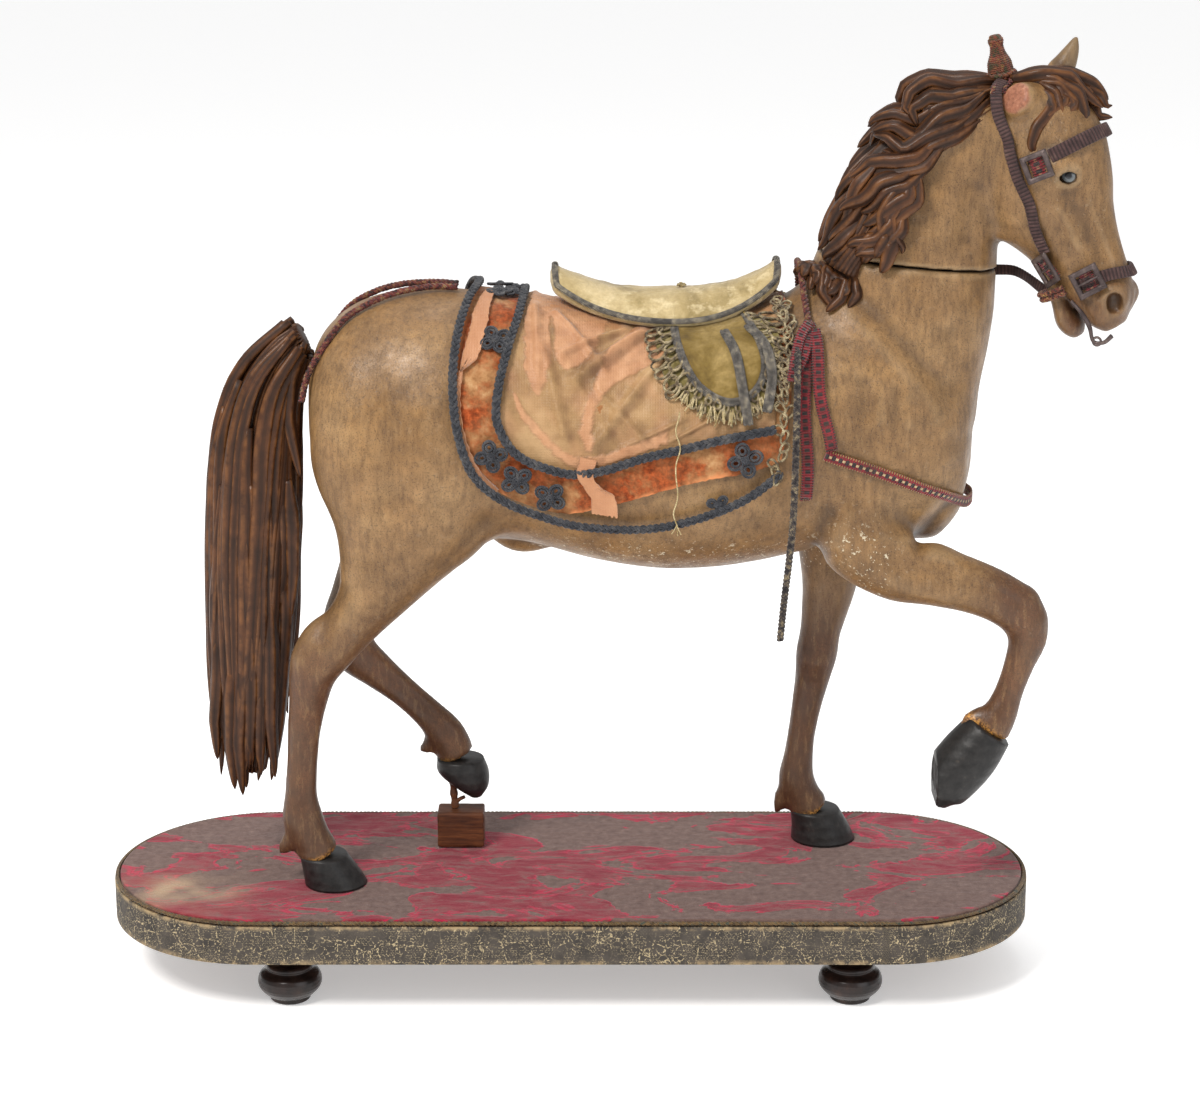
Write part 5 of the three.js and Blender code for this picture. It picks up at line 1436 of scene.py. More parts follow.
def build_tail():
    """A core with ridges, wrapped in long strands that end in points at different heights."""
    rng = np.random.default_rng(9)
    core = Skin(keyed([(x, y, z, deep * 0.93, wide * 0.93) for x, y, z, deep, wide in TAIL_ROWS]))
    skin = Skin(keyed(TAIL_ROWS))
    keys = np.linspace(TAIL_JOINT, core.end, 60)
    angles = round_angles(120)
    waves = 0.5 + 0.5 * np.cos(24 * angles[None, :] + 1.2 * np.sin(keys[:, None] / 26)
                               - keys[:, None] * 0.012)
    locks = [(tube_mesh(core.at(keys[:, None], angles[None, :], -1.5 + 1.6 * waves)),
              np.concatenate([waves.ravel(), [0.5, 0.5]]))]
    for n in range(TAIL_STRANDS):
        angle = 2 * math.pi * (n + rng.uniform(-0.3, 0.3)) / TAIL_STRANDS
        start = TAIL_JOINT + rng.uniform(0, 4) + (rng.random() < 0.45) * rng.uniform(20, 90)
        end = rng.uniform(0.72, 1.0) * core.end
        steps = np.linspace(0, 1, 9)
        drift = rng.uniform(-0.35, 0.35)
        sway = rng.uniform(0.03, 0.1) * np.sin(steps * rng.uniform(4, 7) + rng.uniform(0, 6))
        lift = 0.8 + 0.9 * rng.random()
        places = start + (end - start) * steps
        line = skin.at(places, angle + drift * steps ** 1.3 + sway, lift)
        tip = line[-1] + np.array([rng.uniform(-2, 1), 0, -rng.uniform(5, 14)])
        line = np.concatenate([line, tip[None]])
        locks.append(lock_rings(line, rng.uniform(6.5, 9.5), rng.uniform(5, 7), rings=38, sides=8, ridges=4,
                                phase=rng.uniform(0, 6), twist=rng.uniform(-0.3, 0.3), blunt=0.55,
                                groove=0.2))
    # The locks that the photo shows parting from the rest
    for path in [
        [(-127, -5, 316), (-134, -10, 300), (-136, -11, 280), (-133, -10, 262), (-131, -9, 250)],
        [(-136, -12, 250), (-135, -12, 228), (-136, -11, 205), (-139, -10, 180)],
        [(-163, -10, 240), (-165, -10, 214), (-168, -10, 190), (-170, -8, 163)],
        [(-168, -8, 178), (-169, -9, 150), (-171, -8, 128), (-170, -6, 108)],
        [(-160, -13, 168), (-163, -14, 142), (-164, -12, 116), (-163, -9, 93)],
        [(-151, -13, 165), (-153, -14, 138), (-155, -12, 112), (-155, -9, 92)],
        [(-140, -8, 214), (-140, -9, 181), (-143, -9, 152), (-146, -8, 126), (-151, -6, 96)],
        [(-146, -15, 190), (-147, -15, 160), (-149, -13, 130), (-149, -10, 100)],
        [(-156, -15, 175), (-157, -15, 146), (-159, -13, 118), (-158, -9, 90)],
    ]:
        locks += bundle(path, 10, 8, rng, 2, rings=36, sides=9, blunt=0.5)
    hair_object("tail_hair", locks, "tail")


build_mane()
build_tail()


# Saddlecloth: velvet ground with an upper layer of torn silk, and braids sewn on

CLOTH_LIFT, CLOTH_THICK, BRAID_WIDE, CORD_WIDE = 1.0, 2.0, 4.6, 3.6
STRAP_WIDE, STRAP_THICK, RIBBON_WIDE, GAP = 6.0, 1.6, 6.0, 0.35
OVER_CLOTH = CLOTH_LIFT + CLOTH_THICK + GAP
BRAID_LIFT = OVER_CLOTH + BRAID_WIDE / 2 + 0.3
FLAP_THICK = 2.2
FLAP_LIFT = OVER_CLOTH + 0.3
# Edges and braids of the near half: key along the trunk, degrees from its ridge (near side negative)
REAR_EDGE = [(-42, 0), (-46, -21), (-50, -44), (-52, -64), (-51, -84), (-48, -98)]
FRONT_EDGE = [(101, 0), (102, -22), (103, -41), (103, -58), (102, -76), (98, -93)]
LOW_EDGE = [(-48, -98), (-39, -108), (-24, -116), (-4, -118), (14, -111), (38, -101), (61, -95), (82, -94),
            (98, -93)]
OUTER_BRAID = [
    (98, -96), (84, -102), (70, -106), (51, -111), (33, -115), (14, -118), (-4, -120), (-22, -118),
    (-35, -112),
    (-44, -104), (-49, -94), (-52, -83), (-53, -65), (-51, -45), (-47, -24), (-42.5, 0),
]
INNER_BRAID = [
    (95, -80), (84, -79), (70, -79), (56, -81), (37, -85), (19, -91), (1, -96), (-13, -96), (-22, -94),
    (-29, -89),
    (-33, -81), (-32, -68), (-28, -50), (-23, -27), (-21, 0),
]


def spread(stops):
    """Stops of key and degrees, evenly spread from 0 to 1."""
    return np.column_stack([np.linspace(0, 1, len(stops)), [a for a, _ in stops],
                            radians([b for _, b in stops])])


rear_edge, front_edge, low_edge = spread(REAR_EDGE), spread(FRONT_EDGE), spread(LOW_EDGE)


def cloth_place(s, t):
    """Key and angle on the cloth's near half: s from rear to front, t from the ridge to the lower edge."""
    s, t = np.broadcast_arrays(np.asarray(s, float), np.asarray(t, float))
    rear, front = (row_at(edge, t)[..., 1:] for edge in (rear_edge, front_edge))
    low = row_at(low_edge, s)[..., 1:]
    first, last = rear_edge[-1, 1:], front_edge[-1, 1:]
    s, t = s[..., None], t[..., None]
    return (1 - s) * rear + s * front + t * (low - (1 - s) * first - s * last)


def over_back(stops):
    return list(stops) + [(key, -angle) for key, angle in stops[-2::-1]]


def along_trunk(stops, lift, count=200, side=1):
    """Evenly spaced points on the trunk, and the way out from it at each, along stops of key and degrees."""
    table = np.array([(key, math.radians(angle) * side) for key, angle in stops])
    path = smooth_path([(key, angle * ROUND, 0) for key, angle in table], count)
    keys, angles = path[:, 0], path[:, 1] / ROUND
    return trunk.at(keys, angles, lift), trunk.normal(keys, angles)


def sheet_object(name, grid, thick, material, layers=None, backed=True):
    """A thin cloth from a grid of points: a front, turned edges `thick` deep and, unless hidden, a back."""
    rows, columns = grid.shape[:2]
    faces = sheet_faces(rows, columns)
    du = np.gradient(grid, axis=0)
    dv = np.gradient(grid, axis=1)
    out = unit(np.cross(du, dv))
    centre = np.array([grid[..., 0].mean(), MIDLINE, 270.0])
    if np.mean(np.sum(out * (grid - centre), -1)) < 0:
        out = -out
        faces = faces[:, ::-1]
    front, back = grid.reshape(-1, 3), (grid - out * thick).reshape(-1, 3)
    count = len(front)
    border = np.concatenate([np.arange(columns), np.arange(1, rows) * columns + columns - 1,
                             (rows - 1) * columns + np.arange(columns - 2, -1, -1),
                             np.arange(rows - 2, 0, -1) * columns])
    behind = np.arange(count) if backed else border
    lower = np.arange(len(border)) if not backed else border
    rim = np.column_stack([border, np.roll(border, -1), np.roll(lower, -1) + count, lower + count])
    faces = [faces, faces[:, ::-1] + count, rim] if backed else [faces, rim]
    obj = make_object(name, np.concatenate([front, back[behind]]), [np.concatenate(faces)], material)
    for key, values in (layers or {}).items():
        values = np.ravel(values)
        attribute(obj, key, np.concatenate([values, values[behind]]))
    return obj


def velvet_ground_paint():
    """Rust velvet, bald in places down to a cream ground."""
    p = Paint("rust velvet", roughness=0.92, sheen=0.35, specular=0.2)
    big = p.noise(52, 5, 0.6)
    pile = p.noise(420, 5, 0.7)
    velvet = p.ramp(pile, (0.25, (66, 26, 10)), (0.45, (120, 52, 20)), (0.6, (158, 72, 32)),
                    (0.78, (190, 100, 54)))
    bald = p.ramp(p.noise(240, 5, 0.65), (0.3, (122, 80, 46)), (0.55, (166, 122, 80)), (0.8, (192, 156, 114)))
    worn = p.math("ADD", p.layer("bald"), p.span(big, 0.47, 0.6, 0.0, 0.8), clamp=True)
    base = p.mix(worn, velvet, bald)
    p.colour(p.mix(p.layer("edge"), base, (206, 132, 84)))
    p.bump(p.noise(1700, 2, 0.6), 0.15).bump(pile, 0.4).bump(p.rest(worn), 0.35)
    return p.material


def silk_paint(name, dark, mid, light):
    """Worn silk with stains, painted shade beside its folds and a fine weave."""
    p = Paint(name, roughness=0.5, sheen=0.3, specular=0.4)
    stain = p.noise(38, 6, 0.62)
    base = p.ramp(stain, (0.3, dark), (0.5, mid), (0.7, light))
    base = p.mix(p.layer("salmon"), base,
                 p.ramp(p.noise(90, 4, 0.6), (0.3, (162, 112, 76)), (0.7, (190, 142, 104))))
    # Darker where the mesh's layer says: stains, and painted shade beside the folds
    base = p.mix(p.times(p.layer("dirt_and_shade"), 0.8), base, (96, 62, 36))
    p.colour(base)
    weave = p.times(p.wave(260, axis="X"), p.wave(260, axis="Z"))
    p.bump(weave, 0.1).bump(p.noise(1500, 2, 0.6), 0.08).bump(p.noise(60, 3, 0.6), 0.25)
    return p.material


VELVET_COLUMNS, VELVET_ROWS = 110, 180


def build_velvet():
    """The ground, out to the outer braid; its near half is a little torn above that braid."""
    columns = np.linspace(0, 1, VELVET_COLUMNS)
    rows = np.linspace(0, 1, VELVET_ROWS)
    s, t = np.meshgrid(columns, rows, indexing="ij")
    near = t < 0.5
    down = np.abs(1 - 2 * t)
    torn = row_at(np.array([(0, 1.0), (0.3, 1.0), (0.42, 0.99), (0.52, 0.985), (0.7, 0.985), (1, 0.995)]),
                  columns)[:, 1]
    torn = torn - 0.006 * ripple(columns * 300, columns * 0, 5, 7)
    reach = np.where(near, torn[:, None], 1.0)
    place = cloth_place(s, down * reach)
    key, angle = place[..., 0], np.where(near, place[..., 1], -place[..., 1])
    folds = 0.5 * ripple(key, angle * ROUND, 21, 26) + 0.22 * ripple(key, angle * ROUND, 22, 7)
    lift = CLOTH_LIFT + 1.15 + 0.75 * np.clip(folds, -1, 1)
    grid = trunk.at(key, angle, lift)
    bald = np.clip(0.4 + 0.9 * ripple(key, angle * ROUND, 8, 22), 0, 1) * 0.35
    bald = np.maximum(bald, np.clip((key - 78) / 20, 0, 0.35))
    edge = np.clip((down - 0.975) / 0.02, 0, 1) * np.clip(0.4 + ripple(key, angle * ROUND, 31, 12), 0, 1)
    edge = np.maximum(edge, np.clip((0.012 - s) / 0.008, 0, 1))
    obj = sheet_object("saddlecloth_velvet", grid, 0.55, velvet_ground_paint(),
                       {"bald": bald, "edge": edge}, backed=False)
    finish_piece(obj, "cream_silk", "saddlecloth")
    return obj, grid


def inside_braid(count):
    """The inner braid's line on the near side, from front to rear, as key and angle."""
    path = smooth_path([(key, angle, 0) for key, angle in INNER_BRAID], count)
    return path[:, 0], radians(path[:, 1])


SILK_COLUMNS, SILK_ROWS = 210, 160
# The far silk isn't seen as closely, so it keeps every second row and column
FAR_STEP = 2


def silk_folds(key, down):
    """Height of the folds at some places, and how much painted shade falls in the hollows beside them."""
    pull = shade = 0.0
    for x0, a0, x1, a1, high, wide in SILK_FOLDS:
        along = np.clip((down - a0) / (a1 - a0), 0, 1)
        off = key - (x0 + (x1 - x0) * along)
        fade = np.clip((down - a0 + 6) / 8, 0, 1) * np.clip((a1 + 6 - down) / 10, 0, 1)
        pull = pull + high * fade * np.exp(-(off / wide) ** 2)
        shade = shade + 0.5 * high * fade * np.exp(-((off - 1.5 * wide) / (0.9 * wide)) ** 2)
        shade = shade - 0.3 * high * fade * np.exp(-((off + 0.3 * wide) / (0.8 * wide)) ** 2)
    return pull, shade


def build_silk():
    """The silk inside the inner braid, drawn into folds that run down from the saddle."""
    low_key, low_angle = inside_braid(SILK_COLUMNS)
    keep = np.linspace(0, 1, SILK_COLUMNS)
    rows = np.linspace(0, 1, SILK_ROWS)
    top_key = row_at(np.array([(0, 99.0), (0.25, 74), (0.5, 34), (0.75, 2), (1, -21)]), keep)[:, 1]
    key = top_key[:, None] + (low_key - top_key)[:, None] * rows ** 0.9
    paint = silk_paint("cream silk", (106, 76, 44), (150, 116, 75), (180, 146, 104))
    for side, step, name in ((1, 1, "silk_panel_near"), (-1, FAR_STEP, "silk_panel_far")):
        angle = side * low_angle[:, None] * rows
        degrees_down = np.abs(angle) * 180 / math.pi
        pull, shade = silk_folds(key, degrees_down)
        crease = 0.3 * ripple(key, angle * ROUND, 41, 9) + 0.12 * ripple(key, angle * ROUND, 42, 3.5)
        layer = np.zeros(key.shape)
        for left, right in TORN_LAYER:
            layer = np.maximum(layer, layer_cover(key, -degrees_down, left, right))
        lift = CLOTH_LIFT + CLOTH_THICK - 0.15 + np.clip(1.9 * pull + crease, -0.5, 3.6) + 0.6 * layer
        salmon = np.clip(0.5 * ripple(key, angle * ROUND, 51, 24) + 0.05, 0, 0.4)
        upper = np.clip((np.radians(38) - np.abs(angle)) / 0.3, 0, 1)
        salmon = np.maximum(salmon, upper * 0.7 * np.clip(0.5 + ripple(key, angle * ROUND, 52, 16), 0, 1))
        salmon = np.clip(np.maximum(salmon, layer * 0.9), 0, 0.95)
        # Painted shade beside the folds, stains in random patches, and darker along the rim of the upper
        # layer
        dirt_and_shade = np.clip(shade * 0.85 + 0.5 * ripple(key, angle * ROUND, 53, 12) - 0.05, 0, 0.75)
        dirt_and_shade = np.maximum(dirt_and_shade, layer * (1 - layer) * 4 * 0.35)
        grid, salmon, dirt_and_shade = (values[::step, ::step] for values in (trunk.at(key, angle, lift), salmon, dirt_and_shade))
        obj = sheet_object(name, grid, 0.3, paint, {"salmon": salmon, "dirt_and_shade": dirt_and_shade}, backed=False)
        finish_piece(obj, "cream_silk", "saddlecloth")


# Folds of the silk: key and degrees down at the upper end, the same at the lower end, height, half width
SILK_FOLDS = [
    (34, 26, 2, 58, 1.9, 3.2), (26, 24, -4, 46, 1.2, 2.4), (44, 40, 12, 84, 1.3, 2.6),
    (-6, 20, 16, 50, 1.1, 2.2),
    (-12, 44, -2, 84, 1.0, 2.4), (52, 70, 26, 82, 0.8, 2.0), (4, 50, 22, 80, -0.9, 2.4),
    (-16, 16, -14, 60, 0.9, 2.0),
    (70, 68, 46, 79, 0.8, 2.0), (14, 60, 40, 84, 0.7, 1.8),
]
# What is left of the upper, salmon silk: left and right edges as key and degrees down
TORN_LAYER = [
    ([(-19, -10), (-21, -30), (-20.5, -46), (-20.5, -57), (-18, -64), (-15, -69)],
     [(-6, -10), (-8.5, -28), (-8.4, -36), (-7, -47), (-9.8, -59), (-13, -69)]),
    ([(-12, -10), (-7.2, -30), (-7, -41), (-6, -50), (-2, -54)],
     [(20, -10), (17, -27), (14, -36), (8, -47), (-1, -54.5)]),
    ([(36, -12), (24, -31), (18, -40), (13, -54), (7, -69), (5, -80), (8, -87)],
     [(52, -12), (46, -38), (34, -48), (22, -56), (15, -65), (11.5, -76), (12, -87)]),
    ([(-26, -69), (-23, -78), (-16, -85), (-7, -91), (4, -94), (16, -91), (30, -86), (46, -80)],
     [(-24, -69), (-20, -76), (-12, -82), (-5, -87), (5, -89), (17, -86), (31, -80), (47, -74)]),
]
# Loose pieces in front of the border: edges as before, and how far the lower end stands off
LOOSE_PIECES = [
    ([(5.3, -89), (4, -95), (6.6, -99), (9.9, -103), (10.7, -110)],
     [(13, -89), (11.5, -95), (14.8, -98), (21.4, -101), (22.7, -109.5)], 5.6),
    ([(-38.8, -8), (-43.5, -28), (-45.6, -42), (-49, -58), (-49.5, -63)],
     [(-35, -9), (-37, -28), (-38.5, -42), (-42, -56), (-48.8, -63)], 1.0),
    ([(-50, -63), (-51.5, -75), (-50, -88), (-43, -103), (-33, -112)],
     [(-48.6, -63), (-49.7, -75), (-48, -88), (-41.5, -101.5), (-32.5, -110)], 0.9),
]


def layer_cover(key, degrees, left, right):
    """How far a place is inside a torn piece, from 0 to 1 over about a millimetre, with a ragged edge."""
    ragged = 1.1 * ripple(key, degrees, 61, 7) + 0.5 * ripple(key, degrees, 62, 2.4)
    if abs(left[0][1] - left[-1][1]) < abs(left[0][0] - left[-1][0]):
        # A strip that runs along the braid: its two edges are read by key
        upper = row_at(np.array(sorted([(k, d) for k, d in right])), key)[..., 1]
        lower = row_at(np.array(sorted([(k, d) for k, d in left])), key)[..., 1]
        inside = np.minimum(upper - degrees, degrees - lower) + ragged
        inside = np.minimum(inside, np.minimum(key - left[0][0], left[-1][0] - key))
        return np.clip(inside / 0.9, 0, 1)
    first = row_at(np.array(sorted([(d, k) for k, d in left])), degrees)[..., 1]
    last = row_at(np.array(sorted([(d, k) for k, d in right])), degrees)[..., 1]
    inside = np.minimum(key - first, last - key) + ragged
    inside = np.minimum(inside, degrees - left[-1][1])
    return np.clip(inside / 0.9, 0, 1)


FRINGE_PALE = thread_paint("pale fringe thread", (164, 142, 92), (214, 196, 150), scale=300)


def build_torn_silk():
    """The scraps of upper silk that stand off, and one thread that hangs down over the border."""
    on_cloth = []
    paint = silk_paint("salmon silk", (150, 96, 62), (170, 116, 80), (188, 138, 100))
    for n, (left, right, proud) in enumerate(LOOSE_PIECES):
        rows, columns = 54, 26
        a = smooth_stops(left, rows)
        b = smooth_stops(right, rows)
        v = np.linspace(0, 1, columns)
        jag = 0.8 * ripple(a[:, 0], a[:, 1], 60 + n, 5) + 0.4 * ripple(a[:, 0], a[:, 1], 64 + n, 1.6)
        u = np.linspace(0, 1, rows)[:, None]
        key = a[:, :1] + (b - a)[:, :1] * v + jag[:, None] * np.sin(math.pi * u) * (2 * v - 1)
        uneven = 0.9 * ripple(v[None, :] * 40 + u * 0, u * 0 + v * 0, 80 + n, 5) * u
        angle = radians(a[:, 1:2] + (b - a)[:, 1:2] * v + uneven)
        curl = 0.8 * np.abs(2 * v - 1) ** 3 + 0.35 * ripple(key, angle * ROUND, 70 + n, 5)
        proud_here = 0.9 + (proud - 0.9) * np.minimum(u * (3 if proud > 4 else 1), 1)
        lift = OVER_CLOTH + proud_here * 0.6 + curl * 0.5 + (0.0 if proud < 2 else 0.3)
        grid = trunk.at(key, angle, lift)
        salmon = np.full(grid.shape[:2], 0.5)
        obj = sheet_object(f"torn_silk_{n + 1}", grid, 0.3, paint, {"salmon": salmon, "dirt_and_shade": salmon * 0})
        finish_piece(obj, "cream_silk", "saddlecloth")
        on_cloth.append(obj)
    # A loose thread that has come out of the fringe and hangs down over the border
    stops = [(51, -67), (49.5, -74), (51, -82), (49, -90), (50.5, -97), (48.5, -104), (50, -111)]
    points, out = along_trunk(stops, OVER_CLOTH + BRAID_LIFT - CLOTH_LIFT - 1.2, 160)
    sway = 0.5 * np.sin(np.linspace(0, 26, 160))[:, None]
    thread = [open_tube(points + out * sway + np.array([0.6, 0, 0]) * sway, 0.32, 6)]
    for way in ((-2.4, -1.0, -3.5), (2.0, -1.2, -3.8), (0.4, -0.8, -4.4)):
        thread.append(open_tube(smooth_path([points[-3], points[-1] + np.array(way) * 0.5,
                                             points[-1] + way], 12), 0.26, 5))
    on_cloth.append(thread_object("loose_thread", thread, FRINGE_PALE, "thread", "saddlecloth"))
    return on_cloth


def plait(points, out, wide, deep, thread, pitch, count, sides):
    """Strands that cross over and under each other along a path that lies on a surface."""
    along = headings(points)
    across = unit(np.cross(out, along))
    way = ways(points)
    made = []
    for n in range(count):
        a = 2 * math.pi * (way / pitch + n / count)
        line = points + across * (np.sin(a) * wide)[:, None] + out * (np.sin(2 * a) * deep)[:, None]
        made.append(open_tube(line, thread, sides))
    return made


def thread_object(name, meshes, material, slot, *nodes):
    points, quads, tris, _ = gather(meshes)
    return finish_piece(make_object(name, points, [quads, tris], material), slot, *nodes)


def build_braids():
    """Both plaited braids of the saddlecloth, and its rosettes."""
    on_cloth = []
    paint = thread_paint("blue grey braid", (44, 46, 52), (62, 64, 70), (88, 86, 86), scale=240)
    for name, stops, node in (("outer_braid", OUTER_BRAID, "cloth_outer_braid"),
                              ("inner_braid", INNER_BRAID, "cloth_inner_braid")):
        points, out = along_trunk(over_back(stops), BRAID_LIFT - 0.5, 680)
        on_cloth.append(thread_object(name, plait(points, out, 1.35, 0.55, 0.98, 9.0, 3, 5), paint,
                                      "grey_braid", node))
    loops = []
    for key, angle, size, petals, turn in ROSETTES:
        for side in (1, -1):
            loops += rosette(key, angle * side, size, petals, turn)
    on_cloth.append(thread_object("rosettes", loops, paint, "grey_braid", "saddlecloth"))
    return on_cloth


# Rosettes of looped braid: key, degrees, reach, petals, turn
ROSETTES = [
    (-33.7, -46, 7.4, 4, 0.5), (-35.6, -95.5, 7.6, 4, 0.2), (-24, -104.2, 7.6, 4, 0.6),
    (-8.6, -109, 7.8, 4, 0.9),
    (81.3, -88.3, 8.2, 4, 0.3), (69, -103.4, 5.2, 3, 0.8), (-33, -9, 6.0, 4, 0.1), (-25.5, -6.5, 5.4, 3, 0.7),
]


def rosette(key, angle, size, petals, turn):
    """Petals of double cord round a small knot, flat on the cloth."""
    angle = math.radians(angle)
    centre, out = trunk.at(key, angle, OVER_CLOTH + 0.9), trunk.normal(key, angle)
    first = unit(np.cross(out, (0, 1, 0.01)))
    second = np.cross(out, first)
    a = round_angles(24)
    made = []
    for n in range(petals):
        b = turn + 2 * math.pi * n / petals
        way = first * math.cos(b) + second * math.sin(b)
        cross = -first * math.sin(b) + second * math.cos(b)
        for part, share in enumerate((1.0, 0.52)):
            middle = centre + way * size * 0.56 + out * (0.25 - 0.2 * part)
            ring = (middle + np.cos(a)[:, None] * way * size * 0.42 * share
                    + np.sin(a)[:, None] * cross * size * 0.36 * share)
            made.append(closed_tube(ring, 0.72, 5))
    for radius, up in ((1.5, 0.7), (0.7, 1.2)):
        ring = centre + out * up + radius * (np.cos(a)[:, None] * first + np.sin(a)[:, None] * second)
        made.append(closed_tube(ring, 0.72, 5))
    return made


velvet, velvet_grid = build_velvet()
build_silk()
build_torn_silk() + build_braids()


# Saddle: seat, trim, flaps with looped fringe, and the braids that hang over them

SEAT_REAR, SEAT_FRONT = -9.0, 100.0
SEAT_HALF_ANGLE = math.radians(24)
SEAT_RIM, SEAT_ENDS_LIFT = 3.0, 5.0
SEAT_RINGS, SEAT_SIDES = 90, 72
SEAT_TRIM_TURNS, SEAT_TRIM_STRANDS = 84, 4
SEAT_RISE = np.array([(0, 7), (0.12, 8.5), (0.3, 8), (0.5, 9), (0.7, 9.5), (0.88, 8.5), (1, 7.0)])


def seat_place(s, side, over):
    """A point of the saddle seat: s from cantle to pommel, side from -1 near to 1 far."""
    s, side = np.broadcast_arrays(np.asarray(s, float), np.asarray(side, float))
    half = SEAT_HALF_ANGLE * np.sin(math.pi * (0.07 + 0.86 * s)) ** 0.6
    curl = SEAT_ENDS_LIFT * np.abs(2 * s - 1) ** 4
    rise = SEAT_RIM + row_at(SEAT_RISE, s)[..., 1] * (1 - np.abs(side) ** 2.4)
    lift = OVER_CLOTH + 0.4 + curl * (1 + 0.3 * over) + rise * over
    return trunk.at(SEAT_REAR + (SEAT_FRONT - SEAT_REAR) * s, -half * -side, lift)


def velvet_paint(name, dark, mid, light, bald, fade=0.5):
    """Cut velvet, its pile crushed and faded in soft patches."""
    p = Paint(name, roughness=0.88, sheen=0.4, specular=0.25)
    patch = p.noise(46, 5, 0.62, 0.4)
    pile = p.noise(600, 4, 0.7)
    base = p.ramp(patch, (0.32, dark), (0.5, mid), (0.68, light))
    base = p.mix(p.span(p.noise(110, 6, 0.7), fade, fade + 0.12, 0.0, 0.7), base, bald)
    base = p.mix(p.span(pile, 0.3, 0.7, 0.35, 0.0), base, dark)
    p.colour(base)
    p.bump(p.noise(2200, 2, 0.6), 0.15).bump(pile, 0.3).bump(patch, 0.4)
    return p.material


def build_seat():
    """The padded seat, the braid round its edge and the tuft on it."""
    s = np.linspace(0.0, 1, SEAT_RINGS)
    upper = np.linspace(-1, 1, SEAT_SIDES // 2 + 1)
    top = seat_place(s[:, None], upper[None, :], 1.0)
    bottom = seat_place(s[:, None], upper[None, ::-1], 0.0)[:, 1:-1]
    loop = np.concatenate([top, bottom], 1)
    middle = loop.mean(1, keepdims=True)
    # Corners pulled in and rounded, and the ends closed to a soft roll
    swell = np.clip(np.minimum(s, 1 - s) / 0.03, 0, 1)[:, None, None]
    loop = middle + (loop - middle) * (0.35 + 0.65 * np.sqrt(np.maximum(swell * (2 - swell), 0)))
    for _ in range(5):
        loop = 0.5 * loop + 0.25 * (np.roll(loop, 1, 1) + np.roll(loop, -1, 1))
    dent = (0.35 * ripple(loop[..., 0], loop[..., 1], 90, 14)
            + 0.15 * ripple(loop[..., 0], loop[..., 1], 91, 4))
    loop[..., 2] += dent * (loop[..., 2] > middle[..., 2])
    points, quads, tris = tube_mesh(loop)
    paint = velvet_paint("saddle velvet", (114, 98, 60), (168, 148, 104), (198, 178, 136),
                         (216, 198, 158), 0.52)
    seat = make_object("saddle_cushion", points, [quads, tris], paint)
    finish_piece(seat, "olive_velvet", "saddle_seat")
    # Woven trim a little inside the edge, all the way round
    t = round_angles(560)
    share = 0.5 - 0.5 * np.cos(t)
    side = np.sign(np.sin(t)) * np.minimum(np.abs(np.sin(t)) * 5.0, 1) ** 0.5
    place = seat_place(0.02 + 0.96 * share, side * 0.93, 1.0)
    ring = place + np.array([0, 0, 0.2])
    out = unit(seat_place(share, side * 0.93, 1.3) - seat_place(share, side * 0.93, 1.0)
               + np.column_stack([np.zeros_like(side), side * 2.2, np.zeros_like(side)]) * 0.5)
    trim = thread_paint("silver trim", (70, 66, 62), (112, 106, 96), (156, 146, 126), scale=300)
    made = []
    for n in range(SEAT_TRIM_STRANDS):
        turns = np.arange(len(ring)) * SEAT_TRIM_TURNS / len(ring)
        a = 2 * math.pi * (turns + n / SEAT_TRIM_STRANDS)
        along = unit(np.roll(ring, -1, 0) - np.roll(ring, 1, 0))
        across = unit(np.cross(out, along))
        line = ring + across * (np.sin(a) * 1.25)[:, None] + out * (0.5 + 0.4 * np.cos(2 * a))[:, None]
        made.append(closed_tube(line, 0.42, 5))
    thread_object("seat_trim", made, trim, "grey_braid", "saddle_seat")
    rng = np.random.default_rng(31)
    tuft = []
    root = seat_place(0.57, 0.0, 1.0)
    for _ in range(26):
        way = unit(np.array([rng.uniform(-1, 1), rng.uniform(-1, 1), rng.uniform(0.3, 1)]))
        line = [root + np.array([0, 0, -0.5]), root + way * 1.8, root + way * 3.0 + np.array([0, 0, -0.8])]
        tuft.append(open_tube(smooth_path(line, 8), 0.32, 5))
    thread_object("seat_tuft", tuft, thread_paint("cream tuft", (140, 120, 80), (196, 178, 134)), "thread",
                  "saddle_seat")


# Outlines of a flap's panel and fringe, and the braids over it: key and degrees
VELVET_EDGE = [(49, -17), (49.4, -26), (50.8, -35.5), (54.3, -46.5), (59.2, -55), (67.3, -61.5),
               (75.4, -64.6),
               (83.6, -63.6), (89, -58.5), (90.6, -50.6), (88.5, -40), (84.5, -27), (82, -17)]
FRINGE_EDGE = [(40, -26), (41, -38), (43.5, -49), (48, -57.5), (56, -64), (66, -68.3), (77, -70.6),
               (87, -70), (94, -65.5),
               (97.5, -57), (98.5, -46), (96, -34), (92, -24)]
STIRRUPS = {
    "rear": [(72, -29), (77, -43), (80, -60), (81.5, -69), (82.5, -75)],
    "fore": [(83, -29), (91, -44), (93.5, -57), (92.5, -66), (91, -72)],
}


def loop_on(key, angle, way, long, wide, thread, lift, rng):
    """One fringe loop of thread on the trunk: its root, the way that it points, and its size."""
    centre, out = trunk.at(key, angle, lift), trunk.normal(key, angle)
    way = unit(way - out * (way @ out))
    cross = np.cross(out, way)
    a = round_angles(15)
    swing = rng.uniform(-0.35, 0.35)
    c, s = math.cos(swing), math.sin(swing)
    way, cross = way * c + cross * s, cross * c - way * s
    ring = (centre + way * (long / 2 * (1 - np.cos(a)))[:, None]
            + cross * (wide / 2 * np.sin(a) * (0.55 + 0.45 * (1 - np.cos(a)) / 2))[:, None]
            + out * (0.4 + rng.uniform(0, 0.8) + 0.5 * np.sin(a + rng.uniform(0, 6)))[:, None])
    return closed_tube(ring, thread, 5)


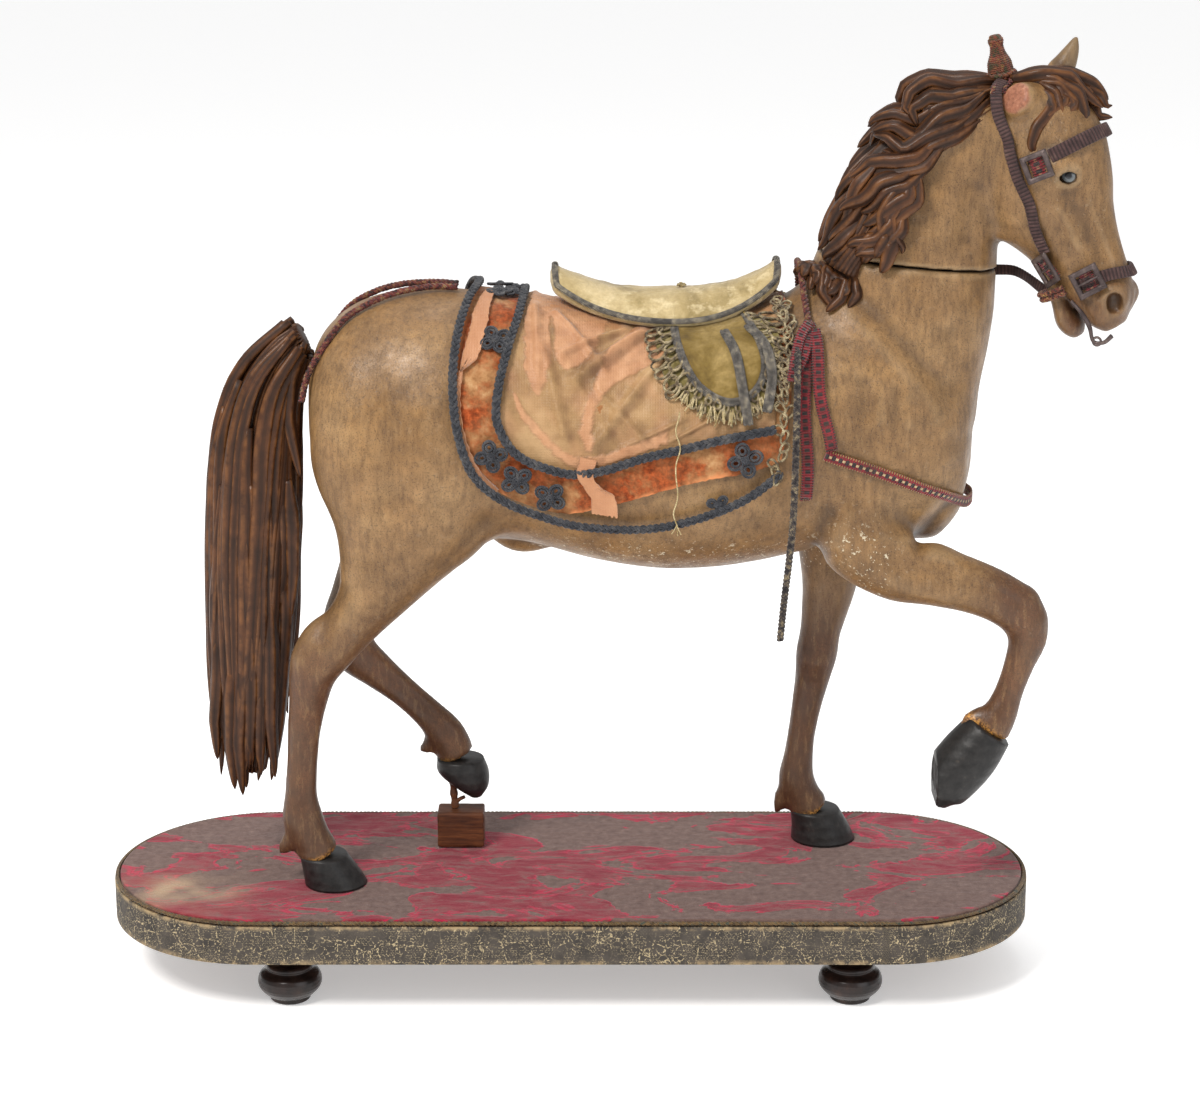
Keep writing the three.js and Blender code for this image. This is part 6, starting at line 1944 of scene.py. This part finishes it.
def build_flap(side, name):
    """One flap: a panel of green velvet, a rim of plain cloth, a trim round the panel and two rows of looped
    fringe.
    """
    rng = np.random.default_rng(50 + side)
    # Velvet panel, crowned a little
    rows, columns = 40, 56
    top = smooth_path([(49, -15, 0), (66, -15, 0), (83, -15, 0)], columns)
    low = smooth_stops(VELVET_EDGE, columns)
    v = np.linspace(0, 1, rows)[:, None, None]
    place = (top[None] + (low - top)[None] * v)
    key, angle = place[..., 0], radians(place[..., 1]) * side
    edge = np.minimum((1 - v[..., 0]) / 0.14, 1)
    crown = np.sqrt(np.clip(edge * (2 - edge), 0, 1))
    lift = FLAP_LIFT + 0.5 + 1.5 * crown + 0.35 * ripple(key, angle * ROUND, 95, 9)
    panel_grid = trunk.at(key, angle, lift)
    panel = sheet_object(f"flap_velvet_{name}", panel_grid, 1.1, FLAP_VELVET)
    finish_piece(panel, "green_velvet", f"saddle_flap_{name}")
    # Rim of plain cloth outside the panel, to the roots of the fringe
    outer = smooth_stops(FRINGE_EDGE, columns)
    v = np.linspace(0, 1, 12)[:, None, None]
    place = low[None] * (1 - v) + outer[None] * v
    key, angle = place[..., 0], radians(place[..., 1]) * side
    lift = FLAP_LIFT + 0.7 - 0.4 * v[..., 0] + 0.25 * ripple(key, angle * ROUND, 96, 6)
    rim = sheet_object(f"flap_rim_{name}", trunk.at(key, angle, lift), 0.6, FLAP_RIM)
    finish_piece(rim, "green_velvet", f"saddle_flap_{name}")
    trim_points, trim_out = along_trunk(VELVET_EDGE, FLAP_LIFT + 1.9, 330, side)
    made = plait(trim_points, trim_out, 1.5, 0.35, 0.62, 3.8, 4, 4)
    trim = thread_object(f"flap_trim_{name}", made, SILVER, "grey_braid", f"saddle_flap_{name}")
    # Fringe
    loops, threads = [], []
    for row, (count, inset, long, wide) in enumerate([(26, 0.05, 7.4, 5.8), (27, 0.62, 7.8, 6.0)]):
        share = np.linspace(0.01, 0.99, count)
        inner, outer_line = (smooth_stops(edge, 400) for edge in (VELVET_EDGE, FRINGE_EDGE))
        for s in share:
            i = int(s * 399)
            place = inner[i] * (1 - inset) + outer_line[i] * inset
            toward = outer_line[i] - inner[i]
            key, angle = place[0], math.radians(place[1]) * side
            here = trunk.at(key, angle, 0)
            way = trunk.at(key + toward[0] * 0.1, angle + math.radians(toward[1] * 0.1) * side, 0) - here
            tasselled = 0.3 < s < 0.64
            big = 0.6 if tasselled else 1.15
            loops.append(loop_on(key, angle, way + np.array([0, 0, -0.02]), long * big,
                                 wide * big * rng.uniform(0.8, 1.15),
                                 0.68, FLAP_LIFT + 1.0, rng))
            for _ in range(9 if tasselled and row else 0):
                off = rng.uniform(-0.9, 0.9, 2)
                start = trunk.at(key + off[0], angle + off[1] / ROUND, FLAP_LIFT + 1.4)
                aim = way + rng.uniform(-0.4, 0.4, 3) * np.linalg.norm(way)
                tip = start + unit(aim) * rng.uniform(3.5, 7.5)
                bowed = (start + tip) / 2 + trunk.normal(key, angle) * rng.uniform(0.5, 1.6)
                threads.append(open_tube(smooth_path([start, bowed, tip], 8), 0.3, 5))
    # The fringe goes on down the front edge of the cloth, with fewer and looser loops
    front = smooth_path([(97.5, -18, 0), (100.5, -34, 0), (101, -52, 0), (100, -70, 0), (98, -86, 0),
                         (95, -100, 0)], 30)
    for key, degrees, _ in front:
        angle = math.radians(degrees) * side
        fall = trunk.at(key, angle + math.radians(4) * side, 0) - trunk.at(key, angle, 0)
        forward = trunk.at(key + 1, angle, 0) - trunk.at(key, angle, 0)
        way = unit(fall) + unit(forward) * rng.uniform(-0.9, 0.9)
        loops.append(loop_on(key, angle, way, rng.uniform(5, 8.5), rng.uniform(3.6, 5.4), 0.6,
                             OVER_CLOTH + 0.9, rng))
    node = f"saddle_flap_{name}"
    hanging = [rim, trim, thread_object(f"flap_fringe_{name}", loops, FRINGE, "thread", node),
               thread_object(f"flap_threads_{name}", threads, FRINGE_PALE, "thread", node)]
    for place, stops in STIRRUPS.items():
        points, out = along_trunk(stops, FLAP_LIFT + FLAP_THICK + 2 * GAP + 0.7, 200, side)
        made = plait(points, out, 1.75, 0.35, 0.66, 4.2, 5, 4)
        thread_object(f"hanging_braid_{place}_{name}", made, SILVER, "grey_braid",
                      f"stirrup_braid_{place}_{name}")


SILVER = thread_paint("silver braid", (70, 66, 62), (108, 102, 94), (152, 142, 124), scale=300)
FRINGE = thread_paint("fringe cord", (84, 70, 52), (150, 132, 98), (200, 184, 146), scale=300)
FLAP_VELVET = velvet_paint("flap velvet", (66, 50, 18), (120, 98, 48), (160, 136, 84), (166, 138, 92), 0.8)
FLAP_RIM = velvet_paint("flap rim cloth", (86, 76, 38), (140, 126, 76), (168, 152, 104), (176, 158, 116), 0.5)
build_seat()
for flap_side, flap_name in ((1, "near"), (-1, "far")):
    build_flap(flap_side, flap_name)


# Ribbons, cords and the free braid

def ribbon_paint():
    """Crimson and black ribs across the ribbon, with a cream thread down the middle and gilt edges."""
    p = Paint("ribbed ribbon", roughness=0.85, sheen=0.25)
    across, along = p.layer("across"), p.layer("along")
    rib = p.math("SINE", p.times(along, 2 * math.pi / 3.4))
    side = p.math("ABSOLUTE", across)
    red = p.ramp(p.noise(300, 4, 0.6), (0.3, (92, 26, 32)), (0.7, (142, 48, 52)))
    black = p.ramp(p.noise(300, 4, 0.6), (0.3, (34, 28, 30)), (0.7, (66, 58, 56)))
    check = p.math("GREATER_THAN", rib, 0.0)
    middle = p.math("LESS_THAN", side, 0.42)
    base = p.mix(p.times(middle, check), red, black)
    cream = p.times(p.math("LESS_THAN", side, 0.2), p.math("LESS_THAN", rib, -0.35))
    base = p.mix(p.times(cream, p.layer("cream")), base, (188, 168, 126))
    edge = p.math("GREATER_THAN", side, 0.72)
    fine = p.math("GREATER_THAN", p.math("SINE", p.times(along, 2 * math.pi / 1.3)), 0.1)
    base = p.mix(p.times(edge, fine), base,
                 p.ramp(p.layer("cream"), (0.2, (52, 44, 42)), (0.8, (150, 122, 76))))
    base = p.mix(p.span(p.noise(120, 5, 0.7), 0.5, 0.66, 0.0, 0.6), base, (70, 56, 46))
    p.colour(base)
    p.bump(p.math("SINE", p.times(along, 2 * math.pi / 1.3)), 0.25).bump(p.noise(1800, 2, 0.6), 0.12)
    return p.material


def strap_paint():
    """Dark woven strap with a ribbed face and painted shade between its ribs."""
    p = Paint("ribbed strap", roughness=0.7, sheen=0.15)
    base = p.ramp(p.noise(180, 5, 0.65), (0.3, (40, 26, 26)), (0.55, (72, 50, 48)), (0.8, (104, 82, 74)))
    # Painted shade: darker between the ribs
    rib = p.math("SINE", p.times(p.layer("along"), 2 * math.pi / 1.75))
    base = p.mix(p.span(rib, 0.2, -0.7, 0.0, 0.65), base, (22, 15, 15))
    p.colour(base)
    p.bump(p.noise(1500, 2, 0.6), 0.15)
    return p.material


BAND_SIDES = 14


def band(points, out, wide, thick, rib=0.0, rib_step=1.7):
    """A flat strap with rounded edges and ribs across its face; returns mesh, places across and along."""
    points = np.asarray(points, float)
    along = headings(points)
    across = unit(np.cross(out, along))
    out = np.cross(along, across)
    way = ways(points)
    a = round_angles(BAND_SIDES)
    x = np.sign(np.cos(a)) * np.abs(np.cos(a)) ** 0.45 * wide / 2
    y = np.sign(np.sin(a)) * np.abs(np.sin(a)) ** 0.6 * thick / 2
    lift = rib * (0.5 + 0.5 * np.sin(2 * math.pi * way / rib_step))[:, None] * (np.sin(a) > 0.2)
    rings = (points[:, None] + across[:, None] * x[None, :, None]
             + out[:, None] * (y[None, :] + lift)[..., None])
    mesh = tube_mesh(rings)
    flat_across = np.concatenate([np.broadcast_to(x / (wide / 2), (len(points), BAND_SIDES)).ravel(), [0, 0]])
    flat_along = np.concatenate([np.repeat(way, BAND_SIDES), [0, way[-1]]])
    return mesh, flat_across, flat_along


def band_object(name, bands, material, slot, *nodes, cream=0.0):
    points, quads, tris, _ = gather([mesh for mesh, _, _ in bands])
    obj = make_object(name, points, [quads, tris], material)
    attribute(obj, "across", np.concatenate([a for _, a, _ in bands]))
    attribute(obj, "along", np.concatenate([a for _, _, a in bands]))
    attribute(obj, "cream", np.full(len(points), cream))
    return finish_piece(obj, slot, *nodes)


def smooth_with(points, normals, count):
    """A smooth run of evenly spaced points with directions carried along it."""
    path = smooth_path(points, count)
    way = ways(np.asarray(points, float))
    share = np.linspace(0, way[-1], count)
    out = np.stack([np.interp(share, way, np.asarray(normals, float)[:, c]) for c in range(3)], -1)
    return path, unit(out)


def mirror_back(points):
    return np.asarray(points, float) * (1, -1, 1) + (0, 2 * MIDLINE, 0)


def on_near(key, angle, lift):
    return trunk.at(key, math.radians(angle), lift)


RED_RIBBON = ribbon_paint()
DARK_STRAP = strap_paint()
RED_CORD = thread_paint("red brown cord", (48, 34, 32), (124, 52, 48), (150, 122, 78), scale=460)
DARK_CORD = thread_paint("dark braid", (36, 32, 34), (78, 70, 66), (150, 134, 104), scale=420)
RIBBON_STOPS = {
    "ribbon_rear": ([(110, -47), (109, -60), (109, -75), (110, -91), (110, -112)], 0.8),
    "ribbon_fore": ([(113.5, -44), (115, -62), (117, -80), (121, -93)], 3.2),
}
BREAST_STOPS = [(118.5, -95.5), (130, -100), (142, -104), (154, -108), (166, -112), (177, -117)]


def build_ribbons():
    """Two hanging ribbons with frayed ends, and the ribbon round the breast."""
    for name, (stops, lift) in RIBBON_STOPS.items():
        points, out = along_trunk(stops, lift + STRAP_THICK / 2, 130)
        wave = 0.5 * np.sin(np.linspace(0, 9, 130))
        points = points + np.cross(out, headings(points)) * wave[:, None]
        body = band(points, out, RIBBON_WIDE * 0.94, STRAP_THICK * 0.85, 0.22, 1.3)
        loose = []
        rng = np.random.default_rng(len(name))
        for _ in range(14):
            side = rng.uniform(-2.6, 2.6)
            root = points[-2] + np.cross(out[-1], unit(points[-1] - points[-2])) * side
            tip = root + unit(points[-1] - points[-2]) * rng.uniform(1.0, 2.6) + rng.uniform(-0.5, 0.5, 3)
            mesh = open_tube(smooth_path([root, (root + tip) / 2 + out[-1] * 0.3, tip], 6), 0.3, 5)
            loose.append((mesh, np.full(len(mesh[0]), 0.9), np.linspace(0, 3, len(mesh[0]))))
        band_object(name.replace("ribbon", "hanging_ribbon"), [body] + loose, RED_RIBBON, "red_braid", name)
    lift = 1.2 + STRAP_THICK / 2
    near = [(on_near(k, d, lift), trunk.normal(k, math.radians(d))) for k, d in BREAST_STOPS]
    front = [((188, -17, 241), (0.6, -0.8, 0)), ((192, -7, 240), (0.9, -0.4, 0)),
             ((193.5, MIDLINE, 240), (1, 0, 0))]
    half = [(np.asarray(a, float), unit(np.asarray(b, float))) for a, b in near + front]
    whole = half + [(mirror_back(a), b * (1, -1, 1)) for a, b in half[-2::-1]]
    points, out = smooth_with([a for a, _ in whole], [b for _, b in whole], 240)
    band_object("breast_band", [band(points, out, RIBBON_WIDE * 0.96, STRAP_THICK * 0.85)], RED_RIBBON,
                "red_braid", "breast_ribbon", cream=1.0)


def build_cords():
    """The cord over the withers with its knot and bow loop, and the crupper cords."""
    wither = [on_near(111, -38, 3.4), on_near(110, -26, 4), (108.5, -8, 350.5), (108, MIDLINE, 352.5)]
    path = smooth_path(wither + [mirror_back(p) for p in wither[-2::-1]], 180)
    made = strands(path, 0.82, 3, 7.5, 0.86, 7)
    knot_at, out = on_near(111, -41, 3.6), trunk.normal(111, math.radians(-41))
    first = unit(np.cross(out, (0, 0, 1.0)))
    second = np.cross(out, first)
    a = round_angles(30)
    for tilt, reach in ((0.2, 2.6), (1.1, 2.4), (2.2, 2.5)):
        u = first * math.cos(tilt) + second * math.sin(tilt)
        ring = knot_at + reach * (np.cos(a)[:, None] * u + 0.6 * np.sin(a)[:, None] * out) + u * 0.2
        made.append(closed_tube(ring, 1.15, 8))
    thread_object("wither_tie", made, RED_CORD, "red_braid", "wither_cord")
    # The bow loop that falls from the knot towards the saddle, and its short end
    stops = [(111, -41), (107, -46), (104.5, -54), (102.5, -64)]
    points, out = along_trunk(stops, 6.4, 120)
    bow = [band(points, out, 4.6, 1.2, 0.2, 1.3)]
    stops = [(112, -41), (110.5, -48), (108.5, -55), (105, -60)]
    points, out = along_trunk(stops, 4.4, 90)
    bow.append(band(points, out, 4.4, 1.2, 0.2, 1.3))
    band_object("wither_bow", bow, RED_RIBBON, "red_braid", "wither_cord")
    crupper = [on_near(-53, -5, 2.4), on_near(-64, -6, 2.6), on_near(-79, -11, 2.6), on_near(-92, -17, 2.6),
               on_near(-105, -24, 2.6), on_near(-114, -36, 2.8), (-122.5, -20, 303), (-126, -19, 290)]
    for name, line in (("near", np.array(crupper)), ("far", mirror_back(crupper))):
        path = smooth_path(line, 220)
        thread_object(f"crupper_braid_{name}", strands(path, 0.78, 3, 6.5, 0.92, 5), RED_CORD, "red_braid",
                      f"crupper_cord_{name}")


CORD_ROUTE = [on_near(105.5, -52, 6.5), on_near(105, -66, 8), on_near(104.5, -84, 9), (103.5, -62, 246),
              (102, -62.5, 226), (100, -61.5, 205), (98.5, -60, 185)]


def build_free_braid():
    """The dark braid that hangs free over the front of the cloth, held at its knot only."""
    path = smooth_path(CORD_ROUTE, 200)
    out = np.tile([0.0, -1.0, 0.0], (len(path), 1))
    made = plait(path, out, 0.95, 0.5, 0.86, 6.0, 3, 6)
    points, quads, tris, _ = gather(made)
    braid = make_object("free_braid", points, [quads, tris], DARK_CORD)
    finish_piece(braid, "dark_strap", "dangling_braid")
    shown = metres(path)


# Bridle

STRAP_LIFT = 0.9


def on_skull(down, out, side=-1):
    return down, float(side * skull_angle(down, out))


def skull_run(stops, lift, count):
    path = smooth_path([(down, angle * SKULL_ROUND, 0) for down, angle in stops], count)
    keys, angles = path[:, 0], path[:, 1] / SKULL_ROUND
    return skull.at(keys, angles, lift), skull.normal(keys, angles)


CROWN = {
    -1: [(199.6, -9.8, 438.6, 0, -0.5, 0.87), (196.2, -15.8, 435.8, 0, -0.7, 0.7),
         (195.4, -21.9, 430.6, 0, -0.9, 0.4),
         (196.3, -22.9, 424.5, -0.1, -0.97, 0.1), (198.6, -23.5, 419, -0.4, -0.9, 0.1),
         (200.9, -25.2, 413.2, -0.54, -0.84, 0.06)],
    1: [(203, 5, 438, 0, 0.5, 0.87), (206.5, 11.6, 434.6, 0, 0.8, 0.6), (210.4, 15.6, 429.4, 0.1, 0.9, 0.4),
        (213.8, 17.8, 424.6, 0.19, 0.96, 0.2), (216, 18.5, 419, 0.24, 0.96, 0.1),
        (218.4, 18.8, 413.2, 0.29, 0.96, 0.06)],
}
SIDE_NAMES = {-1: "near", 1: "far"}
BROW_BUCKLE, CHEEK_BUCKLE, NOSE_BUCKLE = on_skull(36, 5.5), on_skull(79.5, -14.5), on_skull(93, -1)
BUCKLES = {"brow": (BROW_BUCKLE, 13, 13), "cheek": (CHEEK_BUCKLE, 15, 11), "nose": (NOSE_BUCKLE, 13, 14)}


def build_straps():
    """Cheek straps from the poll to the nose band, the weave in their buckles, brow band and nose band."""
    for side, name in SIDE_NAMES.items():
        crown = np.array(CROWN[side], float)
        stops = [on_skull(24, -2.6, side), on_skull(36, -4.9, side), on_skull(53, -7.2, side),
                 on_skull(72, -12, side)]
        cheek, cheek_out = skull_run(stops, STRAP_LIFT + STRAP_THICK / 2, 9)
        points, out = smooth_with(np.concatenate([crown[:, :3], cheek]),
                                  np.concatenate([unit(crown[:, 3:]), cheek_out]), 300)
        strap = band(points, out, STRAP_WIDE * 0.9, STRAP_THICK * 0.8, 0.45, 1.75)
        # Ragged weave seen through each buckle
        pads = []
        for (down, angle), _, _ in BUCKLES.values():
            angle = angle * (1 if side < 0 else -1)
            pad, pad_out = skull_run([(down - 5.5, angle), (down, angle), (down + 5.5, angle)], 1.6, 40)
            pads.append(band(pad, pad_out, 7.0, 1.2, 0.35, 1.3))
        band_object(f"cheek_piece_{name}", [strap], DARK_STRAP, "dark_strap", f"cheek_strap_{name}")
        band_object(f"buckle_weave_{name}", pads, RED_RIBBON, "red_braid", f"cheek_strap_{name}", cream=0.3)
    brow = [(34.6, -1.25), (34.8, -0.9), (35, -0.45), (35.2, 0), (35, 0.45), (34.8, 0.9), (34.6, 1.25)]
    nose = [(92.5, -1.8), (93.5, -1.4), (95, -0.95), (97, -0.45), (98, 0), (97, 0.45), (95, 0.95),
            (93.5, 1.4), (92.5, 1.8)]
    for name, stops, wide in (("brow", brow, 6.6), ("nose", nose, 5.6)):
        points, out = skull_run(stops, STRAP_LIFT + STRAP_THICK / 2, 230)
        band_object(f"{name}_strap", [band(points, out, wide, STRAP_THICK * 0.85, 0.45, 1.75)], DARK_STRAP,
                    "dark_strap", f"{name}_band")


BUCKLE_BAR, BUCKLE_THICK = 2.6, 1.8
# Section of a buckle's bar: how far inward and how far up, as shares
BUCKLE_SECTION = [(0, 0.25), (0.25, 0), (0.75, 0), (1, 0.25), (1, 0.75), (0.8, 1), (0.2, 1), (0, 0.75)]
CORNER_WEAR = 0.988


def bar_place(value, half, inward):
    """Where a buckle's bar is at some share of its width inward from its outer edge."""
    inner = half - BUCKLE_BAR * inward
    if abs(abs(value) - half) < 1e-6:
        return np.sign(value) * inner
    return np.clip(value, -inner, inner)


def frame_mesh(place, along, across, out, long, wide):
    """A square buckle with bevelled edges and slightly worn corners."""
    a, b = long / 2, wide / 2
    corners = [(a, b), (a, -b), (-a, -b), (-a, b)]
    rings = []
    for (x0, y0), (x1, y1) in zip(corners, corners[1:] + corners[:1]):
        for share in (0.0, 0.03, 0.1, 0.25, 0.4, 0.5, 0.6, 0.75, 0.9, 0.97):
            x, y = x0 + (x1 - x0) * share, y0 + (y1 - y0) * share
            wear = CORNER_WEAR if share == 0 else 1.0
            rings.append([place + along * bar_place(x, a, inward) * wear
                          + across * bar_place(y, b, inward) * wear + out * up * BUCKLE_THICK
                          for inward, up in BUCKLE_SECTION])
    points, quads, tris = ring_mesh(np.array(rings))
    return points, quads[:, [0, 3, 2, 1]], tris


def metal_paint():
    """Dark, dull metal with brown patches."""
    p = Paint("dark metal", roughness=0.5, metallic=0.55, specular=0.5)
    base = p.ramp(p.noise(160, 5, 0.65), (0.3, (48, 38, 38)), (0.55, (84, 72, 70)), (0.8, (122, 108, 100)))
    p.colour(base)
    p.rough(p.span(p.noise(200, 4), 0.3, 0.7, 0.35, 0.65))
    p.bump(p.noise(240, 5, 0.65), 0.3)
    return p.material


METAL = metal_paint()


def build_buckles():
    for place, ((down, angle), long, wide) in BUCKLES.items():
        for side, name in SIDE_NAMES.items():
            turned = angle * (1 if side < 0 else -1)
            out = skull.normal(down, turned)
            along = unit(skull.at(down + 1, turned) - skull.at(down - 1, turned))
            across = unit(np.cross(out, along))
            along = np.cross(across, out)
            centre = skull.at(down, turned, STRAP_LIFT + STRAP_THICK + GAP)
            made = [frame_mesh(centre, along, across, out, long, wide)]
            pin = [centre - across * (wide / 2 - 1.6) + out * 1.2, centre + out * 1.9,
                   centre + across * (wide / 2 - 1.2) + out * 1.5]
            if place != "brow":
                made.append(open_tube(smooth_path(pin, 20), 0.55, 8))
            thread_object(f"frame_{place}_{name}", made, METAL, "dark_metal", f"buckle_{place}_{name}")


def build_mouth_gear():
    """The cord under the chin, what is left of the far rein, and the bit's hook with its eye."""
    chin = [head_point(91.5, -13, -17), head_point(91, -19, -15), head_point(90, -26, -9.5),
            head_point(89.5, -29, 0)]
    across = [p - 2 * head_far * ((p - POLL) @ head_far) for p in chin[-2::-1]]
    path = smooth_path(chin + across, 160)
    cord = thread_paint("chin cord", (58, 40, 32), (128, 62, 50), (158, 130, 76), scale=520)
    made = []
    for shift in (-1.25, 1.25):
        made += strands(path + head_down * shift, 0.72, 3, 5.5, 0.72, 5)
    thread_object("chin_tie", made, cord, "red_braid", "chin_cord")
    route = [head_point(88, -31, 13), (214, 21, 345), (203, 27, 345), (190, 34.5, 345), (172, 38.5, 344.5)]
    points = smooth_path(route, 200)
    face = np.tile(unit(np.array([0.3, 0.95, 0.0])), (200, 1))
    tilt = 0.35 * np.sin(np.linspace(0, 7, 200))
    face = unit(face + np.array([0, 0, 1.0]) * tilt[:, None])
    band_object("far_rein", [band(points, face, STRAP_WIDE * 0.85, STRAP_THICK * 0.8, 0.3, 1.75)],
                DARK_STRAP, "dark_strap",
                "rein_far")
    bit = [head_point(97.5, -12.5, -16), head_point(105, -10.5, -16.5), head_point(112, -10.5, -16),
           head_point(119, -13, -13), head_point(121.5, -9, -13), head_point(120.5, -4, -13)]
    line = smooth_path(bit, 120)
    thick = 1.0 - 0.15 * np.cos(np.linspace(0, 9, 120))
    a = round_angles(30)
    eye_ring = head_point(119.6, -11.5,
                          -13.2) + 1.9 * (np.cos(a)[:, None] * head_out + np.sin(a)[:, None] * head_down)
    thread_object("bit_wire", [open_tube(line, thick, 12), closed_tube(eye_ring, 0.6, 8)], METAL,
                  "dark_metal",
                  "bit_hook")


PLUME_BASE = np.array([200.4, -3.4, 438.3])
PLUME_LEAN = math.radians(-12)
PLUME = [(0, 0), (3.2, 0), (3.2, 2.5), (6.1, 4), (5.6, 8.5), (3.4, 13), (2.9, 16), (3.6, 18.4), (2.6, 21),
         (0, 21)]


def lean(points):
    """Turns the plume holder's own places to where it stands."""
    x, y, z = np.moveaxis(np.asarray(points, float), -1, 0)
    c, s = math.cos(PLUME_LEAN), math.sin(PLUME_LEAN)
    return PLUME_BASE + np.stack([x * c + z * s, y, z * c - x * s], -1)


def build_plume():
    """A peg wound with thread, two twisted cords round its foot and two more down to the strap."""
    rows = np.array(PLUME, float)
    share = np.linspace(0, len(rows) - 1, 48)
    profile = row_at(np.column_stack([np.arange(len(rows)), rows]), share)
    r, z = np.maximum(profile[:, 1] * 0.9, 0.02), profile[:, 2]
    a = round_angles(36)
    bumps = 1 + 0.05 * np.sin(7 * a[None, :] + z[:, None] * 1.4)
    rings = np.stack([r[:, None] * bumps * np.cos(a), r[:, None] * bumps * np.sin(a),
                      np.broadcast_to(z[:, None], bumps.shape)], -1)
    core = tube_mesh(lean(rings))
    paint = thread_paint("wound thread", (66, 60, 36), (128, 58, 44), (146, 112, 60), scale=380)
    turns = np.linspace(0, 1, 420)
    height = 3.4 + 15.6 * turns
    wide = np.interp(height, [2.5, 4, 8.5, 13, 16, 18.4, 21], [3.2, 6.1, 5.6, 3.4, 2.9, 3.6, 2.6]) * 0.93
    wound = [core]
    for start in (0.0, math.pi):
        b = 2 * math.pi * 8.5 * turns + start
        wound.append(open_tube(lean(np.stack([wide * np.cos(b), wide * np.sin(b), height], -1)), 0.55, 5))
    for level, reach in ((1.2, 5.0), (2.9, 6.3)):
        ring = lean(np.stack([reach * np.cos(a), reach * np.sin(a), np.full_like(a, level)], -1))
        wound += strands(ring, 0.6, 2, 4.5, 0.75, 6, True)
    thread_object("plume_peg", wound, paint, "red_braid", "plume_holder")
    tails = []
    for line in ([(198, -7, 439), (197, -11, 437.4), (195, -15.5, 436.4), (193.6, -20, 433.5)],
                 [(203.5, -8, 439.5), (203, -12, 438.2), (200.5, -15.5, 436.2), (199.2, -17.5, 434)]):
        tails += strands(smooth_path(line, 90), 0.55, 2, 4, 0.62, 6)
    thread_object("plume_ties", tails, RED_CORD, "red_braid", "plume_holder")


BLOCK_ROUND = 1.1


def build_rest():
    """The block with worn arrises, and the turned pin with its sprig."""
    low, high = np.array([-67.75, 20.5, 50.35]), np.array([-44.25, 35.5, 68.85])
    n = 22
    u = np.linspace(-1, 1, n)
    faces, points, shift = [], [], 0
    half, centre = (high - low) / 2, (high + low) / 2
    for axis in range(3):
        for side in (-1, 1):
            a, b = np.meshgrid(u, u, indexing="ij")
            cube = np.zeros((n, n, 3))
            cube[..., axis], cube[..., (axis + 1) % 3], cube[..., (axis + 2) % 3] = side, a, b
            place = cube * half
            inner = half - BLOCK_ROUND
            core = np.clip(place, -inner, inner)
            off = place - core
            reach = np.minimum(np.linalg.norm(off, axis=-1, keepdims=True), BLOCK_ROUND)
            place = core + unit(off + 1e-9) * reach
            worn = ripple(place[..., 0] + place[..., 1], place[..., 2], 12 + axis, 7)
            place = place + 0.12 * worn[..., None] * cube
            grid = sheet_faces(n, n)
            faces.append((grid if side > 0 else grid[:, ::-1]) + shift)
            points.append((centre + place).reshape(-1, 3))
            shift += n * n
    wood = wood_paint("red brown wood", (52, 26, 14), (92, 52, 28), (122, 74, 42))
    block = make_object("hoof_block", np.concatenate(points), [np.concatenate(faces)], wood)
    finish_piece(block, "stained_wood", "rest_block")
    pin = smooth_path([(-58.9, 28, 69.3), (-59.5, 28, 76), (-59.9, 28, 83)], 60)
    sprig = smooth_path([(-59.2, 28, 71.5), (-56.5, 28, 73.8), (-54, 28, 75)], 30)
    nodes = 1.85 + 0.22 * np.sin(np.linspace(0, 14, 60))
    made = [open_tube(pin, nodes, 16), open_tube(sprig, np.linspace(1.2, 0.9, 30), 12)]
    thread_object("hoof_pin", made, wood, "stained_wood", "rest_pin")


build_ribbons()
build_cords()
build_free_braid()
build_straps()
build_buckles()
build_mouth_gear()
build_plume()
build_rest()


# Floor and light

def area_light(name, place, target, size, power, colour=(1, 1, 1)):
    data = bpy.data.lights.new(name, "AREA")
    data.shape = "DISK"
    data.size = size
    data.energy = power
    data.color = colour
    obj = bpy.data.objects.new(name, data)
    obj.location = place
    obj.rotation_euler = (Vector(target) - Vector(place)).to_track_quat("-Z", "Y").to_euler()
    bpy.context.scene.collection.objects.link(obj)


FLOOR_HALF = 14.0
FLOOR_GLOW, ROOM_LIGHT = 0.36, 0.62
floor_mesh = bpy.data.meshes.new("floor")
corners = [(x * FLOOR_HALF, y * FLOOR_HALF, 0) for x, y in ((-1, -1), (1, -1), (1, 1), (-1, 1))]
floor_mesh.from_pydata(corners, [], [(0, 1, 2, 3)])
floor = bpy.data.objects.new("floor", floor_mesh)
bpy.context.scene.collection.objects.link(floor)
floor_paint = Paint("pale floor", roughness=0.6, specular=0.3)
floor_paint.shader.inputs["Base Color"].default_value = (0.93, 0.93, 0.93, 1)
floor_paint.shader.inputs["Emission Color"].default_value = (1, 1, 1, 1)
floor_paint.shader.inputs["Emission Strength"].default_value = FLOOR_GLOW
floor_mesh.materials.append(floor_paint.material)

world = bpy.data.worlds.new("studio")
world.use_nodes = True
background = world.node_tree.nodes["Background"]
background.inputs["Color"].default_value = (1.0, 1.0, 1.0, 1)
background.inputs["Strength"].default_value = ROOM_LIGHT
bpy.context.scene.world = world
middle = (0.0, 0.0, 0.22)
area_light("key", (-0.9, -1.3, 1.9), middle, 0.7, 46, (1.0, 0.97, 0.93))
area_light("fill", (1.6, -1.6, 1.0), middle, 1.6, 9, (0.95, 0.97, 1.0))
area_light("top", (0.1, 0.5, 2.2), middle, 1.2, 10)
bpy.context.scene.view_settings.view_transform = "Standard"
bpy.context.scene.view_settings.look = "None"
